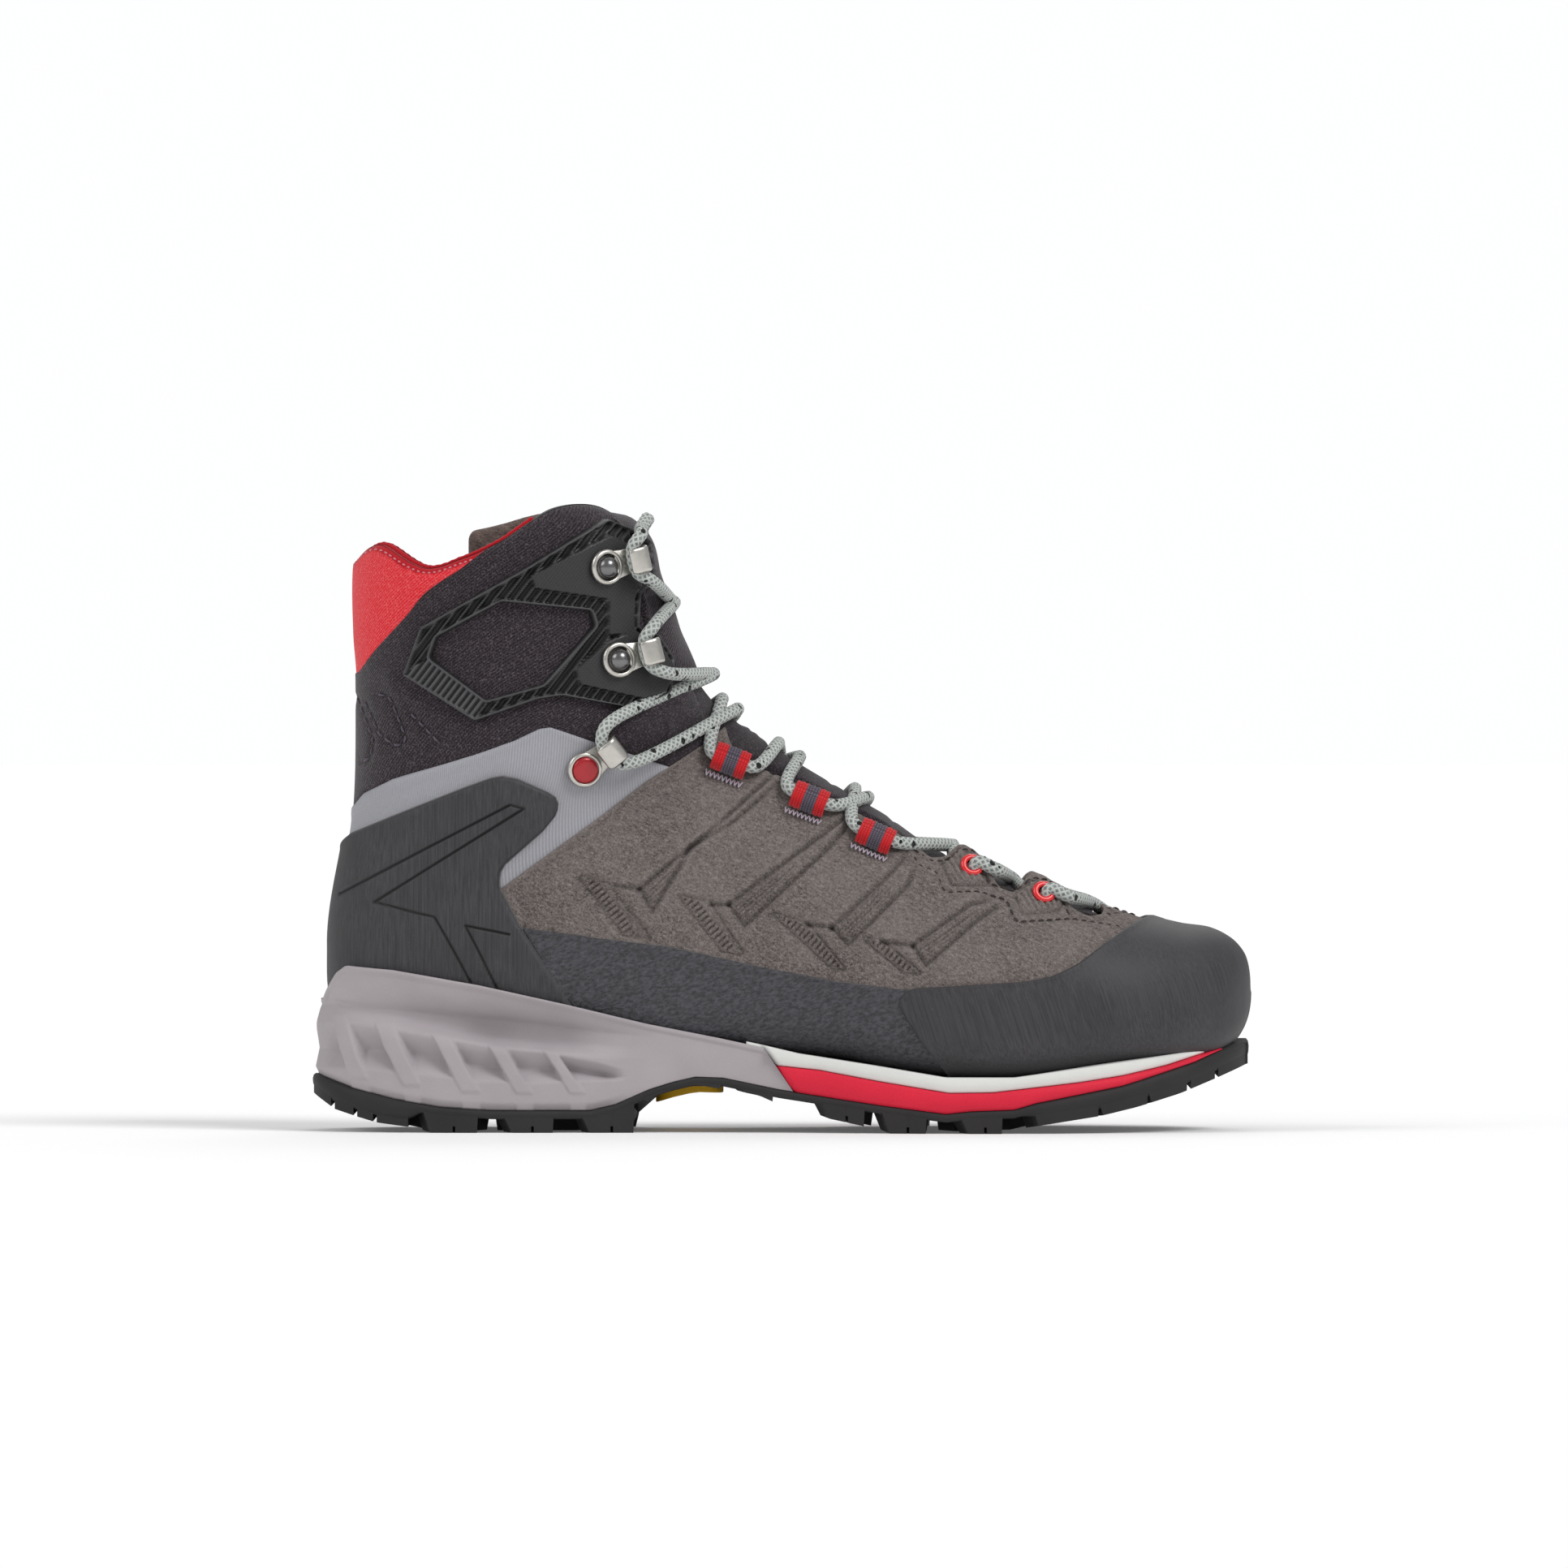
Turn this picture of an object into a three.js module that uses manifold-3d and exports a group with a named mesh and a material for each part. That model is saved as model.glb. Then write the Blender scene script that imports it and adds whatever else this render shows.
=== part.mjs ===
import * as THREE from "three";
import { mergeVertices } from "three/addons/utils/BufferGeometryUtils.js";
import Module from "manifold-3d";

// A right-foot mountaineering boot, in millimetres. +X points to the toe, +Y to the inner (medial)
// side of the foot and +Z up. The origin is on the ground, under the middle of the heel.
//
// The upper is laid out on one smooth "last" surface. Sections of the last run from the collar down
// the shaft, turn about the instep and go on to the toe. Every panel is a layer of that surface
// (between two offsets) cut out by an outline drawn in side view.

// ---------------------------------------------------------------- driving dimensions

const GAP = 0.3; // clearance between neighbouring pieces
const UPPER = 1.6; // thickness of suede, shell fabric and stretch fabric
const RAND = 2.0; // thickness of the rubber rands and of the moulded cuff frame
const STIFFENER = [-1.9, -3.1]; // heel counter and toe puff
const LINING = [-3.5, -4.9]; // waterproof lining of the foot
const PADDING = [-1.9, -6.8]; // foam of the cuff
const CUFF_LINING = [-7.1, -8.3];
const COLLAR_DROP = 1.5; // the padding ends this far below the collar's edge
const COLLAR_PAD_THICKNESS = 3;
const FOOTBED_OFFSET = -5.2; // the footbed fills the lining from this offset inwards
const FOOTBED_THICKNESS = 4.5;
const BOARD_THICKNESS = 1.8; // lasting board under the foot
const OUTSOLE_SHEET = 2.2; // rubber between the lugs
const CUP_OFFSET = 4.2; // outside of the cup that the midsole forms round the heel
const LACE_RADIUS = 2.0;
const LACE_CLEARANCE = 0.35;
const THROAT_HALF = 13; // half width of the lacing opening
const TONGUE_HALF = 25; // half width of the tongue
const FAR = 120; // larger than any half width
const AROUND = 16; // facets round a section

// Sections of the last: top (or front) point, low (or back) point, half width outside (lateral) and
// inside (medial), height share of the widest point, and the roundness of the halves above and below
// it (2 is an ellipse, more is squarer).
const SECTIONS = [
  { top: [41, 212], low: [-40.5, 212], lateral: 42, medial: 42, widest: 0.46, upper: 2.2, lower: 2.1 },
  { top: [44, 204], low: [-42, 204], lateral: 42, medial: 42, widest: 0.46, upper: 2.2, lower: 2.1 },
  { top: [53.5, 193.5], low: [-43.5, 193.5], lateral: 42, medial: 42, widest: 0.46, upper: 2.2, lower: 2.1 },
  { top: [57.5, 180], low: [-44.7, 180], lateral: 41.5, medial: 41.5, widest: 0.46, upper: 2.1, lower: 2.1 },
  { top: [64, 162], low: [-44, 162], lateral: 40, medial: 40, widest: 0.45, upper: 2.0, lower: 2.1 },
  { top: [72, 143], low: [-43.3, 143], lateral: 38.5, medial: 38.5, widest: 0.44, upper: 1.95, lower: 2.1 },
  { top: [76.6, 136.4], low: [-44.7, 101], lateral: 38, medial: 38, widest: 0.42, upper: 1.9, lower: 2.2 },
  { top: [80.6, 132.7], low: [-50.5, 61], lateral: 36.5, medial: 36, widest: 0.38, upper: 1.85, lower: 2.4 },
  { top: [83.7, 130.8], low: [-46.5, 38.5], lateral: 35.5, medial: 35, widest: 0.36, upper: 1.8, lower: 3 },
  { top: [87.5, 128.2], low: [1, 34.5], lateral: 36, medial: 34.5, widest: 0.32, upper: 1.8, lower: 4.0 },
  { top: [93, 124], low: [52, 27.5], lateral: 38, medial: 35.5, widest: 0.3, upper: 1.8, lower: 4.5 },
  { top: [111, 113], low: [111, 24.4], lateral: 43, medial: 39.5, widest: 0.28, upper: 1.85, lower: 4.5 },
  { top: [132, 101], low: [132, 20.6], lateral: 47.5, medial: 44, widest: 0.28, upper: 1.9, lower: 4.5 },
  { top: [157, 91], low: [157, 17.3], lateral: 50, medial: 48.5, widest: 0.3, upper: 2.0, lower: 4.5 },
  { top: [177, 82.5], low: [177, 18], lateral: 49.8, medial: 49.8, widest: 0.32, upper: 2.1, lower: 4.5 },
];
// In front of the ball of the foot the outline of the toe closes as a superellipse.
const TOE = { ball: 177, tip: 246.6, half: 49.8, round: 2.2, drift: 8 };
// The toe cap closes in height over its last stretch, about the height of the tip.
const TOE_CAP = { start: 222, tipHeight: 45.5, above: 19.8, below: 21.3, round: 2.5 };
const TOE_STEPS = [0.3, 0.58, 0.82, 0.96];

// ---------------------------------------------------------------- solids

const wasm = await Module();
wasm.setup();

function solid(geometry) {
  const plain = geometry.index ? geometry.toNonIndexed() : geometry.clone();
  plain.deleteAttribute("normal");
  plain.deleteAttribute("uv");
  const merged = mergeVertices(plain, 1e-4);
  return new wasm.Manifold(
    new wasm.Mesh({
      numProp: 3,
      vertProperties: new Float32Array(merged.attributes.position.array),
      triVerts: new Uint32Array(merged.index.array),
    }),
  );
}

function geometryOf(manifold) {
  const mesh = manifold.getMesh();
  const geometry = new THREE.BufferGeometry();
  geometry.setAttribute("position", new THREE.BufferAttribute(mesh.vertProperties, 3));
  geometry.setIndex(new THREE.BufferAttribute(mesh.triVerts, 1));
  geometry.computeVertexNormals();
  return geometry;
}

function joined(...solids) {
  return solids.reduce((sum, next) => sum.add(next));
}

// The largest connected body, without any sliver that a cut leaves behind.
function mainBody(manifold) {
  return manifold.decompose().reduce((best, body) => (body.volume() > best.volume() ? body : best));
}

function shapeOf(points, holes = []) {
  const shape = new THREE.Shape(points.map(([x, y]) => new THREE.Vector2(x, y)));
  shape.holes = holes.map((hole) => new THREE.Path(hole.map(([x, y]) => new THREE.Vector2(x, y))));
  return shape;
}

function extruded(shape, depth) {
  return new THREE.ExtrudeGeometry(shape, { depth, bevelEnabled: false, curveSegments: 6 });
}

// An outline in side view (x, z), extruded across the boot.
function sidePrism(points, yMin = -FAR, yMax = FAR) {
  return solid(extruded(shapeOf(points), yMax - yMin).rotateX(Math.PI / 2).translate(0, yMax, 0));
}

// An outline in plan view (x, y), extruded upwards.
function planPrism(points, zMin, zMax) {
  return solid(extruded(shapeOf(points), zMax - zMin).translate(0, 0, zMin));
}

function smoothLine(points, steps) {
  const curve = new THREE.SplineCurve(points.map(([x, y]) => new THREE.Vector2(x, y)));
  return curve.getPoints(steps).map((p) => [p.x, p.y]);
}

const raised = (line, by) => line.map(([x, z]) => [x, z + by]);
const reversed = (line) => [...line].reverse();

// ---------------------------------------------------------------- the last

function toeSections() {
  return TOE_STEPS.map((share) => {
    const turn = (share * Math.PI) / 2;
    const x = TOE.ball + 18 + (TOE.tip - TOE.ball - 18) * Math.sin(turn);
    const along = (x - TOE.ball) / (TOE.tip - TOE.ball);
    const half = TOE.half * (1 - along ** TOE.round) ** (1 / TOE.round);
    const cap = Math.max(0, (x - TOE_CAP.start) / (TOE.tip - TOE_CAP.start));
    const close = (1 - cap ** TOE_CAP.round) ** (1 / TOE_CAP.round);
    const vamp = Math.max(0, TOE_CAP.start - x) * 0.36; // the vamp rises behind the cap
    const spring = Math.max(0, TOE_CAP.start - x) * 0.15; // the sole drops behind the cap
    return {
      top: [x, TOE_CAP.tipHeight + TOE_CAP.above * close + vamp],
      low: [x, TOE_CAP.tipHeight - TOE_CAP.below * close - spring],
      lateral: half,
      medial: half,
      widest: 0.34,
      upper: 2.3,
      lower: 4.0,
      centre: TOE.drift * along ** 2,
    };
  });
}

const ALL_SECTIONS = [...SECTIONS, ...toeSections()];
const channelsOf = (section) => [
  ...section.top,
  ...section.low,
  section.lateral,
  section.medial,
  section.widest,
  section.upper,
  section.lower,
  section.centre ?? 0,
];

// Distance along the last at each section: half of what the top and the low point travel.
const STATIONS = ALL_SECTIONS.reduce((stations, section, i) => {
  if (i === 0) return [0];
  const before = ALL_SECTIONS[i - 1];
  const step = (key) => Math.hypot(section[key][0] - before[key][0], section[key][1] - before[key][1]);
  const narrowing = Math.abs(section.lateral - before.lateral);
  stations.push(stations[i - 1] + (step("top") + step("low")) / 2 + narrowing / 2);
  return stations;
}, []);
const CHANNELS = ALL_SECTIONS.flatMap(channelsOf);
const CHANNEL_COUNT = channelsOf(ALL_SECTIONS[0]).length;
const spline = new THREE.CubicInterpolant(STATIONS, CHANNELS, CHANNEL_COUNT);
const END = STATIONS.at(-1);

function sectionAt(s) {
  const [tx, tz, lx, lz, lateral, medial, widest, upper, lower, centre] = spline.evaluate(s);
  return { tx, tz, lx, lz, lateral, medial, widest, upper, lower, centre };
}

const power = (value, exponent) => Math.sign(value) * Math.abs(value) ** exponent;
// A half size grown by an offset. Near the tip of the toe small sections grow less, so they never turn over.
const grown = (size, offset, full) => size + offset * Math.min(1, size / full);

// A point of the last: s along it, angle round it (0 at the top or front, 90 degrees medial,
// 180 at the bottom or back, 270 lateral), grown outwards by offset.
function lastPoint(s, angle, offset = 0) {
  const c = sectionAt(s);
  const length = Math.hypot(c.tx - c.lx, c.tz - c.lz);
  const up = [(c.tx - c.lx) / length, (c.tz - c.lz) / length];
  const cosine = Math.cos(angle);
  const roundness = cosine >= 0 ? c.upper : c.lower;
  const reach = grown((cosine >= 0 ? 1 - c.widest : c.widest) * length, offset, 12);
  const side = Math.sin(angle);
  const half = grown(side >= 0 ? c.medial : c.lateral, offset, 25);
  const rise = c.widest * length + reach * power(cosine, 2 / roundness);
  const y = c.centre + half * power(side, 2 / roundness);
  const nose = THREE.MathUtils.clamp((c.tx - TOE.ball) / (TOE.tip - TOE.ball), 0, 1) ** 4;
  return new THREE.Vector3(c.lx + up[0] * rise + nose * offset, y, c.lz + up[1] * rise);
}

// Where the side view point (x, z) lies on the last: its section and its angle. side is 1 for the
// medial half, -1 for the lateral.
function onLast(x, z, side) {
  const away = (s) => {
    const c = sectionAt(s);
    return (c.tx - c.lx) * (z - c.lz) - (c.tz - c.lz) * (x - c.lx);
  };
  const steps = 240;
  let low = 0;
  let high = END;
  for (let i = 0; i < steps; i++) {
    if (away((END * i) / steps) * away((END * (i + 1)) / steps) <= 0) {
      low = (END * i) / steps;
      high = (END * (i + 1)) / steps;
      break;
    }
  }
  for (let i = 0; i < 30; i++) {
    const middle = (low + high) / 2;
    if (away(low) * away(middle) <= 0) high = middle;
    else low = middle;
  }
  const s = (low + high) / 2;
  const c = sectionAt(s);
  const length2 = (c.tx - c.lx) ** 2 + (c.tz - c.lz) ** 2;
  const share = ((x - c.lx) * (c.tx - c.lx) + (z - c.lz) * (c.tz - c.lz)) / length2;
  const above = share >= c.widest;
  const part = above ? (share - c.widest) / (1 - c.widest) : (c.widest - share) / c.widest;
  const cosine = Math.min(1, Math.max(0, part)) ** ((above ? c.upper : c.lower) / 2);
  const angle = above ? Math.acos(cosine) : Math.PI - Math.acos(cosine);
  return { s, angle: side > 0 ? angle : 2 * Math.PI - angle };
}

// A local frame on the last at side view point (x, z): w leaves the surface, u follows the side view
// direction, in degrees above +X.
function frameOn(x, z, side, direction = 0) {
  const { s, angle } = onLast(x, z, side);
  const origin = lastPoint(s, angle);
  const step = 0.4;
  const along = lastPoint(s + step, angle).sub(lastPoint(s - step, angle));
  const round = lastPoint(s, angle + 0.01).sub(lastPoint(s, angle - 0.01));
  const w = along.cross(round).normalize();
  if (w.y * side < 0) w.negate();
  const turn = THREE.MathUtils.degToRad(direction);
  const u = new THREE.Vector3(Math.cos(turn), 0, Math.sin(turn));
  u.addScaledVector(w, -u.dot(w)).normalize();
  const v = new THREE.Vector3().crossVectors(w, u);
  return { origin, u, v, w, matrix: new THREE.Matrix4().makeBasis(u, v, w).setPosition(origin) };
}

// ---------------------------------------------------------------- layers of the last

// Sections are sampled at every station, and once more in the middle of each long stretch.
const SAMPLES = STATIONS.flatMap((s, i) => {
  const next = STATIONS[i + 1];
  return next !== undefined && next - s > 24 ? [s, (s + next) / 2] : [s];
});

function lastBody(offset) {
  const rings = SAMPLES.map((s) =>
    Array.from({ length: AROUND }, (_, i) => lastPoint(s, (i * 2 * Math.PI) / AROUND, offset)),
  );
  const points = rings.flat();
  const mean = (ring) => ring.reduce((sum, p) => sum.add(p), new THREE.Vector3()).divideScalar(AROUND);
  points.push(mean(rings[0]), mean(rings.at(-1)));
  const index = [];
  const startCap = points.length - 2;
  const endCap = points.length - 1;
  const lastRing = (rings.length - 1) * AROUND;
  for (let i = 0; i < AROUND; i++) {
    const next = (i + 1) % AROUND;
    for (let r = 0; r < rings.length - 1; r++) {
      const a = r * AROUND;
      const b = a + AROUND;
      index.push(a + i, b + i, b + next, a + i, b + next, a + next);
    }
    index.push(startCap, i, next, endCap, lastRing + next, lastRing + i);
  }
  const geometry = new THREE.BufferGeometry().setFromPoints(points);
  geometry.setIndex(index);
  return solid(geometry);
}

const bodies = new Map();
function bodyAt(offset) {
  if (!bodies.has(offset)) bodies.set(offset, lastBody(offset));
  return bodies.get(offset);
}

const layer = (outer, inner) => bodyAt(outer).subtract(bodyAt(inner));
function panel(outer, inner, outline, yMin, yMax) {
  return layer(outer, inner).intersect(sidePrism(outline, yMin, yMax));
}

// ---------------------------------------------------------------- outlines in side view (x, z)

// Underside of the upper, from heel to toe.
const FEATHER = smoothLine(
  [
    [-62, 37], [-46, 36.5], [1, 34.5], [52, 27.5], [111, 24.4], [132, 20.6], [157, 17.3], [177, 18],
    [200, 21], [222, 24.2], [250, 28],
  ],
  22,
);
// Top edge of the midsole, where the rands end.
const MIDSOLE_TOP = [
  [-60, 54.5], [-45, 54.2], [-30, 52.5], [-2, 47.6], [27, 41.2], [52, 35.2], [76, 30.5], [90, 27.5],
  [101.5, 24.8], [128, 20.7], [149, 17.2], [171, 17.2], [199, 21.1], [228, 25.1], [238, 27.2], [247, 30.3],
  [252, 31.5],
];
// Top of the outsole rubber.
const OUTSOLE_TOP = [
  [-60, 19.5], [-55, 18.2], [-44, 14.3], [-30, 10.7], [-15, 8.2], [2, 7.1], [34, 7.1], [42, 9], [53, 13.9],
  [61, 16.4], [68, 18], [77, 17.7], [95, 14], [112, 11.4], [128, 9], [142, 7.2], [149, 6.3], [157, 7.2],
  [171, 7.7], [178, 9.8], [206, 15.3], [230, 22.5], [238, 26], [247, 29.6], [252, 30],
];
// What the lugs reach down to: flat on the ground under heel and ball, lifted at heel, arch and toe.
const TREAD_LINE = [
  [-60, 14], [-56.3, 12.4], [-49, 7.4], [-41, 4.9], [-35, 3.2], [-25, 1.9], [-19, 0], [48.4, 0], [50, 9],
  [56, 12.6], [68, 15.6], [88, 12.4], [98, 8], [111, 4.8], [126, 1.6], [130.6, 0], [168, 0], [179, 2.6],
  [199, 5.7], [211, 8.5], [225, 12.7], [237, 17.4], [247, 21.4], [252, 23],
];
// Boundary between the pale and the coloured foam of the forefoot.
const FOAM_LINE = [
  [88, 22.4], [94, 21.8], [108, 20.4], [128, 16.7], [150, 13.1], [164, 13.3], [192, 16.5], [206, 18.6],
  [221, 21.8], [233, 25.3], [239, 27.2],
];
const SHELL_TOP = [
  [-60, 103], [-43.6, 106.3], [-40.7, 109.7], [-31, 114.4], [-4, 122.5], [9.3, 127.2], [17.4, 131.1],
  [21.4, 131.6], [25.4, 130.3], [35, 127], [61.2, 119.5],
];
const SUEDE_REAR = [
  [61.2, 119.5], [52.3, 113.8], [36.2, 101.6], [11.9, 84], [6.3, 79], [13, 65.5], [36, 32], [40, 20],
];
const SUEDE_TOP = [[61.2, 119.5], [72.7, 127], [79, 133.5], [95, 150]];
const COLLAR = [
  [-60, 180], [-44.7, 181], [-42, 188.2], [-38, 190.3], [-33.3, 189.5], [-23, 183.4], [-17.7, 183.2],
  [-5.6, 186.9], [1.1, 188.7], [10.6, 194.8], [23.8, 202.3], [31.7, 203.5], [39.6, 202.2], [47.6, 198.8],
  [55, 193], [70, 180], [120, 180],
];
const RED_EDGE = [
  [1.1, 188.7], [-6.3, 186.3], [-14, 179.2], [-22, 172.8], [-29.6, 162.8], [-36, 156], [-42.3, 149],
  [-60, 132],
];
// The cuff's rigid pieces keep above this line, which clears the foot at both ends of the ankle flex.
const FLEX_LINE = [[-60, 113], [-46, 113.5], [21, 137], [40, 140], [61, 144], [95, 156]];
const HEEL_RAND = [
  [-60, 95], [-45.7, 95.3], [-43.3, 97.3], [-31, 102.3], [-7, 111.8], [5.8, 115.4], [10.6, 114.7],
  [22.7, 109], [23.8, 107], [22.7, 102.3], [18.8, 97.5], [6.6, 86.7], [5, 82.7], [5, 80.1], [6.3, 77.4],
  [13.2, 64.5], [22.7, 51], [40, 27],
];
const SIDE_RAND_TOP = [[12, 65.5], [36, 63.2], [59, 60.5], [91, 53.7], [114, 49.2], [137.4, 46.6]];
const TOE_RAND = [
  [149.1, 17], [133.2, 41.2], [135.3, 45.5], [138.8, 46.8], [160, 48.1], [174, 48.9], [182.4, 50.5],
  [191.6, 54.4], [199.5, 60.3], [206.4, 64.8], [211.2, 67.1], [215.7, 68.4], [222, 80], [255, 80], [255, 10],
];
const CUFF_FRAME = [
  [-26.2, 148], [-20.6, 163.6], [38.3, 198.9], [47.8, 195.1], [51.5, 192], [53, 178], [49, 174.3],
  [49, 162.5], [56, 161.5], [58.5, 151.5], [57, 145], [50, 141], [24.7, 140.7], [17, 140], [-3.3, 132.9],
];
const CUFF_WINDOW = [
  [-15.3, 160.9], [6.4, 172.1], [33.6, 168.6], [35.2, 163.6], [18.5, 145], [0.6, 139.9], [-17.6, 152.4],
];

// The part of a side view line between two stations.
function stretch(line, from, to) {
  const heightAt = (x) => {
    const i = line.findIndex((point) => point[0] >= x);
    const [a, b] = [line[i - 1], line[i]];
    return a[1] + ((b[1] - a[1]) * (x - a[0])) / (b[0] - a[0]);
  };
  return [[from, heightAt(from)], ...line.filter(([x]) => x > from && x < to), [to, heightAt(to)]];
}

const above = (line, height = 260) => [...line, [line.at(-1)[0], height], [line[0][0], height]];
const below = (line, depth = -20) => [...line, [line.at(-1)[0], depth], [line[0][0], depth]];
const between = (upper, lower) => [...upper, ...reversed(lower)];

// ---------------------------------------------------------------- sole unit

// Half of the plan outline runs from the heel to the toe along each side.
const LATERAL_EDGE = [
  [-56, 0], [-53, -18], [-42, -31], [-20, -38.5], [0, -40], [30, -39], [62, -38.5], [95, -42], [130, -49.5],
  [160, -54], [185, -52.5], [210, -44], [230, -30], [243, -11],
];
const MEDIAL_EDGE = [
  [247.5, 8], [243, 27], [230, 40.5], [208, 50.5], [183, 53.8], [155, 52.5], [125, 46], [95, 39], [60, 36],
  [30, 37], [0, 39], [-20, 37.5], [-42, 30.5], [-53, 18],
];

function soleOutline(grow = 0, steps = 52) {
  const corners = [...LATERAL_EDGE, ...MEDIAL_EDGE].map(([x, y]) => new THREE.Vector3(x, y, 0));
  const curve = new THREE.CatmullRomCurve3(corners, true, "centripetal");
  const middle = 95; // the outline grows away from here
  return curve.getPoints(steps).slice(0, -1).map((p) => {
    const out = new THREE.Vector2(p.x - middle, p.y);
    const share = 1 + grow / out.length();
    return [middle + out.x * share, out.y * share];
  });
}

const SOLE_MARGIN = 0.6; // how far outsole and heel frame stand out past the foam
const SOLE_TOP = 60; // above every part of the sole unit

// The firm rear frame of the midsole: a low block that carries a cup round the heel.
function heelFrame() {
  const foot = raised(stretch(OUTSOLE_TOP, -59, 95), GAP);
  const outline = [[-59, 54.2], ...MIDSOLE_TOP.slice(1, 8), [91.5, 25.4], [99.6, 13.6], ...reversed(foot)];
  const waist = [[-59, 42.5], [0, 33.5], [22, 34], [60, 44], [110, 44]];
  const block = planPrism(soleOutline(SOLE_MARGIN), 0, SOLE_TOP).intersect(sidePrism(below(waist)));
  const cup = bodyAt(CUP_OFFSET).intersect(sidePrism(above(raised(waist, -1))));
  const frame = joined(block, cup).intersect(sidePrism(outline));
  return mainBody(frame.subtract(bodyAt(GAP)).subtract(shankPocket()));
}

// Foam of the forefoot: a slice of the plan outline between two side view lines.
function forefootFoam(upper, lower) {
  const front = [[92.4, 25.4], [100.6, 13.2], [104, 6], [260, 6], [260, SOLE_TOP], [92.4, SOLE_TOP]];
  const slice = planPrism(soleOutline(), 0, SOLE_TOP).intersect(sidePrism(between(upper, lower)));
  return mainBody(slice.intersect(sidePrism(front)).subtract(bodyAt(GAP)).subtract(shankPocket()));
}

const redFoam = () =>
  forefootFoam(raised(stretch(FOAM_LINE, 89, 237), -GAP), raised(stretch(OUTSOLE_TOP, 89, 237), GAP));
const whiteFoam = () => forefootFoam(stretch(MIDSOLE_TOP, 89, 231), stretch(FOAM_LINE, 89, 231));

const SHANK = { start: -10, end: 128, half: 11, thickness: 1.6, drop: 3.2 };

function shankSlab(grow) {
  const line = FEATHER.filter(([x]) => x > SHANK.start - grow && x < SHANK.end + grow);
  const top = raised(line, -SHANK.drop + grow);
  const bottom = raised(line, -SHANK.drop - SHANK.thickness - grow);
  return sidePrism(between(top, bottom), -SHANK.half - grow, SHANK.half + grow);
}
const shankPocket = () => shankSlab(GAP);

// A lug is a block in plan view, cut to the tread line later.
function lug(x, y, length, width, turn = 0, skew = 0) {
  const cosine = Math.cos(turn);
  const sine = Math.sin(turn);
  const corners = [[-1, -1], [1, -1], [1, 1], [-1, 1]].map(([i, j]) => {
    const along = (i * length) / 2 + j * skew;
    const across = (j * width) / 2;
    return [x + along * cosine - across * sine, y + along * sine + across * cosine];
  });
  return planPrism(corners, -1, 34);
}

// Side lugs: where each starts and ends along the boot.
const SIDE_LUGS = [
  [-17, -2.5], [9, 22], [34.5, 48], [52, 60], [68, 76], [84, 93], [110, 122], [130.6, 142], [155.5, 166.5],
];
const SIDE_LUG = { across: 39, width: 36, skew: 2.5, medialShift: 2 };
const HEEL_LUG_CENTRES = [-18, 0, 18, 36];
const BALL_LUG_CENTRES = [118, 136, 154, 172, 189];
const SIPES = { starts: [-46, -38, -31, 213, 225, 236], width: 1.6, floor: 1.5, reach: 70 };

function outsoleLugs() {
  const lugs = [];
  for (const [start, end] of SIDE_LUGS) {
    for (const side of [-1, 1]) {
      const middle = (start + end) / 2 + (side > 0 ? SIDE_LUG.medialShift : 0);
      lugs.push(lug(middle, side * SIDE_LUG.across, end - start, SIDE_LUG.width, 0, side * SIDE_LUG.skew));
    }
  }
  // Heel brake and climbing zone under the toe.
  lugs.push(lug(-44, 0, 34, 90));
  lugs.push(lug(224, 0, 50, 110));
  lugs.push(lug(189, -36, 22, 34));
  lugs.push(lug(190, 40, 22, 30));
  for (const x of HEEL_LUG_CENTRES) lugs.push(lug(x, 0, 11, 17));
  for (const x of BALL_LUG_CENTRES) {
    for (const side of [-1, 1]) lugs.push(lug(x, side * 10, 10, 14, side * 0.5));
  }
  return joined(...lugs);
}

// Narrow cuts across the heel brake and the toe, down to a floor above the tread line.
function sipes() {
  const { starts, width, floor, reach } = SIPES;
  const strip = (x) => [[x, -reach], [x + width, -reach], [x + width, reach], [x, reach]];
  const cuts = starts.map((x) => planPrism(strip(x), -5, 40));
  return joined(...cuts).intersect(sidePrism(below(raised(TREAD_LINE, floor))));
}

function outsole() {
  const sheetBottom = raised(OUTSOLE_TOP, -OUTSOLE_SHEET);
  const outline = planPrism(soleOutline(SOLE_MARGIN), -1, 40);
  const sheet = outline.intersect(sidePrism(between(OUTSOLE_TOP, sheetBottom)));
  const lugs = outline.intersect(sidePrism(between(OUTSOLE_TOP, TREAD_LINE))).intersect(outsoleLugs());
  return mainBody(joined(sheet, lugs).subtract(sipes()).subtract(archInsert(GAP)));
}

// A plain rounded insert under the arch.
const INSERT = { x: 66, length: 22, width: 30, depth: 0.8, thickness: 4.6, square: 0.6 };

function archInsert(grow = 0) {
  const points = Array.from({ length: 12 }, (_, i) => {
    const turn = (i * Math.PI) / 6;
    return [
      INSERT.x + (INSERT.length / 2 + grow) * power(Math.cos(turn), INSERT.square),
      (INSERT.width / 2 + grow) * power(Math.sin(turn), INSERT.square),
    ];
  });
  const top = raised(OUTSOLE_TOP, -INSERT.depth + grow);
  const bottom = raised(OUTSOLE_TOP, -INSERT.depth - INSERT.thickness - grow);
  return planPrism(points, 0, 40).intersect(sidePrism(between(top, bottom)));
}

// ---------------------------------------------------------------- foot part of the upper

// The lacing opening in side view: everything above this line, from the vamp to the collar.
const THROAT_LINE = [[-2, 215], [22, 160], [42, 118], [62, 95], [110, 72], [176, 60], [200.5, 60]];
const THROAT_ZONE = above(THROAT_LINE, 270);
const throat = (half) => sidePrism(THROAT_ZONE, -half, half);

// The lasting board closes the foot at the bottom, so the panels start above it.
const BOARD_TOP = raised(FEATHER, BOARD_THICKNESS);
const overBoard = sidePrism(above(raised(BOARD_TOP, GAP)));

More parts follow.
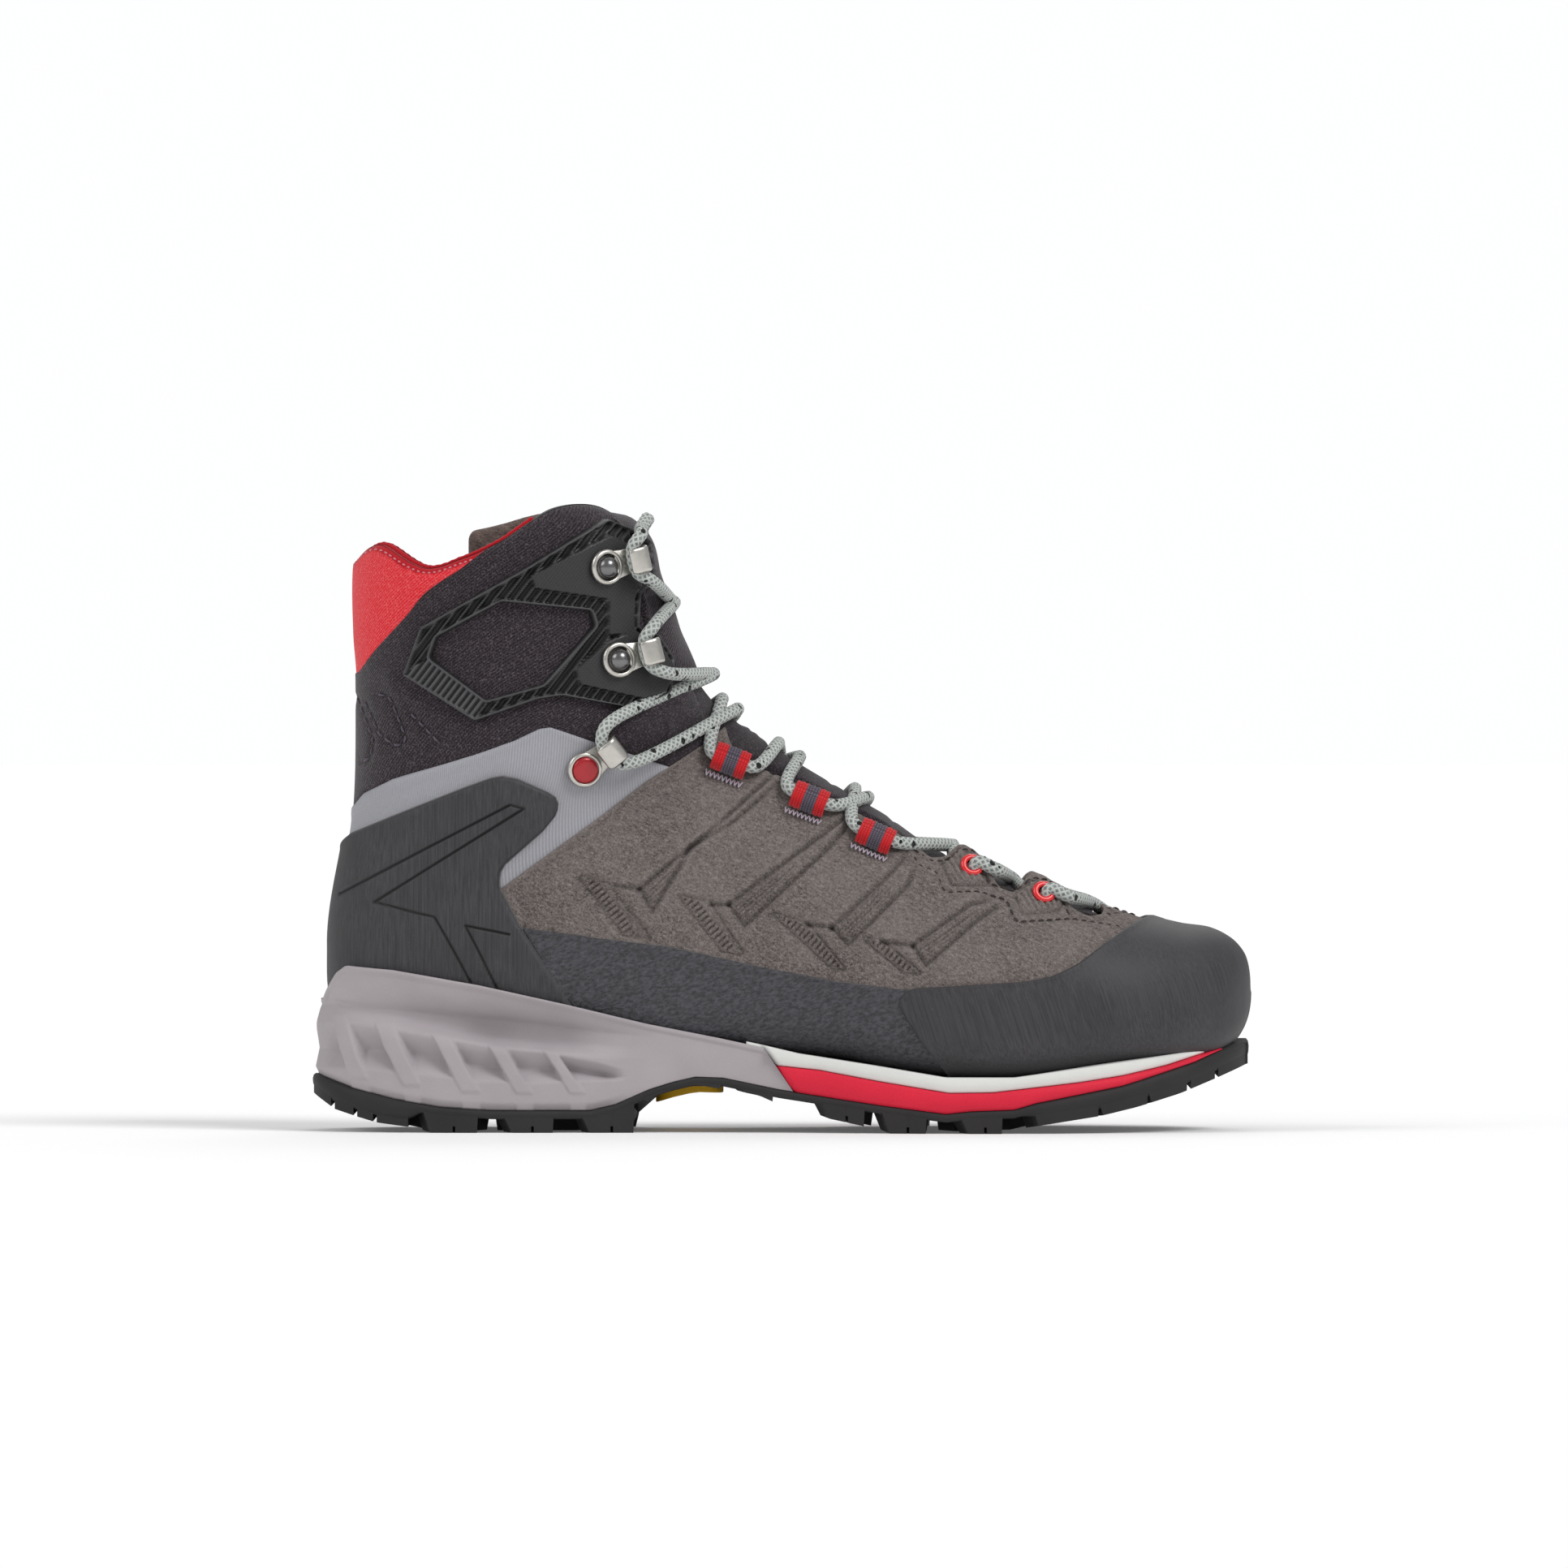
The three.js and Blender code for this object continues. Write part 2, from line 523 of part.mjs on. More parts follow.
function ankleShellOutline() {
  return [...SHELL_TOP, ...SUEDE_REAR.slice(1).map(([x, z]) => [x - GAP, z]), [-60, 20]];
}

function ankleShell() {
  const shell = panel(0, -UPPER, ankleShellOutline()).intersect(overBoard);
  return mainBody(shell.subtract(throat(THROAT_HALF)));
}

function suedeUpper() {
  const front = [[150, 150], [260, 150], [260, 10], [40, 10]];
  const outline = [...SUEDE_REAR.slice(1).reverse(), ...SUEDE_TOP, ...front];
  return mainBody(panel(0, -UPPER, outline).intersect(overBoard).subtract(throat(THROAT_HALF)));
}

function lastingBoard() {
  return mainBody(layer(0, -BOARD_THICKNESS).intersect(sidePrism(below(BOARD_TOP))));
}

function footLining() {
  const top = [
    [-60, 101], [-44, 103], [-31, 110], [-4, 118], [21, 126], [36, 122], [61, 114], [72.7, 122], [77, 128],
    [95, 145],
  ];
  const outline = [...top, [260, 145], [260, 0], [-60, 0]];
  return mainBody(panel(...LINING, outline).subtract(throat(TONGUE_HALF + GAP)));
}

function footbed() {
  const bottom = raised(FEATHER, -LINING[1] + GAP);
  const slice = between(raised(bottom, FOOTBED_THICKNESS), bottom);
  return mainBody(bodyAt(FOOTBED_OFFSET).intersect(sidePrism(slice)));
}

function heelCounter() {
  const outline = [[-60, 46], [-60, 94], [-40, 96], [-10, 92], [4, 72], [16, 46]];
  return mainBody(panel(...STIFFENER, outline));
}

function toePuff() {
  const outline = [[204, 66], [212, 66], [226, 80], [260, 80], [260, 32], [212, 32]];
  return mainBody(panel(...STIFFENER, outline));
}

// ---------------------------------------------------------------- rands

// Rands end just above the midsole.
function randLayer(outline, yMin, yMax) {
  const rand = panel(GAP + RAND, GAP, outline, yMin, yMax);
  return mainBody(rand.intersect(sidePrism(above(raised(MIDSOLE_TOP, GAP)))));
}

const heelRand = () => randLayer([...HEEL_RAND, [-60, 20]]);
const toeRand = () => randLayer(TOE_RAND);

function sideRand(side) {
  const rear = HEEL_RAND.slice(-3).map(([x, z]) => [x + GAP, z - GAP]);
  const front = [[134.6, 46.6], [132.8, 41.3], [148.7, 17], [148.7, 5], [44, 5]];
  const outline = [...SIDE_RAND_TOP.slice(1, -1), ...front, ...reversed(rear)];
  return side > 0 ? randLayer(outline, 0, FAR) : randLayer(outline, -FAR, 0);
}

// ---------------------------------------------------------------- cuff

function cuffShell() {
  const lower = [...raised(SHELL_TOP, GAP), ...raised(SUEDE_TOP, GAP).slice(1)];
  return mainBody(
    panel(0, -UPPER, above(lower))
      .intersect(sidePrism(below(COLLAR)))
      .subtract(sidePrism([...RED_EDGE, [-60, 230], [RED_EDGE[0][0], 230]]))
      .subtract(throat(THROAT_HALF)),
  );
}

function rearPanel() {
  const outline = [...RED_EDGE.map(([x, z]) => [x - 0.4, z + GAP]), [-60, 230], [0.7, 230]];
  return mainBody(panel(0, -UPPER, outline).intersect(sidePrism(below(COLLAR))));
}

// A layer of the cuff's padding: above the flex line, below the collar and beside the tongue.
function paddingLayer(depths) {
  return mainBody(
    panel(...depths, above(FLEX_LINE))
      .intersect(sidePrism(below(raised(COLLAR, -COLLAR_DROP))))
      .subtract(throat(TONGUE_HALF + GAP)),
  );
}

const cuffFoam = () => paddingLayer(PADDING);
const cuffLining = () => paddingLayer(CUFF_LINING);

// The inner side of the collar carries a brushed pad that stands above the collar line.
function collarPad() {
  const outline = [[-5.5, 166], [-5.5, 194.5], [-3.5, 196], [10, 198], [22, 200.5], [22, 170]];
  const outer = CUFF_LINING[1] - GAP;
  return mainBody(panel(outer, outer - COLLAR_PAD_THICKNESS, outline, 0, FAR));
}

function cuffFrame(side) {
  const range = side > 0 ? [0, FAR] : [-FAR, 0];
  const frame = panel(GAP + RAND, GAP, CUFF_FRAME, ...range).subtract(sidePrism(CUFF_WINDOW));
  return mainBody(frame.subtract(throat(THROAT_HALF)));
}

// The tongue lies deeper under the eyelets, where the lace runs below the suede.
function tongue() {
  const edge = 143;
  const high = panel(-1.9, -6.5, [[-20, 60], [edge, 60], [edge, 208], [-20, 208]]);
  const deep = panel(-6, -9.5, [[edge - 3, 60], [206, 60], [206, 140], [edge - 3, 140]]);
  const zone = above([[4, 206], [22, 160], [42, 118], [62, 98], [110, 75], [176, 60], [206, 56]], 260);
  const top = below([[-20, 205], [31, 205], [40, 203.5], [47, 200], [54, 194], [80, 180], [260, 180]]);
  const area = sidePrism(zone, -TONGUE_HALF, TONGUE_HALF).intersect(sidePrism(top));
  return mainBody(joined(high, deep).intersect(area));
}

// ---------------------------------------------------------------- lacing hardware

const HOOK = { ring: 5.8, hole: 3.9, plate: 1.2, arm: 6, head: 8, reach: 14, mouth: 4.6 };
const HOOKS = [
  { name: "top_hook", x: 37.5, z: 183, direction: 12, base: GAP + RAND, body: "cuff" },
  { name: "middle_hook", x: 41.7, z: 152.8, direction: 14, base: GAP + RAND, body: "cuff" },
  { name: "ankle_hook", x: 31.9, z: 117.6, direction: 37, base: 0, body: "foot" },
];
const LOOPS = [
  { x: 79.5, z: 119.8, direction: -22 },
  { x: 105.1, z: 107, direction: -24 },
  { x: 126.3, z: 94.8, direction: -26 },
];
const EYELETS = [
  { x: 157.6, z: 84, direction: -20 },
  { x: 180.9, z: 75.3, direction: -20 },
];
const LOOP = { length: 11, width: 9, height: 6.6, wall: 0.9 };
const EYELET = { flange: 3.9, barrel: 2.95, hole: 2.4, lift: 0.9, depth: 2.2 };
const RIVET = { shank: 1.8, head: 3.1 };
const HOLE_REACH = 5; // how far a rivet hole is cut either way from the surface
const SIDES = [
  { name: "lateral", sign: -1 },
  { name: "medial", sign: 1 },
];

function box(xMin, xMax, yMin, yMax, zMin, zMax) {
  const geometry = new THREE.BoxGeometry(xMax - xMin, yMax - yMin, zMax - zMin);
  return solid(geometry.translate((xMin + xMax) / 2, (yMin + yMax) / 2, (zMin + zMax) / 2));
}

// A cylinder along +Z.
function rod(radius, zMin, zMax, facets = 14) {
  const geometry = new THREE.CylinderGeometry(radius, radius, zMax - zMin, facets);
  return solid(geometry.rotateX(Math.PI / 2).translate(0, 0, (zMin + zMax) / 2));
}

// A lace hook: a riveted ring, an arm under the lace, and a lip folded back over it.
function hookSolid(base) {
  const low = base + GAP;
  const high = low + HOOK.plate;
  const lip = high + HOOK.mouth;
  const ring = rod(HOOK.ring, low, high, 16);
  const arm = box(0, HOOK.reach - 1, -HOOK.arm / 2, HOOK.arm / 2, low, high);
  const bend = [];
  const outer = (lip + HOOK.plate - low) / 2;
  const centre = [HOOK.reach - 2, (low + lip + HOOK.plate) / 2];
  for (let i = 0; i <= 6; i++) {
    const turn = -Math.PI / 2 + (i * Math.PI) / 6;
    bend.push([centre[0] + outer * 0.8 * Math.cos(turn), centre[1] + outer * Math.sin(turn)]);
  }
  const inner = outer - HOOK.plate;
  const profile = [...bend, [6.6, lip + HOOK.plate * 0.7], [6.6, lip]];
  for (let i = 6; i >= 0; i--) {
    const turn = -Math.PI / 2 + (i * Math.PI) / 6;
    profile.push([centre[0] + inner * 0.7 * Math.cos(turn), centre[1] + inner * Math.sin(turn)]);
  }
  const strip = extruded(shapeOf(profile), HOOK.head).rotateX(Math.PI / 2);
  const curl = solid(strip.translate(0, HOOK.head / 2, 0));
  return joined(ring, arm, curl).subtract(rod(HOOK.hole, low - 1, high + 1, 12));
}

// A rivet: a domed head in the hook's ring, on a shank that passes through the upper.
function rivetSolid(base, flat) {
  const foot = base + GAP;
  const rise = flat ? 1.8 : 3.4;
  const profile = [new THREE.Vector2(0, -UPPER - 0.1), new THREE.Vector2(RIVET.shank, -UPPER - 0.1)];
  profile.push(new THREE.Vector2(RIVET.shank, foot));
  const steps = 3;
  for (let i = 0; i <= steps; i++) {
    const turn = (i / steps) * (Math.PI / 2);
    profile.push(new THREE.Vector2((RIVET.head + 0.5) * Math.cos(turn), foot + 0.1 + rise * Math.sin(turn)));
  }
  profile[profile.length - 1].x = 0;
  return solid(new THREE.LatheGeometry(profile, 10).rotateX(Math.PI / 2));
}

// A folded webbing loop: a flat tube along the throat.
function loopSolid() {
  const outline = (width, height) =>
    Array.from({ length: 12 }, (_, i) => {
      const turn = ((i + 0.5) * Math.PI) / 6;
      return [(width / 2) * power(Math.cos(turn), 0.55), (height / 2) * power(Math.sin(turn), 0.55)];
    });
  const hole = outline(LOOP.width - 2 * LOOP.wall, LOOP.height - 2 * LOOP.wall);
  const shape = shapeOf(outline(LOOP.width, LOOP.height), [hole]);
  // The shape's x runs across the webbing and its y away from the boot; the extrusion follows u.
  const geometry = extruded(shape, LOOP.length).translate(0, LOOP.height / 2 + GAP, -LOOP.length / 2);
  return solid(geometry.applyMatrix4(new THREE.Matrix4().makeBasis(
    new THREE.Vector3(0, 1, 0),
    new THREE.Vector3(0, 0, 1),
    new THREE.Vector3(1, 0, 0),
  )));
}

// A rolled eyelet: a barrel through the suede with a rounded flange outside.
function eyeletSolid() {
  const { flange, barrel, hole, lift, depth } = EYELET;
  const top = GAP + lift;
  const outside = [[hole, -depth], [barrel, -depth], [barrel, GAP], [flange, GAP], [flange - 0.4, top]];
  const profile = [...outside, [hole, top], [hole, -depth]].map(([r, z]) => new THREE.Vector2(r, z));
  return solid(new THREE.LatheGeometry(profile, 12).rotateX(Math.PI / 2));
}

const moved = (manifold, matrix) => solid(geometryOf(manifold).applyMatrix4(matrix));

// ---------------------------------------------------------------- lace

// A point beside the boot: side view place, and height above the surface.
function beside(x, z, side, lift) {
  const frame = frameOn(x, z, side);
  return frame.origin.addScaledVector(frame.w, lift);
}

// A point over the middle of the tongue, y to the given side.
const across = (x, z, y) => new THREE.Vector3(x, y, z);

// One half of the lace zigzags from the throat to the collar, starting towards the given side.
function lacePath(start) {
  const points = [across(199, 79, 0)];
  let side = start;
  const eyelet = ({ x, z }, innerX, innerZ) => {
    points.push(beside(x + 5.5, z - 1, side, 3.2), beside(x + 0.6, z, side, 2.4));
    points.push(beside(x - 0.2, z, side, -2.6), beside(innerX, innerZ, side, -3.9));
  };
  const loop = ({ x, z }) => {
    points.push(beside(x + 7.5, z - 2.2, side, 3.5));
    points.push(beside(x, z, side, 3.6), beside(x - 7, z + 4, side, 3.6));
  };
  const hook = ({ x, z, direction, base }) => {
    const frame = frameOn(x, z, side, direction);
    const lift = base + GAP + HOOK.plate + HOOK.mouth / 2;
    const at = (u, v) => new THREE.Vector3(u, v * side, lift).applyMatrix4(frame.matrix);
    const mouth = HOOK.reach - 0.5;
    const bend = HOOK.reach - 4.6;
    points.push(at(mouth, 7.5), at(bend, 4), at(bend, -4), at(mouth, -7.5));
  };
  const cross = (x, z) => {
    points.push(across(x, z, side * 5), across(x - 0.5, z + 1, -side * 5));
    side = -side;
  };
  eyelet(EYELETS[1], 176.5, 79);
  cross(170, 84);
  eyelet(EYELETS[0], 153, 87);
  cross(142.5, 100.5);
  loop(LOOPS[2]);
  cross(118.5, 114.5);
  loop(LOOPS[1]);
  cross(97, 127.5);
  loop(LOOPS[0]);
  cross(77, 143);
  hook(HOOKS[2]);
  cross(73, 154);
  hook(HOOKS[1]);
  cross(66, 173);
  hook(HOOKS[0]);
  points.push(across(58.5, 197, side * 6), across(51, 203.5, -side * 4));
  return new THREE.CatmullRomCurve3(points, false, "centripetal");
}

function laceTube(start, radius, steps = 112) {
  const facets = 5;
  const ring = Array.from({ length: facets }, (_, i) => {
    const turn = (i * 2 * Math.PI) / facets;
    return new THREE.Vector2(radius * Math.cos(turn), radius * Math.sin(turn));
  });
  return solid(new THREE.ExtrudeGeometry(new THREE.Shape(ring), { steps, extrudePath: lacePath(start) }));
}

const lace = (radius) => mainBody(joined(laceTube(1, radius), laceTube(-1, radius)));

// ---------------------------------------------------------------- materials

function paint(color, roughness, metalness = 0) {
  return new THREE.MeshStandardMaterial({ color, roughness, metalness });
}
const MATERIALS = {
  outsole_rubber: paint(0x1b1a1c, 0.75),
  arch_yellow: paint(0xd9a514, 0.5),
  heel_frame_grey: paint(0x9a9498, 0.6),
  foam_red: paint(0xd81f3f, 0.85),
  foam_white: paint(0xd4d6d3, 0.85),
  board: paint(0xc9c2ae, 0.9),
  shank_steel: paint(0x8d8f92, 0.35, 0.9),
  footbed: paint(0x4a4b50, 0.95),
  stiffener: paint(0x3a3a3c, 0.6),
  lining: paint(0x3b3436, 0.95),
  suede: paint(0x6b625f, 0.98),
  shell_grey: paint(0xa3a3a8, 0.7),
  rand_rubber: paint(0x333236, 0.65),
  side_rand: paint(0x3d3c40, 0.5),
  stretch_black: paint(0x2b272b, 0.95),
  stretch_red: paint(0xd8202c, 0.9),
  collar_brown: paint(0x4b3f3b, 0.98),
  frame_black: paint(0x222022, 0.55),
  hook_steel: paint(0xc6c3bd, 0.32, 0.95),
  rivet_steel: paint(0x6d6d70, 0.3, 0.95),
  rivet_red: paint(0x9c1620, 0.35, 0.3),
  eyelet_red: paint(0xd62326, 0.35, 0.2),
  webbing_red: paint(0xd4232b, 0.85),
  lace_grey: paint(0xb9bdb9, 0.85),
};

// ---------------------------------------------------------------- assembly

const boot = new THREE.Group();
const laceHole = lace(LACE_RADIUS + LACE_CLEARANCE);

function add(name, manifold, material) {
  const mesh = new THREE.Mesh(geometryOf(manifold), MATERIALS[material]);
  mesh.name = name;
  boot.add(mesh);
  return mesh;
}

// A piece that the lace passes is cut clear of it.
const addLaced = (name, manifold, material) => add(name, mainBody(manifold.subtract(laceHole)), material);

// A fitting modelled about its own origin, then set on the last at a frame. The lace runs through it.
function addFitting(name, manifold, frame, material) {
  const lacedThrough = moved(laceHole, frame.matrix.clone().invert());
  add(name, mainBody(manifold.subtract(lacedThrough)), material).applyMatrix4(frame.matrix);
}

function holeAt({ x, z }, sign, radius) {
  return moved(rod(radius, -HOLE_REACH, HOLE_REACH), frameOn(x, z, sign).matrix);
}
const shankHoles = joined(
  ...HOOKS.flatMap((hook) => SIDES.map(({ sign }) => holeAt(hook, sign, RIVET.shank + GAP))),
  ...EYELETS.flatMap((eyelet) => SIDES.map(({ sign }) => holeAt(eyelet, sign, EYELET.barrel + GAP))),
);
const pierced = (manifold) => manifold.subtract(shankHoles);

add("outsole", outsole(), "outsole_rubber");
add("arch_insert", archInsert(), "arch_yellow");
add("heel_frame", heelFrame(), "heel_frame_grey");
add("forefoot_foam_red", redFoam(), "foam_red");
add("forefoot_foam_white", whiteFoam(), "foam_white");
add("shank", shankSlab(0), "shank_steel");
add("lasting_board", lastingBoard(), "board");
add("footbed", footbed(), "footbed");
add("heel_counter", heelCounter(), "stiffener");
add("toe_puff", toePuff(), "stiffener");
add("foot_lining", footLining().subtract(laceHole), "lining");
add("ankle_shell", pierced(ankleShell()), "shell_grey");
addLaced("suede_upper", pierced(suedeUpper()), "suede");
add("heel_rand", heelRand(), "rand_rubber");
add("toe_rand", toeRand(), "rand_rubber");
addLaced("cuff_shell", pierced(cuffShell()), "stretch_black");
add("rear_stretch_panel", rearPanel(), "stretch_red");
add("cuff_foam", cuffFoam().subtract(laceHole), "stiffener");
add("cuff_lining", cuffLining(), "lining");
add("collar_pad", collarPad(), "collar_brown");
addLaced("tongue", tongue(), "stretch_black");
add("lace", lace(LACE_RADIUS), "lace_grey");

for (const { name: sideName, sign } of SIDES) {
  add(`side_rand_${sideName}`, sideRand(sign), "side_rand");
  addLaced(`cuff_frame_${sideName}`, pierced(cuffFrame(sign)), "frame_black");
  for (const hook of HOOKS) {
    const frame = frameOn(hook.x, hook.z, sign, hook.direction);
    const cap = hook.name === "ankle_hook";
    const rivet = rivetSolid(hook.base, cap);
    addFitting(`${hook.name}_${sideName}`, hookSolid(hook.base), frame, "hook_steel");
    addFitting(`${hook.name}_rivet_${sideName}`, rivet, frame, cap ? "rivet_red" : "rivet_steel");
  }
  LOOPS.forEach((loop, i) => {
    const frame = frameOn(loop.x, loop.z, sign, loop.direction);
    addFitting(`webbing_loop_${i + 1}_${sideName}`, loopSolid(), frame, "webbing_red");
  });
  EYELETS.forEach((eyelet, i) => {
    const frame = frameOn(eyelet.x, eyelet.z, sign);
    addFitting(`eyelet_${i + 1}_${sideName}`, eyeletSolid(), frame, "eyelet_red");
  });
}

export default boot;
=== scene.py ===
import math
import random

import bpy
import numpy as np
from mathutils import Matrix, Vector
from mathutils.geometry import delaunay_2d_cdt
from mathutils.kdtree import KDTree


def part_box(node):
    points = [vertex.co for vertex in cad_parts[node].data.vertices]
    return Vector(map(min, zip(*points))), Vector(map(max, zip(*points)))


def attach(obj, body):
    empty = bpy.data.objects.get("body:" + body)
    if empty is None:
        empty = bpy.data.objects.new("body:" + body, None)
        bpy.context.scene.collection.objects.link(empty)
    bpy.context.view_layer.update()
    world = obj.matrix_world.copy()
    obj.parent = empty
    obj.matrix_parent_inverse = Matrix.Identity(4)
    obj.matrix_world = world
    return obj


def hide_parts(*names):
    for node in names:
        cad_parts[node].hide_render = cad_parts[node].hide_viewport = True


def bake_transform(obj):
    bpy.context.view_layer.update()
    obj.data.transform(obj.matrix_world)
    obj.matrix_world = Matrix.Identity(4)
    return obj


# A right mountaineering boot. Millimetres are used here and turned into metres when a mesh is made.
# +X is the toe, +Y the inner (medial) side, +Z up, as in the CAD frame.

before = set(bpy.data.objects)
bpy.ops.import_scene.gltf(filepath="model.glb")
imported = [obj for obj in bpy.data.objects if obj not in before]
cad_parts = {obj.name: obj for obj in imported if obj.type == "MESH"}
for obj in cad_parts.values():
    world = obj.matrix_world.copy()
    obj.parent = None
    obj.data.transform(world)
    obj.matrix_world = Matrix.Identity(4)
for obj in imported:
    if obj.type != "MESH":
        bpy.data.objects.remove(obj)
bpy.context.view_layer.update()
rng = np.random.default_rng(7)
random.seed(7)
MM = 0.001

# ------------------------------------------------------------------ the last (same surface as the CAD)

SECTIONS = [  # top x, z, low x, z, lateral and medial half width, share of the widest, roundness above, below
    (41, 212, -40.5, 212, 42, 42, 0.46, 2.2, 2.1),
    (44, 204, -42, 204, 42, 42, 0.46, 2.2, 2.1),
    (53.5, 193.5, -43.5, 193.5, 42, 42, 0.46, 2.2, 2.1),
    (57.5, 180, -44.7, 180, 41.5, 41.5, 0.46, 2.1, 2.1),
    (64, 162, -44, 162, 40, 40, 0.45, 2.0, 2.1),
    (72, 143, -43.3, 143, 38.5, 38.5, 0.44, 1.95, 2.1),
    (76.6, 136.4, -44.7, 101, 38, 38, 0.42, 1.9, 2.2),
    (80.6, 132.7, -50.5, 61, 36.5, 36, 0.38, 1.85, 2.4),
    (83.7, 130.8, -46.5, 38.5, 35.5, 35, 0.36, 1.8, 3.0),
    (87.5, 128.2, 1, 34.5, 36, 34.5, 0.32, 1.8, 4.0),
    (93, 124, 52, 27.5, 38, 35.5, 0.3, 1.8, 4.5),
    (111, 113, 111, 24.4, 43, 39.5, 0.28, 1.85, 4.5),
    (132, 101, 132, 20.6, 47.5, 44, 0.28, 1.9, 4.5),
    (157, 91, 157, 17.3, 50, 48.5, 0.3, 2.0, 4.5),
    (177, 82.5, 177, 18, 49.8, 49.8, 0.32, 2.1, 4.5),
]
BALL, TIP, HALF, ROUND, DRIFT = 177, 246.6, 49.8, 2.2, 8
CAP, TIP_Z, CAP_UP, CAP_DOWN, CAP_ROUND = 222, 45.5, 19.8, 21.3, 2.5


def toe_section(share):
    x = BALL + 18 + (TIP - BALL - 18) * math.sin(share * math.pi / 2)
    along = (x - BALL) / (TIP - BALL)
    half = HALF * (1 - along**ROUND) ** (1 / ROUND)
    cap = max(0, (x - CAP) / (TIP - CAP))
    close = (1 - cap**CAP_ROUND) ** (1 / CAP_ROUND)
    behind = max(0, CAP - x)
    top = TIP_Z + CAP_UP * close + behind * 0.36
    low = TIP_Z - CAP_DOWN * close - behind * 0.15
    return (x, top, x, low, half, half, 0.34, 2.3, 4.0, DRIFT * along**2)


ROWS = np.array([s + (0,) for s in SECTIONS] + [toe_section(t) for t in (0.2, 0.4, 0.56, 0.7, 0.8, 0.88, 0.94, 0.98, 0.999)], float)
_step = np.hypot(np.diff(ROWS[:, 0]), np.diff(ROWS[:, 1])) + np.hypot(np.diff(ROWS[:, 2]), np.diff(ROWS[:, 3]))
STATION = np.concatenate([[0], np.cumsum(_step / 2 + np.abs(np.diff(ROWS[:, 4])) / 2)])
END = STATION[-1]


def section(s):
    """The section's numbers at s: a cubic through the stations, each tangent the slope between its neighbours."""
    s = np.clip(np.asarray(s, float), 0, END)
    i = np.clip(np.searchsorted(STATION, s, side="right") - 1, 0, len(STATION) - 2)
    t0, t1 = STATION[i], STATION[i + 1]
    before, after = np.maximum(i - 1, 0), np.minimum(i + 2, len(STATION) - 1)
    first, last = i == 0, i == len(STATION) - 2
    half = (t1 - t0) / 2
    wp = np.where(first, -0.5, half / np.where(first, 1, t0 - STATION[before]))
    wn = np.where(last, -0.5, half / np.where(last, 1, STATION[after] - t1))
    before = np.where(first, 1, before)
    after = np.where(last, len(STATION) - 2, after)
    p = (s - t0) / (t1 - t0)
    a = (-wp * p**3 + 2 * wp * p**2 - wp * p)[..., None]
    b = ((1 + wp) * p**3 + (-1.5 - 2 * wp) * p**2 + (-0.5 + wp) * p + 1)[..., None]
    c = ((-1 - wn) * p**3 + (1.5 + wn) * p**2 + 0.5 * p)[..., None]
    d = (wn * p**3 - wn * p**2)[..., None]
    return a * ROWS[before] + b * ROWS[i] + c * ROWS[i + 1] + d * ROWS[after]


def last_point(s, t, off=0.0):
    """Points of the last: s along it, t round it (0 top or front, + medial, - lateral), grown by off."""
    c = section(s)
    length = np.hypot(c[..., 0] - c[..., 2], c[..., 1] - c[..., 3])
    ux, uz = (c[..., 0] - c[..., 2]) / length, (c[..., 1] - c[..., 3]) / length
    cos, sin = np.cos(t), np.sin(t)
    n = np.where(cos >= 0, c[..., 7], c[..., 8])
    k = (np.abs(cos) ** n + np.abs(sin) ** n) ** (1 / n)
    size = np.where(cos >= 0, 1 - c[..., 6], c[..., 6]) * length
    reach = size + off * np.minimum(1, size / 12)
    wide = np.where(sin >= 0, c[..., 5], c[..., 4])
    half = wide + off * np.minimum(1, wide / 25)
    rise = c[..., 6] * length + reach * cos / k
    nose = np.clip((c[..., 0] - BALL) / (TIP - BALL), 0, 1) ** 4
    x = c[..., 2] + ux * rise + nose * off
    return np.stack([x, c[..., 9] + half * sin / k, c[..., 3] + uz * rise], -1)


_S = np.linspace(0, END, 1600)
_C = section(_S)


def on_side(points, side):
    """(s, t) of side view points (x, z); side is 1 medial, -1 lateral. Points past the outline go to its edge."""
    out = []
    for x, z in points:
        away = (_C[:, 0] - _C[:, 2]) * (z - _C[:, 3]) - (_C[:, 1] - _C[:, 3]) * (x - _C[:, 2])
        hits = np.nonzero(away[:-1] * away[1:] <= 0)[0]
        i = hits[0] if len(hits) else (0 if z > 150 else len(_S) - 2)
        f = away[i] / (away[i] - away[i + 1]) if len(hits) else 0.0
        s = _S[i] + (_S[i + 1] - _S[i]) * f
        c = section(s)
        share = ((x - c[2]) * (c[0] - c[2]) + (z - c[3]) * (c[1] - c[3])) / ((c[0] - c[2]) ** 2 + (c[1] - c[3]) ** 2)
        n = c[7] if share >= c[6] else c[8]
        v = (share - c[6]) / (1 - c[6]) if share >= c[6] else (c[6] - share) / c[6]
        v = min(max(v, 1e-6), 1)
        t = math.atan2((1 - v**n) ** (1 / n), v)
        out.append((s, side * (t if share >= c[6] else math.pi - t)))
    return np.array(out)


def on_top(points, side):
    """(s, t) of plan points (x, |y|) on the upper half of the last."""
    out = []
    for x, y in points:
        low, high = 0.0, END
        for _ in range(40):
            s = (low + high) / 2
            c = section(s)
            wide = c[5] if side > 0 else c[4]
            v = min(max((y - c[9] * side) / wide, 0), 0.999)
            n = c[7]
            t = math.atan2(v, (1 - v**n) ** (1 / n))
            if last_point(s, side * t)[0] < x:
                low = s
            else:
                high = s
        out.append((s, side * t))
    return np.array(out)


# ------------------------------------------------------------------ meshes

def smooth(edge0, edge1, v):
    t = np.clip((np.asarray(v, float) - edge0) / (edge1 - edge0), 0, 1)
    return t * t * (3 - 2 * t)


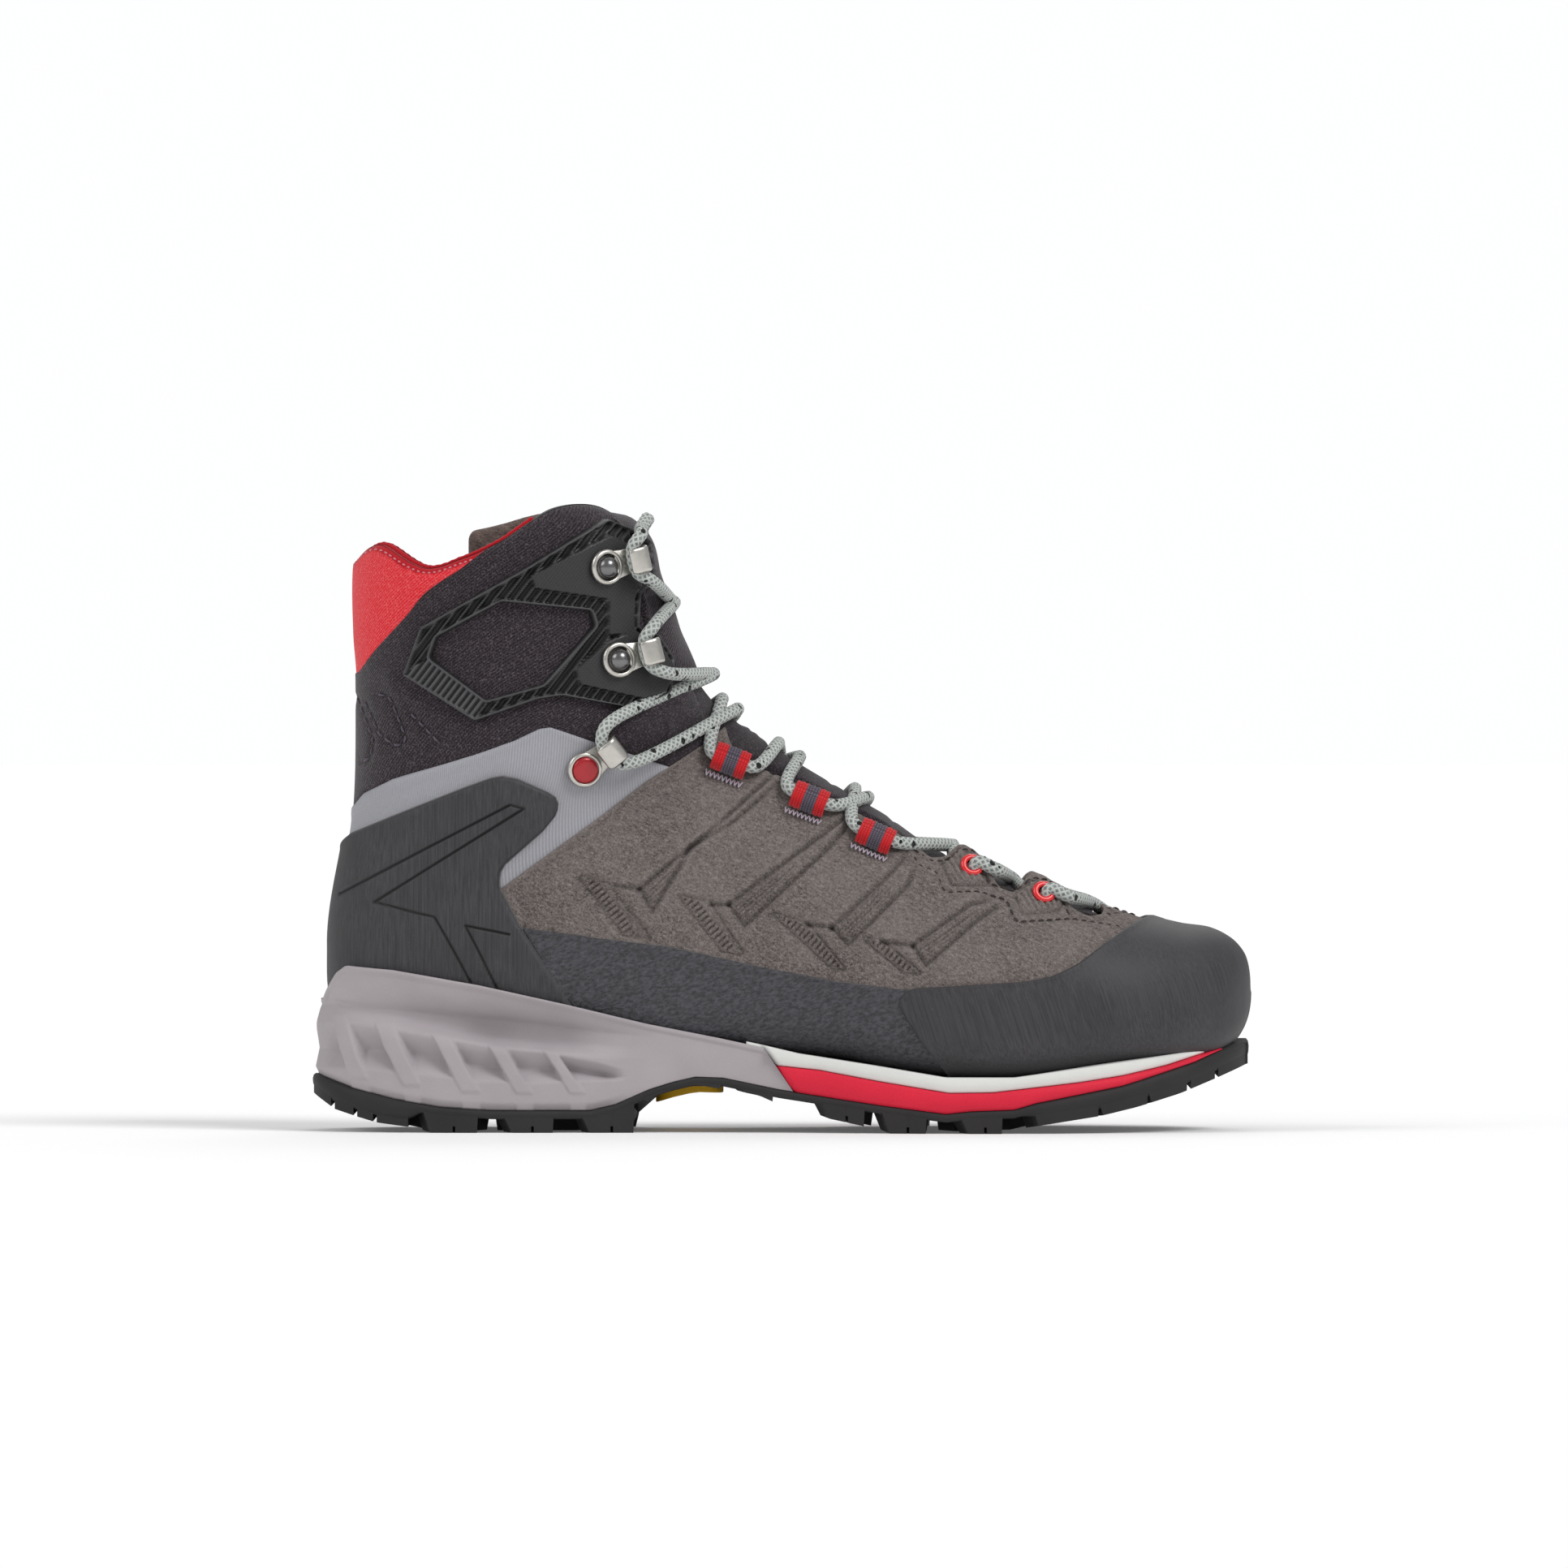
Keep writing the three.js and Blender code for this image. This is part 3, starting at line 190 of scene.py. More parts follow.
def mesh_object(name, verts, faces, material, uv=None, flat=False, colour=None):
    mesh = bpy.data.meshes.new(name)
    mesh.from_pydata((np.asarray(verts, float) * MM).tolist(), [], [tuple(int(i) for i in f) for f in faces])
    mesh.validate()
    if uv is not None:
        layer = mesh.uv_layers.new(name="UVMap")
        index = np.zeros(len(mesh.loops), int)
        mesh.loops.foreach_get("vertex_index", index)
        layer.data.foreach_set("uv", np.asarray(uv, float)[index].ravel())
    if colour is not None:
        mesh.attributes.new("tone", "FLOAT", "POINT").data.foreach_set("value", np.asarray(colour, np.float32))
    mesh.polygons.foreach_set("use_smooth", [not flat] * len(mesh.polygons))
    mesh.materials.append(material)
    obj = bpy.data.objects.new(name, mesh)
    bpy.context.scene.collection.objects.link(obj)
    return obj


def bevel(obj, width, segments=2, angle=35):
    mod = obj.modifiers.new("bevel", "BEVEL")
    mod.width = width * MM
    mod.segments = segments
    mod.limit_method = "ANGLE"
    mod.angle_limit = math.radians(angle)
    mod.harden_normals = False
    return obj


def bake(obj):
    """Turns an object's modifiers into its mesh."""
    graph = bpy.context.evaluated_depsgraph_get()
    mesh = bpy.data.meshes.new_from_object(obj.evaluated_get(graph))
    obj.modifiers.clear()
    obj.data = mesh
    return obj


def outward(verts, faces, centre=None):
    """Turns every face of a patch round if most of them look inwards from a point."""
    faces = np.asarray(faces)
    verts = np.asarray(verts)
    a, b, c = verts[faces[:, 0]], verts[faces[:, 1]], verts[faces[:, 2]]
    normal = np.cross(b - a, c - a)
    away = a - (verts.mean(0) if centre is None else centre)
    return faces[:, ::-1] if (normal * away).sum() < 0 else faces


def resample(points, step, closed=True):
    points = np.asarray(points, float)
    if closed:
        points = np.vstack([points, points[:1]])
    out = []
    for a, b in zip(points[:-1], points[1:]):
        n = max(1, int(round(np.linalg.norm(b - a) / step)))
        out.extend(a + (b - a) * k / n for k in range(n))
    if not closed:
        out.append(points[-1])
    return np.array(out)


def fillet(points, cut, closed=True):
    """Corners replaced by short curves that start at most cut from them."""
    points = np.asarray(points, float)
    out = []
    for i, p in enumerate(points):
        if not closed and i in (0, len(points) - 1):
            out.append(p)
            continue
        before, after = points[i - 1] - p, points[(i + 1) % len(points)] - p
        start = p + before * min(cut / np.linalg.norm(before), 0.4)
        end = p + after * min(cut / np.linalg.norm(after), 0.4)
        out.extend((1 - u) ** 2 * start + 2 * u * (1 - u) * p + u * u * end for u in (0, 0.33, 0.67, 1))
    return np.array(out)


def segment_distance(p, line, closed=False):
    """Distance from each point p to a polyline, and how far along it the nearest place is."""
    line = np.asarray(line, float)
    if closed:
        line = np.vstack([line, line[:1]])
    best = np.full(len(p), 1e9)
    along = np.zeros(len(p))
    run = 0.0
    for a, b in zip(line[:-1], line[1:]):
        ab = b - a
        length = np.linalg.norm(ab)
        if length < 1e-9:
            continue
        u = np.clip(((p - a) @ ab) / length**2, 0, 1)
        d = np.linalg.norm(p - a - u[:, None] * ab, axis=1)
        closer = d < best
        best = np.where(closer, d, best)
        along = np.where(closer, run + u * length, along)
        run += length
    return best, along


def inside(p, polygon):
    x, y = p[:, 0], p[:, 1]
    result = np.zeros(len(p), bool)
    a = np.asarray(polygon)
    b = np.roll(a, -1, 0)
    for (x0, y0), (x1, y1) in zip(a, b):
        if y0 == y1:
            continue
        crosses = ((y0 > y) != (y1 > y)) & (x < (x1 - x0) * (y - y0) / (y1 - y0) + x0)
        result ^= crosses
    return result


AROUND_MM = 45.0  # millimetres round the boot for one radian


class Wrap:
    """Flat coordinates of a part of the last: p runs along it, q round it from the centre line t0."""

    def __init__(self, t0=0.0):
        self.t0 = t0

    def flat(self, st):
        turn = np.mod(st[:, 1] - self.t0 + math.pi, 2 * math.pi) - math.pi
        return np.stack([st[:, 0], turn * AROUND_MM], 1)

    def last(self, pq):
        return pq[:, 0], self.t0 + pq[:, 1] / AROUND_MM


class Nose:
    """Flat coordinates about the tip of the toe, as seen from the front."""

    def flat(self, st):
        r = END - st[:, 0]
        return np.stack([r * np.cos(st[:, 1]), r * np.sin(st[:, 1])], 1)

    def last(self, pq):
        return END - np.hypot(pq[:, 0], pq[:, 1]), np.arctan2(pq[:, 1], pq[:, 0])


def panel(name, chart, outline, material, spacing=1.3, base=0.0, thick=1.6, edge=0.8, holes=(), relief=None,
          near=None, fine=0.5, skirt=None, shape=None):
    """A sheet laid on the last. outline and holes are closed lines in the chart. relief(side view, flat, side)
    gives extra height, near() the distance to detail that needs the fine spacing, shape() moves finished points."""
    rings = [resample(outline, spacing * 0.6)] + [resample(h, spacing * 0.6) for h in holes]
    points, edges = [], []
    for ring in rings:
        start = len(points)
        points.extend(ring)
        edges.extend((start + i, start + (i + 1) % len(ring)) for i in range(len(ring)))
    border = np.array(points)
    extra = []
    for ring in rings:
        following, before = np.roll(ring, -1, 0), np.roll(ring, 1, 0)
        along = following - before
        normal = np.stack([-along[:, 1], along[:, 0]], 1) / (np.linalg.norm(along, axis=1)[:, None] + 1e-9)
        for share in (0.12, 0.4, 0.8, 1.2):
            for sign in (-1, 1):
                extra.append(ring + normal * sign * share * edge)
    low, high = border.min(0), border.max(0)
    step = fine if near else spacing
    ratio = max(1, int(round(spacing / step)))
    xs = np.arange(low[0], high[0], step)
    ys = np.arange(low[1], high[1], step * 0.866)
    gx, gy = np.meshgrid(xs, ys)
    gx = gx + (np.arange(len(ys)) % 2)[:, None] * step / 2
    ix, iy = np.meshgrid(np.arange(len(xs)), np.arange(len(ys)))
    grid = np.stack([gx.ravel(), gy.ravel()], 1)
    coarse = ((ix % ratio == 0) & (iy % ratio == 0)).ravel()
    keep = inside(grid, rings[0])
    grid, coarse = grid[keep], coarse[keep]
    if near is not None:
        s, t = chart.last(grid)
        xyz = last_point(s, t)
        coarse = coarse | (near(xyz[:, [0, 2]], grid, np.sign(xyz[:, 1])) < spacing)
        grid = grid[coarse]
    inner = np.vstack(extra)
    tree = KDTree(len(border))
    for i, p in enumerate(border):
        tree.insert((p[0], p[1], 0), i)
    tree.balance()
    distance = lambda pts: np.array([tree.find((p[0], p[1], 0))[2] for p in pts])
    rim = distance(inner)
    wanted = np.concatenate([np.full(len(r), share * edge) for r in rings for share in (0.12, 0.4, 0.8, 1.2) for _ in (0, 1)])
    inner = inner[(rim > wanted * 0.85) & inside(inner, rings[0])]
    grid = grid[distance(grid) > max(edge * 1.5, spacing * 0.45)]
    allp = np.vstack([border, inner, grid])
    verts, _, tris, _, _, _ = delaunay_2d_cdt([Vector(p) for p in allp], edges, [], 0, 1e-5)
    flat = np.array([tuple(v) for v in verts])
    tris = np.array([t for t in tris if len(t) == 3])
    centre = flat[tris].mean(1)
    good = inside(centre, rings[0])
    for ring in rings[1:]:
        good &= ~inside(centre, ring)
    tris = tris[good]
    used = np.unique(tris)
    remap = np.full(len(flat), -1)
    remap[used] = np.arange(len(used))
    flat, tris = flat[used], remap[tris]
    gap = np.full(len(flat), 1e9)
    for ring in rings:
        gap = np.minimum(gap, segment_distance(flat, ring, True)[0])
    s, t = chart.last(flat)
    u = np.clip(gap / edge, 0, 1)
    height = thick * np.sqrt(1 - (1 - u) ** 2)
    rest = last_point(s, t)
    tone = np.zeros(len(flat))
    if relief is not None:
        extra_height = relief(rest[:, [0, 2]], flat, np.sign(rest[:, 1]), gap)
        if isinstance(extra_height, tuple):
            extra_height, tone = extra_height
        height = height + extra_height
    top = last_point(s, t, 0) if base == 0 and thick == 0 else last_point(s, t, base + height)
    # border edges, for the skirt that runs down to the layer below
    count = {}
    for tri in tris:
        for a, b in ((tri[0], tri[1]), (tri[1], tri[2]), (tri[2], tri[0])):
            key = (min(a, b), max(a, b))
            count[key] = None if key in count else (a, b)
    rim_edges = [e for e in count.values() if e is not None]
    rim_points = sorted({i for e in rim_edges for i in e})
    lower = {v: len(flat) + k for k, v in enumerate(rim_points)}
    depth = skirt if skirt is not None else 1.0
    below = last_point(s[rim_points], t[rim_points], base - depth)
    verts = np.vstack([top, below])
    if shape is not None:
        verts = shape(verts)
    faces = outward(verts, tris, np.array([60.0, 0, 90.0]))
    flipped = not np.array_equal(faces, tris)
    sides = [(b, a, lower[a], lower[b]) for a, b in rim_edges]
    if flipped:
        sides = [f[::-1] for f in sides]
    uv = np.vstack([flat, flat[rim_points]]) * 0.01
    tone = np.concatenate([tone, tone[rim_points]])
    return mesh_object(name, verts, [tuple(f) for f in faces] + sides, material, uv, colour=tone)


def merge(parts):
    """Joins (verts, faces) pairs."""
    verts, faces, start = [], [], 0
    for v, f in parts:
        verts.append(np.asarray(v, float))
        faces.extend([tuple(int(i) + start for i in face) for face in f])
        start += len(v)
    return np.vstack(verts), faces


def grid_faces(rows, cols, close_cols=False, close_rows=False):
    faces = []
    for i in range(rows if close_rows else rows - 1):
        for j in range(cols if close_cols else cols - 1):
            a, b = i * cols + j, i * cols + (j + 1) % cols
            c, d = ((i + 1) % rows) * cols + (j + 1) % cols, ((i + 1) % rows) * cols + j
            faces.append((a, b, c, d))
    return faces


def transport(points):
    """A tangent and two cross directions at each point of a line, turning as little as possible."""
    points = np.asarray(points, float)
    tangent = np.gradient(points, axis=0)
    tangent /= np.linalg.norm(tangent, axis=1)[:, None] + 1e-12
    seed = np.array([0.0, 0.0, 1.0]) if abs(tangent[0][2]) < 0.9 else np.array([0.0, 1.0, 0.0])
    u = np.cross(tangent[0], seed)
    us = []
    for t in tangent:
        u = u - t * (u @ t)
        u /= np.linalg.norm(u)
        us.append(u.copy())
    us = np.array(us)
    return tangent, us, np.cross(tangent, us)


def tube(points, radius, around=10, cap=True):
    """A tube along a line; radius is a number or an array (points, around)."""
    points = np.asarray(points, float)
    _, u, v = transport(points)
    angle = np.arange(around) * 2 * math.pi / around
    r = np.broadcast_to(np.asarray(radius, float), (len(points), around)) if np.ndim(radius) != 1 else np.asarray(radius)[:, None] * np.ones(around)
    ring = points[:, None] + r[..., None] * (u[:, None] * np.cos(angle)[None, :, None] + v[:, None] * np.sin(angle)[None, :, None])
    verts = ring.reshape(-1, 3)
    faces = [f[::-1] for f in grid_faces(len(points), around, close_cols=True)]
    if cap:
        faces.append(tuple(range(around)))
        faces.append(tuple(reversed(range((len(points) - 1) * around, len(points) * around))))
    return verts, faces


def lathe(profile, around=40):
    """A profile of (radius, height) turned about +Z, closed if its ends are on the axis."""
    profile = np.asarray(profile, float)
    angle = np.arange(around) * 2 * math.pi / around
    verts = np.stack([profile[:, None, 0] * np.cos(angle), profile[:, None, 0] * np.sin(angle), profile[:, None, 1] * np.ones(around)], -1)
    return verts.reshape(-1, 3), grid_faces(len(profile), around, close_cols=True)


def catmull(points, steps=12, closed=False):
    """A centripetal spline through points."""
    p = np.asarray(points, float)
    n = len(p)
    out = []
    for i in range(n if closed else n - 1):
        p1, p2 = p[i], p[(i + 1) % n]
        p0 = p[(i - 1) % n] if closed or i > 0 else 2 * p1 - p2
        p3 = p[(i + 2) % n] if closed or i + 2 < n else 2 * p2 - p1
        k = [max(np.linalg.norm(b - a), 1e-6) ** 0.5 for a, b in ((p0, p1), (p1, p2), (p2, p3))]
        m1 = ((p1 - p0) / k[0] - (p2 - p0) / (k[0] + k[1]) + (p2 - p1) / k[1]) * k[1]
        m2 = ((p2 - p1) / k[1] - (p3 - p1) / (k[1] + k[2]) + (p3 - p2) / k[2]) * k[1]
        u = (np.arange(steps) / steps)[:, None]
        out.append((2 * u**3 - 3 * u**2 + 1) * p1 + (u**3 - 2 * u**2 + u) * m1 + (3 * u**2 - 2 * u**3) * p2 + (u**3 - u**2) * m2)
    if not closed:
        out.append(p[-1:])
    return np.vstack(out)


def even(points, step):
    """The line sampled at even steps."""
    d = np.concatenate([[0], np.cumsum(np.linalg.norm(np.diff(points, axis=0), axis=1))])
    n = max(2, int(d[-1] / step))
    want = np.linspace(0, d[-1], n)
    return np.stack([np.interp(want, d, points[:, k]) for k in range(points.shape[1])], 1)


def seat(x, z, side, direction=0.0, off=0.0):
    """Origin and u, v, w directions on the last: w leaves it, u follows the side view direction in degrees."""
    s, t = on_side([(x, z)], side)[0]
    o = last_point(s, t, off)
    along = last_point(s + 0.4, t, off) - last_point(s - 0.4, t, off)
    round_ = last_point(s, t + 0.01, off) - last_point(s, t - 0.01, off)
    w = np.cross(along, round_)
    w /= np.linalg.norm(w)
    if w[1] * side < 0:
        w = -w
    a = math.radians(direction)
    u = np.array([math.cos(a), 0, math.sin(a)])
    u -= w * (u @ w)
    u /= np.linalg.norm(u)
    return o, u, np.cross(w, u), w


def place(verts, at):
    o, u, v, w = at
    verts = np.asarray(verts, float)
    return o + verts[:, :1] * u + verts[:, 1:2] * v + verts[:, 2:3] * w


def stitches(lines, at, length=1.9, gap=0.9, radius=0.34, sink=0.12):
    """Thread stitches along flat lines; at(points) gives places on the boot."""
    parts = []
    for line in lines:
        line = even(np.asarray(line, float), 0.2)
        d = np.concatenate([[0], np.cumsum(np.linalg.norm(np.diff(line, axis=0), axis=1))])
        start = 0.3
        while start + length < d[-1]:
            places = np.linspace(start, start + length, 6)
            flat = np.stack([np.interp(places, d, line[:, k]) for k in range(2)], 1)
            rise = radius * (np.sin(np.linspace(0, math.pi, 6)) * 1.0) - sink
            pts = at(flat, rise)
            width = radius * np.array([0.55, 0.95, 1, 1, 0.95, 0.55])
            parts.append(tube(pts, width, 6))
            start += length + gap
    return parts


# ------------------------------------------------------------------ materials

class Nodes:
    """Short words for building a node tree."""

    def __init__(self, name, slot_name):
        self.mat = bpy.data.materials.new(name)
        self.mat.use_nodes = True
        self.tree = self.mat.node_tree
        self.shader = self.tree.nodes["Principled BSDF"]
        self.slot = slot_name
        coords = self.tree.nodes.new("ShaderNodeTexCoord")
        self.mm = self.vec("SCALE", coords.outputs["Object"], scale=1000.0)
        self.uv = self.vec("SCALE", coords.outputs["UV"], scale=100.0)

    def put(self, socket, value):
        if isinstance(value, bpy.types.NodeSocket):
            self.tree.links.new(value, socket)
        elif value is not None:
            socket.default_value = value

    def new(self, kind, inputs=None, **props):
        node = self.tree.nodes.new("ShaderNode" + kind)
        for key, value in props.items():
            setattr(node, key, value)
        for key, value in (inputs or {}).items():
            self.put(node.inputs[key], value)
        return node

    def vec(self, operation, a, b=None, scale=None):
        node = self.new("VectorMath", {0: a, 1: b}, operation=operation)
        if scale is not None:
            node.inputs["Scale"].default_value = scale
        return node.outputs[0]

    def math(self, operation, a, b=None, c=None, clamp=False):
        return self.new("Math", {0: a, 1: b, 2: c}, operation=operation, use_clamp=clamp).outputs[0]

    def split(self, vector):
        return self.new("SeparateXYZ", {0: vector}).outputs

    def join(self, x=0.0, y=0.0, z=0.0):
        return self.new("CombineXYZ", {0: x, 1: y, 2: z}).outputs[0]

    def turn(self, vector, degrees, stretch=(1, 1, 1), plane="xz"):
        """A vector turned in its plane and stretched, for patterns with a direction."""
        x, y, z = self.split(vector)
        second = z if plane == "xz" else y
        c, s = math.cos(math.radians(degrees)), math.sin(math.radians(degrees))
        along = self.math("MULTIPLY_ADD", x, c, self.math("MULTIPLY", second, s))
        across = self.math("MULTIPLY_ADD", x, -s, self.math("MULTIPLY", second, c))
        return self.join(self.math("MULTIPLY", along, stretch[0]), self.math("MULTIPLY", across, stretch[1]),
                         self.math("MULTIPLY", y if plane == "xz" else z, stretch[2]))

    def noise(self, vector, scale=1.0, detail=2.0, rough=0.5, distortion=0.0):
        return self.new("TexNoise", {"Vector": vector, "Scale": scale, "Detail": detail, "Roughness": rough,
                                     "Distortion": distortion}).outputs["Fac"]

    def voronoi(self, vector, scale=1.0, feature="F1", randomness=1.0):
        return self.new("TexVoronoi", {"Vector": vector, "Scale": scale, "Randomness": randomness},
                        feature=feature).outputs["Distance"]

    def wave(self, value, period, duty=None):
        """0 to 1 sine of a value in millimetres."""
        sine = self.math("SINE", self.math("MULTIPLY", value, 2 * math.pi / period))
        return self.math("MULTIPLY_ADD", sine, 0.5, 0.5)

    def ramp(self, value, stops):
        node = self.new("ValToRGB", {0: value})
        ramp = node.color_ramp
        for i, (position, colour) in enumerate(stops):
            element = ramp.elements[i] if i < 2 else ramp.elements.new(position)
            element.position = position
            element.color = (*colour, 1) if len(colour) == 3 else colour
        return node.outputs[0]

    def range(self, value, a, b, c=0.0, d=1.0):
        return self.new("MapRange", {0: value, 1: a, 2: b, 3: c, 4: d}).outputs[0]

    def mix(self, factor, a, b, blend="MIX"):
        node = self.new("Mix", data_type="RGBA", blend_type=blend)
        self.put(node.inputs[0], factor)
        self.put(node.inputs[6], (*a, 1) if isinstance(a, tuple) and len(a) == 3 else a)
        self.put(node.inputs[7], (*b, 1) if isinstance(b, tuple) and len(b) == 3 else b)
        return node.outputs[2]

    def bump(self, height, distance, strength=1.0, normal=None):
        node = self.new("Bump", {"Height": height, "Distance": distance * MM, "Strength": strength})
        if normal is not None:
            self.put(node.inputs["Normal"], normal)
        return node.outputs[0]

    def finish(self, colour=None, rough=None, normal=None, metal=0.0, sheen=0.0, spec=0.5, coat=0.0, sheen_tint=None):
        shader = self.shader
        if isinstance(colour, tuple):
            colour = (*colour, 1)
        self.put(shader.inputs["Base Color"], colour)
        self.put(shader.inputs["Roughness"], rough)
        self.put(shader.inputs["Normal"], normal)
        shader.inputs["Metallic"].default_value = metal
        shader.inputs["Specular IOR Level"].default_value = spec
        shader.inputs["Sheen Weight"].default_value = sheen
        shader.inputs["Sheen Roughness"].default_value = 0.5
        if sheen_tint:
            shader.inputs["Sheen Tint"].default_value = (*sheen_tint, 1)
        shader.inputs["Coat Weight"].default_value = coat
        shader.inputs["Coat Roughness"].default_value = 0.2
        self.mat["slot"] = self.slot
        return self.mat


def lin(r, g, b):
    """Linear colour from display values 0 to 255."""
    f = lambda v: (v / 255 / 12.92) if v <= 10 else ((v / 255 + 0.055) / 1.055) ** 2.4
    return (f(r), f(g), f(b))


def shade(n, colour, dark, light, weight=1.0):
    """Painted shade in the hollows and painted highlight on the ridges that the tone attribute marks; where tone marks
    a real binding or a pale rubber rim instead, the same mix gives that colour.
    """
    tone = n.new("Attribute", attribute_name="tone").outputs["Fac"]
    deep = n.mix(n.range(tone, 0.0, -1.0, 0.0, weight), colour, lin(*dark))
    return n.mix(n.range(tone, 0.0, 1.0, 0.0, weight * 0.7), deep, lin(*light))


def suede_material(name="suede", slot_name="suede", colour=(103, 95, 92), light=(152, 143, 139), dark=(52, 46, 45)):
    n = Nodes(name, slot_name)
    fine = n.noise(n.mm, 1.75, 3, 0.7)
    nap = n.noise(n.turn(n.mm, -25, (0.5, 1.0, 0.7)), 1.1, 4, 0.72)
    patches = n.noise(n.mm, 0.05, 3, 0.55)
    speck = n.ramp(fine, [(0.38, lin(*dark)), (0.64, lin(*light)), (0.5, lin(*colour))])
    soft = n.mix(0.5, speck, n.ramp(nap, [(0.34, lin(*dark)), (0.68, lin(*light)), (0.5, lin(*colour))]))
    tone = n.mix(n.range(patches, 0.35, 0.65, 0.0, 0.22), soft, lin(*light))
    # painted shade (the dark colour at half brightness) in the embossed hollows and painted highlight on the ridges,
    # from the tone attribute
    base = shade(n, n.mix(0.12, tone, lin(*colour)), [c * 0.5 for c in dark], light, 0.75)
    height = n.math("ADD", fine, n.math("MULTIPLY", nap, 1.4))
    return n.finish(base, 0.97, n.bump(height, 0.3, 0.9), sheen=0.1, spec=0.1, sheen_tint=(0.75, 0.70, 0.68))


def shell_material():
    n = Nodes("shell_fabric", "shell_fabric")
    p, q, _ = n.split(n.uv)
    ribs = n.wave(q, 0.62)
    cross = n.wave(p, 0.5)
    grain = n.noise(n.mm, 1.2, 3, 0.6)
    colour = n.mix(n.math("MULTIPLY", ribs, 0.45), lin(146, 146, 152), lin(190, 190, 196))
    colour = n.mix(n.range(grain, 0.3, 0.7, 0, 0.25), colour, lin(128, 128, 134))
    height = n.math("ADD", ribs, n.math("MULTIPLY", cross, 0.3))
    return n.finish(colour, 0.5, n.bump(height, 0.09, 0.7), spec=0.4, sheen=0.1)


def brushed_rubber(name, slot_name, tilt, colour=(45, 44, 46), light=(76, 74, 78)):
    n = Nodes(name, slot_name)
    lines = n.noise(n.turn(n.mm, tilt, (0.03, 1.7, 1.7)), 1.0, 4, 0.75)
    broad = n.noise(n.turn(n.mm, tilt, (0.02, 0.45, 0.45)), 1.0, 2, 0.5)
    mottled = n.noise(n.mm, 0.07, 2, 0.5)
    dust = n.noise(n.mm, 2.2, 2, 0.7)
    colour = n.mix(n.range(lines, 0.38, 0.66, 0, 0.7), lin(*colour), lin(*light))
    colour = n.mix(n.range(mottled, 0.3, 0.7, 0, 0.3), colour, lin(34, 33, 36))
    colour = n.mix(n.range(dust, 0.68, 0.76, 0, 0.4), colour, lin(128, 124, 126))
    # tone: the dark colour is painted shade in the heel rand's engraved lines; the light colour is the pale cut rim
    colour = shade(n, colour, (4, 4, 5), (122, 118, 118), 0.95)
    height = n.math("ADD", lines, n.math("MULTIPLY", broad, 0.5))
    rough = n.range(lines, 0.3, 0.7, 0.46, 0.66)
    return n.finish(colour, rough, n.bump(height, 0.2, 0.6), spec=0.42)


def pebbled_rubber():
    n = Nodes("side_rand", "side_rand")
    cells = n.noise(n.turn(n.mm, 20, (0.7, 1.3, 1.0)), 0.85, 4, 0.62)
    small = n.noise(n.mm, 1.9, 3, 0.6)
    height = n.math("ADD", cells, n.math("MULTIPLY", small, 0.35))
    # the colour follows the pebble height (the same noise as the bump): painted highlight on the raised pebbles,
    # painted shade in the low ground between them
    colour = n.mix(n.range(cells, 0.36, 0.64, 0, 1.0), lin(36, 36, 40), lin(74, 73, 79))
    colour = shade(n, colour, (6, 6, 7), (128, 124, 122), 0.9)
    return n.finish(colour, n.range(small, 0.3, 0.7, 0.38, 0.55), n.bump(height, 0.75, 0.9), spec=0.5)


def knit(name, slot_name, dark, colour, light, turn=-52, period=0.85, sheen=0.25, band=None):
    """Fine stretch twill: slanting ribs crossed by stitches. band is the colour of a binding along an edge."""
    n = Nodes(name, slot_name)
    swirl = n.new("TexNoise", {"Vector": n.uv, "Scale": 0.4, "Detail": 2}).outputs["Color"]
    warped = n.vec("ADD", n.uv, n.vec("SCALE", swirl, scale=0.5))
    x, y, _ = n.split(n.turn(warped, turn, plane="xy"))
    ribs = n.wave(y, period)
    stitch = n.wave(n.math("ADD", x, n.math("MULTIPLY", y, 0.5)), period * 0.8)
    weave = n.math("MULTIPLY", ribs, n.math("MULTIPLY_ADD", stitch, 0.6, 0.4))
    fuzz = n.noise(n.mm, 5.0, 2, 0.6)
    speck = n.noise(n.mm, 1.7, 3, 0.75)
    colour = n.mix(weave, lin(*dark), lin(*colour))
    colour = n.mix(n.range(speck, 0.50, 0.70, 0, 0.6), colour, lin(*light))
    if band:
        colour = shade(n, colour, band, light)
    height = n.math("ADD", weave, n.math("MULTIPLY", fuzz, 0.4))
    return n.finish(colour, 0.92, n.bump(height, 0.14, 0.85), sheen=sheen, spec=0.15)


def foam(name, slot_name, colour, shade, speckle=0.0):
    n = Nodes(name, slot_name)
    grain = n.noise(n.mm, 2.2, 4, 0.7)
    cloud = n.noise(n.mm, 0.06, 2, 0.5)
    base = n.mix(n.range(cloud, 0.3, 0.7, 0, 0.35), lin(*colour), lin(*shade))
    base = n.mix(n.range(grain, 0.45, 0.7, 0, 0.22 + speckle), base, lin(*shade))
    return n.finish(base, n.range(grain, 0.3, 0.7, 0.55, 0.72), n.bump(grain, 0.09, 0.5), spec=0.3)


def metal(name, slot_name, colour, rough=0.3, brushed=True):
    n = Nodes(name, slot_name)
    lines = n.noise(n.turn(n.mm, 20, (0.2, 7.0, 2.0)), 1.0, 3, 0.6)
    spots = n.noise(n.mm, 0.5, 3, 0.6)
    base = n.mix(n.range(spots, 0.35, 0.7, 0, 0.25), lin(*colour), lin(*[int(c * 0.82) for c in colour]))
    return n.finish(base, n.range(lines, 0.3, 0.7, rough - 0.06, rough + 0.1), n.bump(lines, 0.02, 0.3 if brushed else 0.1), metal=1.0)


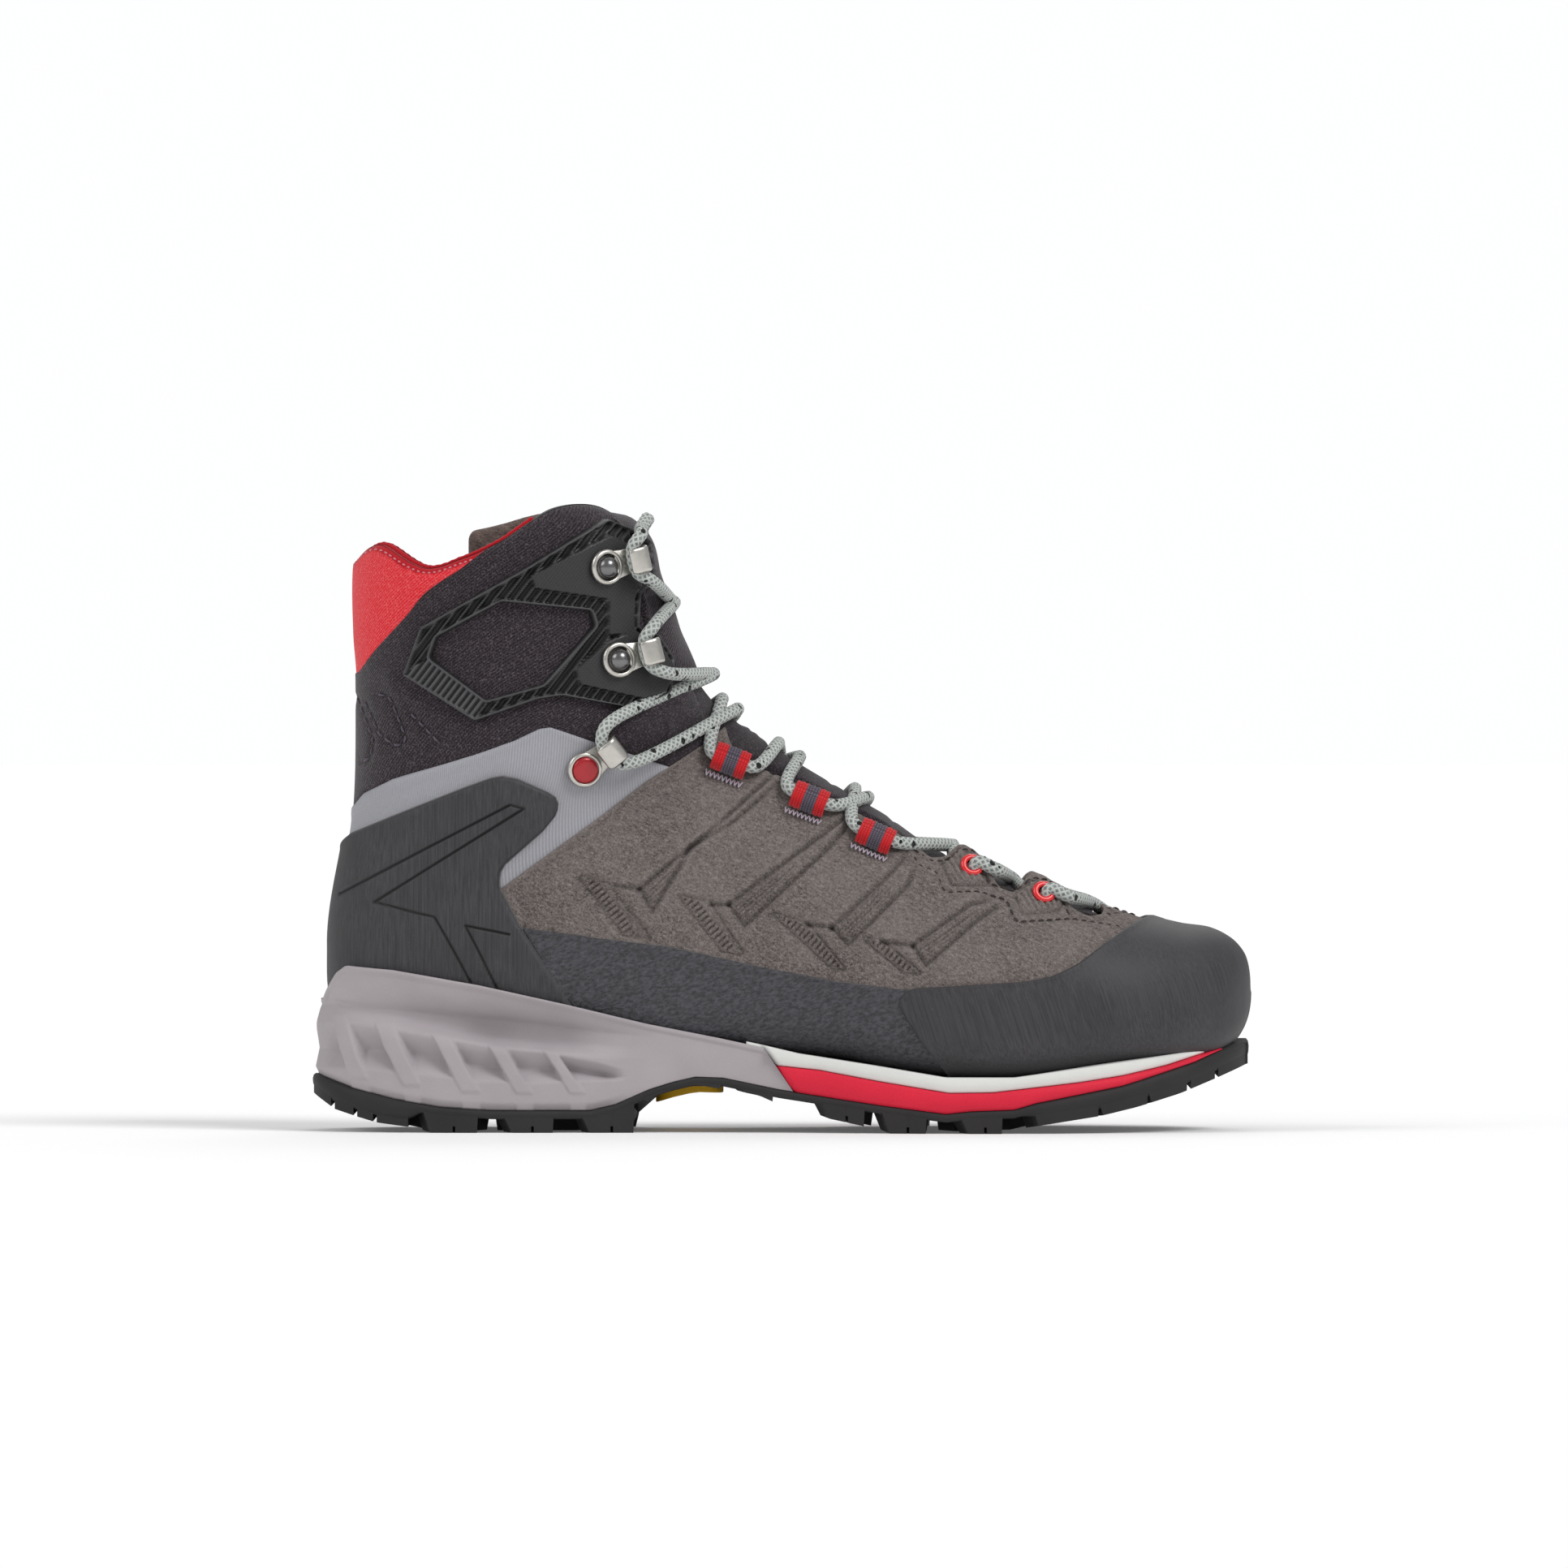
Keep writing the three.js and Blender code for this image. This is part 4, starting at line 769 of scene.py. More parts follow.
def lacquer(name, slot_name, colour, metal_share=0.25):
    n = Nodes(name, slot_name)
    spots = n.noise(n.mm, 1.3, 3, 0.6)
    base = n.mix(n.range(spots, 0.3, 0.7, 0, 0.3), lin(*colour), lin(*[int(c * 0.7) for c in colour]))
    return n.finish(base, 0.3, n.bump(spots, 0.03, 0.3), metal=metal_share, coat=0.4)


def thread(name, slot_name, colour):
    n = Nodes(name, slot_name)
    twist = n.noise(n.turn(n.mm, 35, (1.0, 6.0, 4.0)), 1.0, 2, 0.5)
    return n.finish(n.mix(twist, lin(*[int(c * 0.55) for c in colour]), lin(*colour)), 0.8, n.bump(twist, 0.08, 0.7), sheen=0.2, spec=0.2)


def braid_material():
    """u (x of the UV) runs along the lace in millimetres, v round it in turns."""
    n = Nodes("lace", "lace")
    along, turn, _ = n.split(n.uv)
    a = n.wave(n.math("ADD", n.math("MULTIPLY", turn, 12.0), along), 2.0)
    b = n.wave(n.math("SUBTRACT", n.math("MULTIPLY", turn, 12.0), along), 2.0)
    weave = n.math("MAXIMUM", a, b)
    cell = n.new("TexVoronoi", {"Vector": n.join(n.math("MULTIPLY", along, 0.42), n.math("MULTIPLY", turn, 4.0), 0.0), "Scale": 1.0, "Randomness": 0.9})
    pick = n.split(cell.outputs["Color"])[0]
    spot = n.math("MULTIPLY", n.math("GREATER_THAN", pick, 0.7), n.math("LESS_THAN", cell.outputs["Distance"], 0.36))
    grey = n.mix(n.range(weave, 0.3, 1.0), lin(112, 116, 114), lin(196, 200, 196))
    tint = n.mix(n.range(n.noise(n.mm, 0.8, 2), 0.4, 0.65, 0, 0.4), grey, lin(168, 176, 172))
    colour = n.mix(spot, tint, lin(24, 24, 26))
    return n.finish(colour, 0.85, n.bump(weave, 0.22, 0.9), sheen=0.2, spec=0.2)


def webbing_material():
    """The band's colour follows its width, held in the tone attribute."""
    n = Nodes("webbing", "webbing")
    tone = n.new("Attribute", attribute_name="tone").outputs["Fac"]
    x, y, _ = n.split(n.uv)
    weave = n.math("MULTIPLY", n.wave(x, 0.9), n.wave(y, 0.7))
    red = n.mix(weave, lin(168, 18, 26), lin(232, 40, 46))
    grey = n.mix(weave, lin(62, 56, 66), lin(112, 104, 118))
    return n.finish(n.mix(n.range(tone, 0.46, 0.54), grey, red), 0.85, n.bump(weave, 0.16, 0.9), sheen=0.2, spec=0.2)


def frame_material():
    n = Nodes("cuff_frame", "cuff_frame")
    lines = n.wave(n.split(n.turn(n.mm, 53, (1, 1, 1)))[1], 0.55)
    grain = n.noise(n.mm, 1.5, 3, 0.6)
    colour = n.mix(n.range(grain, 0.3, 0.7, 0, 0.5), lin(29, 29, 30), lin(41, 40, 42))
    # painted shade, nearly black, in the rib grooves and painted highlight on the crests and the lip, from the tone
    # attribute
    colour = shade(n, colour, (3, 3, 4), (104, 104, 106))
    return n.finish(colour, n.range(grain, 0.3, 0.7, 0.38, 0.5), n.bump(lines, 0.05, 0.4), spec=0.35)


MAT = {
    "suede": suede_material(),
    "collar_brown": suede_material("collar_brown", "collar_brown", (100, 86, 81), (140, 122, 116), (54, 43, 41)),
    "shell": shell_material(),
    "heel_rubber": brushed_rubber("heel_rubber", "rand_rubber", 90),
    "toe_rubber": brushed_rubber("toe_rubber", "rand_rubber", 108),
    "side_rand": pebbled_rubber(),
    "black": knit("stretch_black", "stretch_black", (22, 18, 21), (62, 54, 60), (120, 108, 116)),
    "red": knit("stretch_red", "stretch_red", (204, 26, 38), (250, 74, 80), (255, 140, 142), sheen=0.15, band=(176, 16, 30)),
    "lining": knit("lining", "lining", (24, 20, 22), (48, 42, 45), (70, 62, 66), period=0.9),
    "footbed": knit("footbed", "footbed", (44, 45, 50), (74, 76, 82), (96, 98, 104), period=1.4),
    "wedge": foam("heel_frame", "heel_frame", (172, 165, 168), (150, 143, 147)),
    "foam_red": foam("foam_red", "foam_red", (222, 34, 62), (196, 24, 50), 0.1),
    "foam_white": foam("foam_white", "foam_white", (222, 223, 219), (202, 203, 200)),
    "outsole": foam("outsole_rubber", "outsole_rubber", (38, 37, 38), (54, 52, 52), 0.15),
    "yellow": foam("arch_insert", "arch_insert", (226, 178, 30), (190, 140, 16)),
    "frame": frame_material(),
    "steel": metal("hook_steel", "hook_steel", (205, 202, 195), 0.32),
    "dome": metal("rivet_steel", "rivet_steel", (128, 127, 128), 0.26, False),
    "cap_red": lacquer("rivet_red", "rivet_red", (176, 22, 34)),
    "eyelet": lacquer("eyelet_red", "eyelet_red", (226, 30, 34), 0.05),
    "webbing": webbing_material(),
    "lace": braid_material(),
    "thread_dark": thread("thread_dark", "suede", (74, 62, 60)),
    "thread_pale": thread("thread_pale", "webbing", (204, 190, 204)),
    "thread_black": thread("thread_black", "stretch_black", (104, 94, 108)),
    "thread_pink": thread("thread_pink", "stretch_red", (246, 150, 160)),
    "board": foam("board", "board", (190, 180, 150), (160, 150, 122)),
    "shank": metal("steel_shank", "steel_shank", (140, 142, 145), 0.3),
    "stiffener": foam("stiffener", "stiffener", (52, 52, 55), (40, 40, 43)),
}


def own(obj, body, *nodes):
    """Rides on a body and stands for CAD nodes."""
    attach(obj, body)
    if nodes:
        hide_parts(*nodes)
    return obj


def bend(obj, start, end, *nodes):
    """Unparents the object, bakes its transform into its mesh and hides the given CAD nodes; start and end, (x, z) in
    millimetres, are not used.
    """
    obj.parent = None
    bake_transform(obj)
    if nodes:
        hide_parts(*nodes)
    return obj


# ------------------------------------------------------------------ outlines, side view (x, z)

SIDES = (("lateral", -1), ("medial", 1))
BACK, FRONT = Wrap(math.pi), Wrap(0.0)
MIDSOLE_TOP = [(-60, 54.5), (-45, 54.2), (-30, 52.5), (-2, 47.6), (27, 41.2), (52, 35.2), (76, 30.5), (90, 27.5), (101.5, 24.8),
               (128, 20.7), (149, 17.2), (171, 17.2), (199, 21.1), (228, 25.1), (238, 27.2), (247, 30.3), (252, 31.5)]
OUTSOLE_TOP = [(-60, 19.5), (-55, 18.2), (-44, 14.3), (-30, 10.7), (-15, 8.2), (2, 7.1), (34, 7.1), (42, 9), (53, 13.9), (61, 16.4),
               (68, 18), (77, 17.7), (95, 14), (112, 11.4), (128, 9), (142, 7.2), (149, 6.3), (157, 7.2), (171, 7.7), (178, 9.8),
               (206, 15.3), (230, 22.5), (238, 26), (247, 29.6), (252, 30)]
TREAD = [(-60, 14), (-56.3, 12.4), (-49, 7.4), (-41, 4.9), (-35, 3.2), (-25, 1.9), (-19, 0), (48.4, 0), (50, 9), (56, 12.6), (68, 15.6),
         (88, 12.4), (98, 8), (111, 4.8), (126, 1.6), (130.6, 0), (168, 0), (179, 2.6), (199, 5.7), (211, 8.5), (225, 12.7),
         (237, 17.4), (247, 21.4), (252, 23)]
FOAM_LINE = [(88, 22.4), (94, 21.8), (108, 20.4), (128, 16.7), (150, 13.1), (164, 13.3), (192, 16.5), (206, 18.6), (221, 21.8), (233, 25.3), (240, 27.4)]


def line_at(line, x):
    line = np.asarray(line, float)
    return np.interp(x, line[:, 0], line[:, 1])


def flats(chart, points, side):
    """An open side view line laid on the last, in chart coordinates."""
    return chart.flat(on_side(resample(points, 2.0, closed=False), side))


def loop_flats(chart, points, side):
    """The same for a closed line."""
    return chart.flat(on_side(resample(points, 2.0), side))


def halves(x, z, side):
    """Half width of the last at side view points, 0 outside its outline."""
    x, z = np.asarray(x, float), np.asarray(z, float)
    away = (_C[None, ::4, 0] - _C[None, ::4, 2]) * (z[:, None] - _C[None, ::4, 3]) \
        - (_C[None, ::4, 1] - _C[None, ::4, 3]) * (x[:, None] - _C[None, ::4, 2])
    cross = away[:, :-1] * away[:, 1:] <= 0
    i = cross.argmax(1)
    rows = np.arange(len(x))
    f = away[rows, i] / (away[rows, i] - away[rows, i + 1] + 1e-12)
    c = section(_S[::4][i] + (_S[4] - _S[0]) * f)
    span = (c[:, 0] - c[:, 2]) ** 2 + (c[:, 1] - c[:, 3]) ** 2
    share = ((x - c[:, 2]) * (c[:, 0] - c[:, 2]) + (z - c[:, 3]) * (c[:, 1] - c[:, 3])) / span
    n = np.where(share >= c[:, 6], c[:, 7], c[:, 8])
    v = np.where(share >= c[:, 6], (share - c[:, 6]) / (1 - c[:, 6]), (c[:, 6] - share) / c[:, 6])
    wide = np.where(side > 0, c[:, 5], c[:, 4]) * (1 - np.clip(v, 0, 1) ** n) ** (1 / n)
    return np.where(cross.any(1) & (v <= 1), wide, 0.0)


# ------------------------------------------------------------------ soft parts: cloth simulation on coarse bodies

def inflate(name, verts, faces, pinned, pressure, cap):
    """Cloth with inner air pressure, 20 frames. Returns how each vertex moved, at most cap millimetres."""
    verts = np.asarray(verts, float)
    obj = mesh_object(name, verts, faces, MAT["black"])
    group = obj.vertex_groups.new(name="pin")
    for i, w in enumerate(pinned):
        if w > 0.01:
            group.add([i], float(w), "REPLACE")
    cloth = obj.modifiers.new("cloth", "CLOTH")
    cloth.settings.quality = 6
    cloth.settings.mass = 0.15
    cloth.settings.tension_stiffness = 12
    cloth.settings.compression_stiffness = 8
    cloth.settings.shear_stiffness = 6
    cloth.settings.bending_stiffness = 1.5
    cloth.settings.air_damping = 3
    cloth.settings.vertex_group_mass = "pin"
    cloth.settings.use_pressure = True
    cloth.settings.uniform_pressure_force = pressure
    cloth.settings.effector_weights.gravity = 0
    cloth.collision_settings.use_collision = False
    scene = bpy.context.scene
    for f in range(1, 21):
        scene.frame_set(f)
    graph = bpy.context.evaluated_depsgraph_get()
    result = np.array([tuple(v.co) for v in obj.evaluated_get(graph).data.vertices]) / MM
    bpy.data.objects.remove(obj)
    scene.frame_set(1)
    move = result - verts
    far = np.linalg.norm(move, axis=1)[:, None] + 1e-9
    return move / far * (cap * np.tanh(far / cap))


def carry(sources, moves):
    """A function that moves points by the simulated movement of the places round them."""
    tree = KDTree(len(sources))
    for i, p in enumerate(sources):
        tree.insert(p, i)
    tree.balance()

    def apply(verts):
        out = np.array(verts, float)
        for k, p in enumerate(verts):
            near = tree.find_n(p, 6)
            w = np.array([1 / (d + 1.0) ** 2 for _, _, d in near])
            out[k] += (w[:, None] * moves[[i for _, i, _ in near]]).sum(0) / w.sum()
        return out

    return apply


FRAME = [(-26.2, 148), (-20.6, 163.6), (13.8, 183.4), (38.3, 198.9), (47.8, 195.1), (52.6, 191.6), (54, 178), (49.4, 174.3), (49, 163.6),
         (55, 161.5), (60.2, 153.5), (59.4, 142.5), (49.5, 137.4), (45, 137.6), (24.7, 141.4), (17, 140.2), (-3.3, 133)]
WINDOW = [(-17.6, 153.6), (-15.3, 160.3), (5.4, 171.8), (33.6, 168.9), (35.0, 164.2), (18.5, 145.2), (0.5, 140.1)]
PLATES = [[(14.2, 180.3), (39.4, 193.8), (51.4, 187.6), (47.2, 172.1), (38.6, 172.5), (16.1, 176)],
          [(38.8, 174), (47.4, 174), (47.4, 161), (38.8, 161)],
          [(28.5, 150), (39.4, 159.7), (47.2, 162.8), (54.9, 159.7), (60.4, 150), (57.5, 142.6), (50.3, 140.3), (43.3, 141.9), (30.1, 145)]]
COLLAR_BACK = catmull([(-46, 184), (-43.4, 186.4), (-41.5, 188.4), (-39, 189.9), (-36.6, 190.4), (-34.1, 189.7), (-30, 187.1),
                       (-25.8, 184.6), (-20.8, 182.8), (-15.9, 183.1), (-9.3, 185.4), (-4.3, 187.1), (1.1, 189.4)], 4)
COLLAR_FRONT = catmull([(1.1, 189.4), (6, 191.8), (13, 196.2), (20.5, 200.7), (25.5, 202.6), (32.9, 203.6), (38.7, 202.8),
                        (43.7, 200.3), (47.4, 197.9)], 4)
COLLAR = np.vstack([COLLAR_BACK, COLLAR_FRONT[1:]])
RED_EDGE = catmull([(1.1, 189.4), (-4.5, 185.4), (-9.3, 182.1), (-15.1, 178.6), (-20.9, 174.2), (-25.8, 168), (-31.6, 161.8),
                    (-37.4, 155.6), (-42.4, 149)], 4)
SHELL_TOP = [(-45.5, 102.4), (-43.6, 106.3), (-40.7, 109.7), (-31, 114.4), (-4, 122.5), (9.3, 127.2), (17.4, 131.1), (21.4, 131.6),
             (25.4, 130.3), (35, 127), (61.2, 119.5)]
CUFF_HALF = 11.5  # half width between the front edges of the cuff
# the lower edge of the cuff fabric, hidden under the shell and the suede
CUFF_LOW = [(72, 124), (61, 116), (47, 119), (35, 122.5), (25, 126), (19, 127), (9, 123), (-4, 118), (-31, 109.5), (-41, 104.5), (-45.2, 98)]


def front_edge(side, from_z, to, half=CUFF_HALF):
    """The line at a fixed distance from the middle, from a height on the shaft down to a side view point."""
    s = np.linspace(on_side([(20, from_z)], -1)[0][0], on_side([to], -1)[0][0], 14)
    c = section(s)
    v = half / np.where(side > 0, c[:, 5], c[:, 4])
    return np.stack([s, side * np.arctan2(v, (1 - v ** c[:, 7]) ** (1 / c[:, 7]))], 1)


def cuff_bodies():
    """The padded cuff as a coarse closed body: outside, rolled edge and inside; seams and frame hold it."""
    rows, cols = 26, 44
    s = np.linspace(STATION[0] + 6, on_side([(20, 112)], -1)[0][0], rows)
    gap = 0.62
    t = np.linspace(gap, 2 * math.pi - gap, cols)
    S, T = np.meshgrid(s, t, indexing="ij")
    outside = last_point(S, T, -0.7).reshape(-1, 3)
    inner = last_point(S, T, -8.0).reshape(-1, 3)
    verts = np.vstack([outside, inner])
    n = rows * cols
    faces = grid_faces(rows, cols) + [tuple(n + i for i in f[::-1]) for f in grid_faces(rows, cols)]
    border = [i for i in range(cols)] + [i * cols + cols - 1 for i in range(1, rows)] \
        + [(rows - 1) * cols + i for i in range(cols - 2, -1, -1)] + [i * cols for i in range(rows - 2, 0, -1)]
    faces += [(border[(k + 1) % len(border)], b, n + b, n + border[(k + 1) % len(border)]) for k, b in enumerate(border)]
    xz = verts[:, [0, 2]]
    hold = np.zeros(len(verts))
    seams = [FRAME + FRAME[:1], WINDOW + WINDOW[:1], RED_EDGE, SHELL_TOP]
    for line in seams:
        d, _ = segment_distance(xz[:n], line)
        hold[:n] = np.maximum(hold[:n], 1 - smooth(1.5, 5.0, d))
    ring = inside(xz[:n], FRAME) & ~inside(xz[:n], WINDOW)
    hold[:n] = np.where(ring, 1, hold[:n])
    low = np.interp(xz[:, 0], [p[0] for p in SHELL_TOP], [p[1] for p in SHELL_TOP])
    hold = np.where(xz[:, 1] < low, 1, hold)
    quilt = segment_distance(xz[n:], [(-60, 150), (80, 158)])[0]
    hold[n:] = np.maximum(hold[n:], 0.6 * (1 - smooth(1, 5, quilt)))
    ordered = outward(outside, [f[:3] for f in faces[:1]], np.array([5, 0, 160.0]))
    if not np.array_equal(ordered, np.array([f[:3] for f in faces[:1]])):
        faces = [f[::-1] for f in faces]
    move = inflate("cuff_body", verts, faces, hold, 4.0, 2.6)
    return carry(outside, move[:n]), carry(inner, move[n:])


puff_out, puff_in = cuff_bodies()

# ------------------------------------------------------------------ upper: cuff

COARSE = 1.0


def waves(value, period, sharp=1.0):
    return np.abs(np.sin(np.pi * value / period)) ** sharp


def creases(xz, flat):
    """Soft wrinkles of worn stretch fabric."""
    p, q = flat[:, 0], flat[:, 1]
    broad = 0.35 * np.sin(p / 9 + 1.7 * np.sin(q / 23)) + 0.25 * np.sin(q / 13 + p / 31)
    bend_zone = np.exp(-((xz[:, 1] - 128) / 12) ** 2)
    folds = -0.7 * bend_zone * np.maximum(0, np.sin(xz[:, 1] / 2.3 + 0.06 * q)) ** 3
    return broad * 0.5 + folds * smooth(10, 26, xz[:, 0])


def quilt_lines():
    first = [(-43.2, 141.1), (-37.4, 127.2), (-38.5, 120.9), (-42, 119.4)]
    second = [(-40.5, 139.6), (-35.4, 128.7), (-29.6, 124.8), (-26.1, 126.8), (-31.9, 141.1), (-36.2, 141.9)]
    third = [(-24.9, 135.7), (-14.9, 125.6)]
    return [fillet(line, 2.0, closed=False) for line in (first, second, third)]


QUILT = quilt_lines()


def roll(flat, lines, width=3.4, drop=2.7):
    """The padded edge turns down towards the inside along the given lines."""
    d = np.minimum.reduce([segment_distance(flat, line)[0] for line in lines])
    return -drop * (1 - np.sqrt(1 - (1 - np.clip(d / width, 0, 1)) ** 2))


def cuff_relief(xz, flat, side, gap):
    h = creases(xz, flat)
    for line in QUILT:
        d, _ = segment_distance(xz, line)
        h = h - 0.55 * np.exp(-(d / 0.9) ** 2)
    below_frame = segment_distance(xz, FRAME, True)[0] * ~inside(xz, FRAME)
    h = h + 0.9 * np.exp(-((below_frame - 5) / 3.2) ** 2) * (xz[:, 1] < 150)
    under_shell = np.interp(xz[:, 0], [p[0] for p in SHELL_TOP], [p[1] for p in SHELL_TOP]) - xz[:, 1]
    h = h - 1.4 * smooth(-0.5, 2.0, under_shell)
    return h + roll(flat, [collar_front_l, front_l, collar_front_m, front_m])


def red_relief(xz, flat, side, gap):
    h = 0.25 * np.sin(flat[:, 0] / 7) * np.sin(flat[:, 1] / 11 + 1)
    collar_back = np.vstack([collar_back_m[::-1], collar_back_l])
    binding = 1 - smooth(1.7, 2.2, segment_distance(flat, collar_back)[0])
    h = h + roll(flat, [collar_back]) + 0.25 * binding
    return h, -binding


def off_centre(line):
    """The line without the points that fell on the chart's centre line, where the two halves meet."""
    return line[np.abs(line[:, 1]) > 0.4]


front_l, front_m = BACK.flat(front_edge(-1, 197, (70, 130))), BACK.flat(front_edge(1, 197, (70, 130)))
collar_l, collar_m = off_centre(flats(BACK, COLLAR, -1)), off_centre(flats(BACK, COLLAR, 1))
collar_front_l, collar_front_m = flats(BACK, COLLAR_FRONT, -1), flats(BACK, COLLAR_FRONT, 1)
collar_back_l, collar_back_m = off_centre(flats(BACK, COLLAR_BACK, -1)), off_centre(flats(BACK, COLLAR_BACK, 1))
low_l, low_m = flats(BACK, CUFF_LOW, -1), flats(BACK, CUFF_LOW, 1)
red_l, red_m = flats(BACK, RED_EDGE, -1), flats(BACK, RED_EDGE, 1)
back_low = flats(BACK, [(-47, 149)], -1) * [1, 0]


def ring_of(*lines):
    pts = np.vstack(lines)
    keep = np.concatenate([[True], np.linalg.norm(np.diff(pts, axis=0), axis=1) > 0.3])
    pts = pts[keep]
    return pts[:-1] if np.linalg.norm(pts[0] - pts[-1]) < 0.3 else pts


cuff_outline = ring_of(red_l[::-1], collar_front_l[1:], front_l, low_l, low_m[::-1], front_m[::-1], collar_front_m[::-1], red_m[1:], back_low)
cuff = panel("cuff_fabric", BACK, cuff_outline, MAT["black"], spacing=1.3 * COARSE, base=-1.5, thick=0.8, edge=0.6,
             relief=cuff_relief, skirt=0.8, shape=puff_out,
             near=lambda xz, flat, side: np.minimum.reduce([segment_distance(xz, line)[0] for line in QUILT]), fine=0.75 * COARSE)
bend(cuff, (10.6, 108), (10.6, 132), "cuff_shell", "cuff_foam")

red_outline = ring_of(red_l + [0.35, 0.3], back_low + [0.4, 0], red_m[::-1] + [0.35, -0.3], collar_back_m[:-1][::-1], collar_back_l[:-1])
red = panel("rear_panel", BACK, red_outline, MAT["red"], spacing=1.0 * COARSE, base=-1.45, thick=0.8, edge=0.6,
            skirt=0.8, relief=red_relief, shape=puff_out)
own(red, "cuff", "rear_stretch_panel")

lining_outline = ring_of(collar_l, front_l, flats(BACK, [(60, 112), (35, 108), (0, 104), (-42, 99)], -1),
                         flats(BACK, [(60, 112), (35, 108), (0, 104), (-42, 99)], 1)[::-1], front_m[::-1], collar_m[::-1])
inner_lining = panel("cuff_lining_fabric", BACK, lining_outline, MAT["lining"], spacing=2.2 * COARSE, base=-4.4, thick=-3.9, edge=3.4,
                     skirt=-0.4, relief=lambda xz, flat, side, gap: 0.5 * np.exp(-((xz[:, 1] - 176) / 1.2) ** 2) + 0.3 * np.sin(flat[:, 1] / 9),
                     shape=puff_in)
bend(inner_lining, (10.6, 106), (10.6, 126), "cuff_lining")



def collar_piping():
    """A thin red binding where the outer fabric meets the lining round the back of the collar."""
    edge = catmull(np.vstack([COLLAR_BACK, COLLAR_FRONT[1:13]])[1::3], 6)
    halves_ = [on_side(edge, side) for side in (-1, 1)]
    line = np.vstack([last_point(st[:, 0], st[:, 1], -4.3) for st in (halves_[0][::-1], halves_[1])])
    line = even(puff_out(line), 0.8)
    verts, faces = tube(line, 0.95 + 0.1 * np.sin(np.arange(len(line)) * 1.9), 10)
    uv = np.column_stack([np.repeat(np.arange(len(line)) * 0.8, 10), np.tile(np.arange(10) * 0.6, len(line))]) * 0.01
    return mesh_object("collar_binding", verts, faces, MAT["red"], uv, colour=np.full(len(verts), -1.0))


own(collar_piping(), "cuff")

PAD = [(-7.8, 168), (-7.7, 193.2), (-6, 195.4), (1, 196.6), (7.5, 198), (14, 199.6), (21, 201), (24, 199), (24, 172)]
pad = panel("collar_brown_pad", Wrap(math.pi / 2), loop_flats(Wrap(math.pi / 2), fillet(PAD, 1.5), 1), MAT["collar_brown"], spacing=0.9 * COARSE,
            base=-8.2, thick=-3.2, edge=3.0, skirt=-3.0,
            relief=lambda xz, flat, side, gap: 0.35 * np.sin(flat[:, 0] * 0.9 + np.sin(flat[:, 1])) * np.sin(flat[:, 1] * 0.8))
own(pad, "cuff", "collar_pad")

# moulded frame with its ribs, plates and window


LOW_BAND = [(-27.5, 147.5), (-17.9, 153.9), (0.3, 140.2), (-3.6, 131.5)]  # closely ribbed band at the frame's lower rear
RIB_ANGLE = math.radians(53)


def frame_relief(xz, flat, side, gap):
    plate = np.zeros(len(xz))
    for line in PLATES:
        d, _ = segment_distance(xz, line, True)
        plate = np.maximum(plate, np.where(inside(xz, line), smooth(-0.2, 0.5, d), 0))
    rise = xz[:, 0] * math.sin(RIB_ANGLE) - xz[:, 1] * math.cos(RIB_ANGLE)
    band = np.where(inside(xz, LOW_BAND), waves(rise, 1.95, 0.7), 1 - waves(rise, 2.6, 0.8))
    fine = waves(rise, 0.9)
    rim = smooth(0.9, 1.25, gap)
    lip = 0.35 * np.exp(-((gap - 0.6) / 0.35) ** 2)
    h = (1 - plate) * (rim * (band - 1) * 1.45 + lip) + plate * (0.55 + 0.16 * fine)
    # tone: painted highlight on the rib crests, the edge lip and the plates' fine ribs, painted shade in the rib
    # grooves
    tone = (1 - plate) * (rim * (band * 1.9 - 1.1) + 0.55 * (1 - rim) * smooth(0.1, 0.4, gap)) + plate * 0.3 * fine
    return h, np.clip(tone, -1, 1)


for label, side in SIDES:
    chart = Wrap(side * math.pi / 2)
    outline = loop_flats(chart, fillet(FRAME, 1.0), side)
    hole = loop_flats(chart, fillet(WINDOW, 1.0), side)
    piece = panel(f"cuff_frame_{label}_moulded", chart, outline, MAT["frame"], spacing=0.46 * COARSE, base=-0.6, thick=2.0, edge=0.5,
                  holes=[hole], relief=frame_relief, skirt=1.6)
    own(piece, "cuff", f"cuff_frame_{label}")

# ------------------------------------------------------------------ upper: shell, suede, rands

SHELL_LOW = [(62.5, 115.5), (56, 109.5), (40, 97.5), (16, 79.5), (9, 74), (1, 79), (1.2, 83), (14.5, 98.5), (18.5, 104), (17.5, 106), (5, 110.5),
             (-7, 107.3), (-30, 97.8), (-42, 92), (-47, 91)]
shell_edge = [(63.5, 117.8)] + SHELL_TOP[:-1][::-1]
shell_outline = ring_of(off_centre(flats(BACK, shell_edge, -1)), off_centre(flats(BACK, shell_edge, 1))[::-1], flats(BACK, SHELL_LOW, 1), flats(BACK, SHELL_LOW, -1)[::-1])
shell = panel("ankle_shell_fabric", BACK, shell_outline, MAT["shell"], spacing=1.1 * COARSE, base=-2.35, thick=1.75, edge=0.9, skirt=1.4,
              relief=lambda xz, flat, side, gap: 0.35 * np.exp(-((gap - 1.4) / 1.0) ** 2) + 0.25 * np.sin(flat[:, 1] / 15))
own(shell, "foot", "ankle_shell")

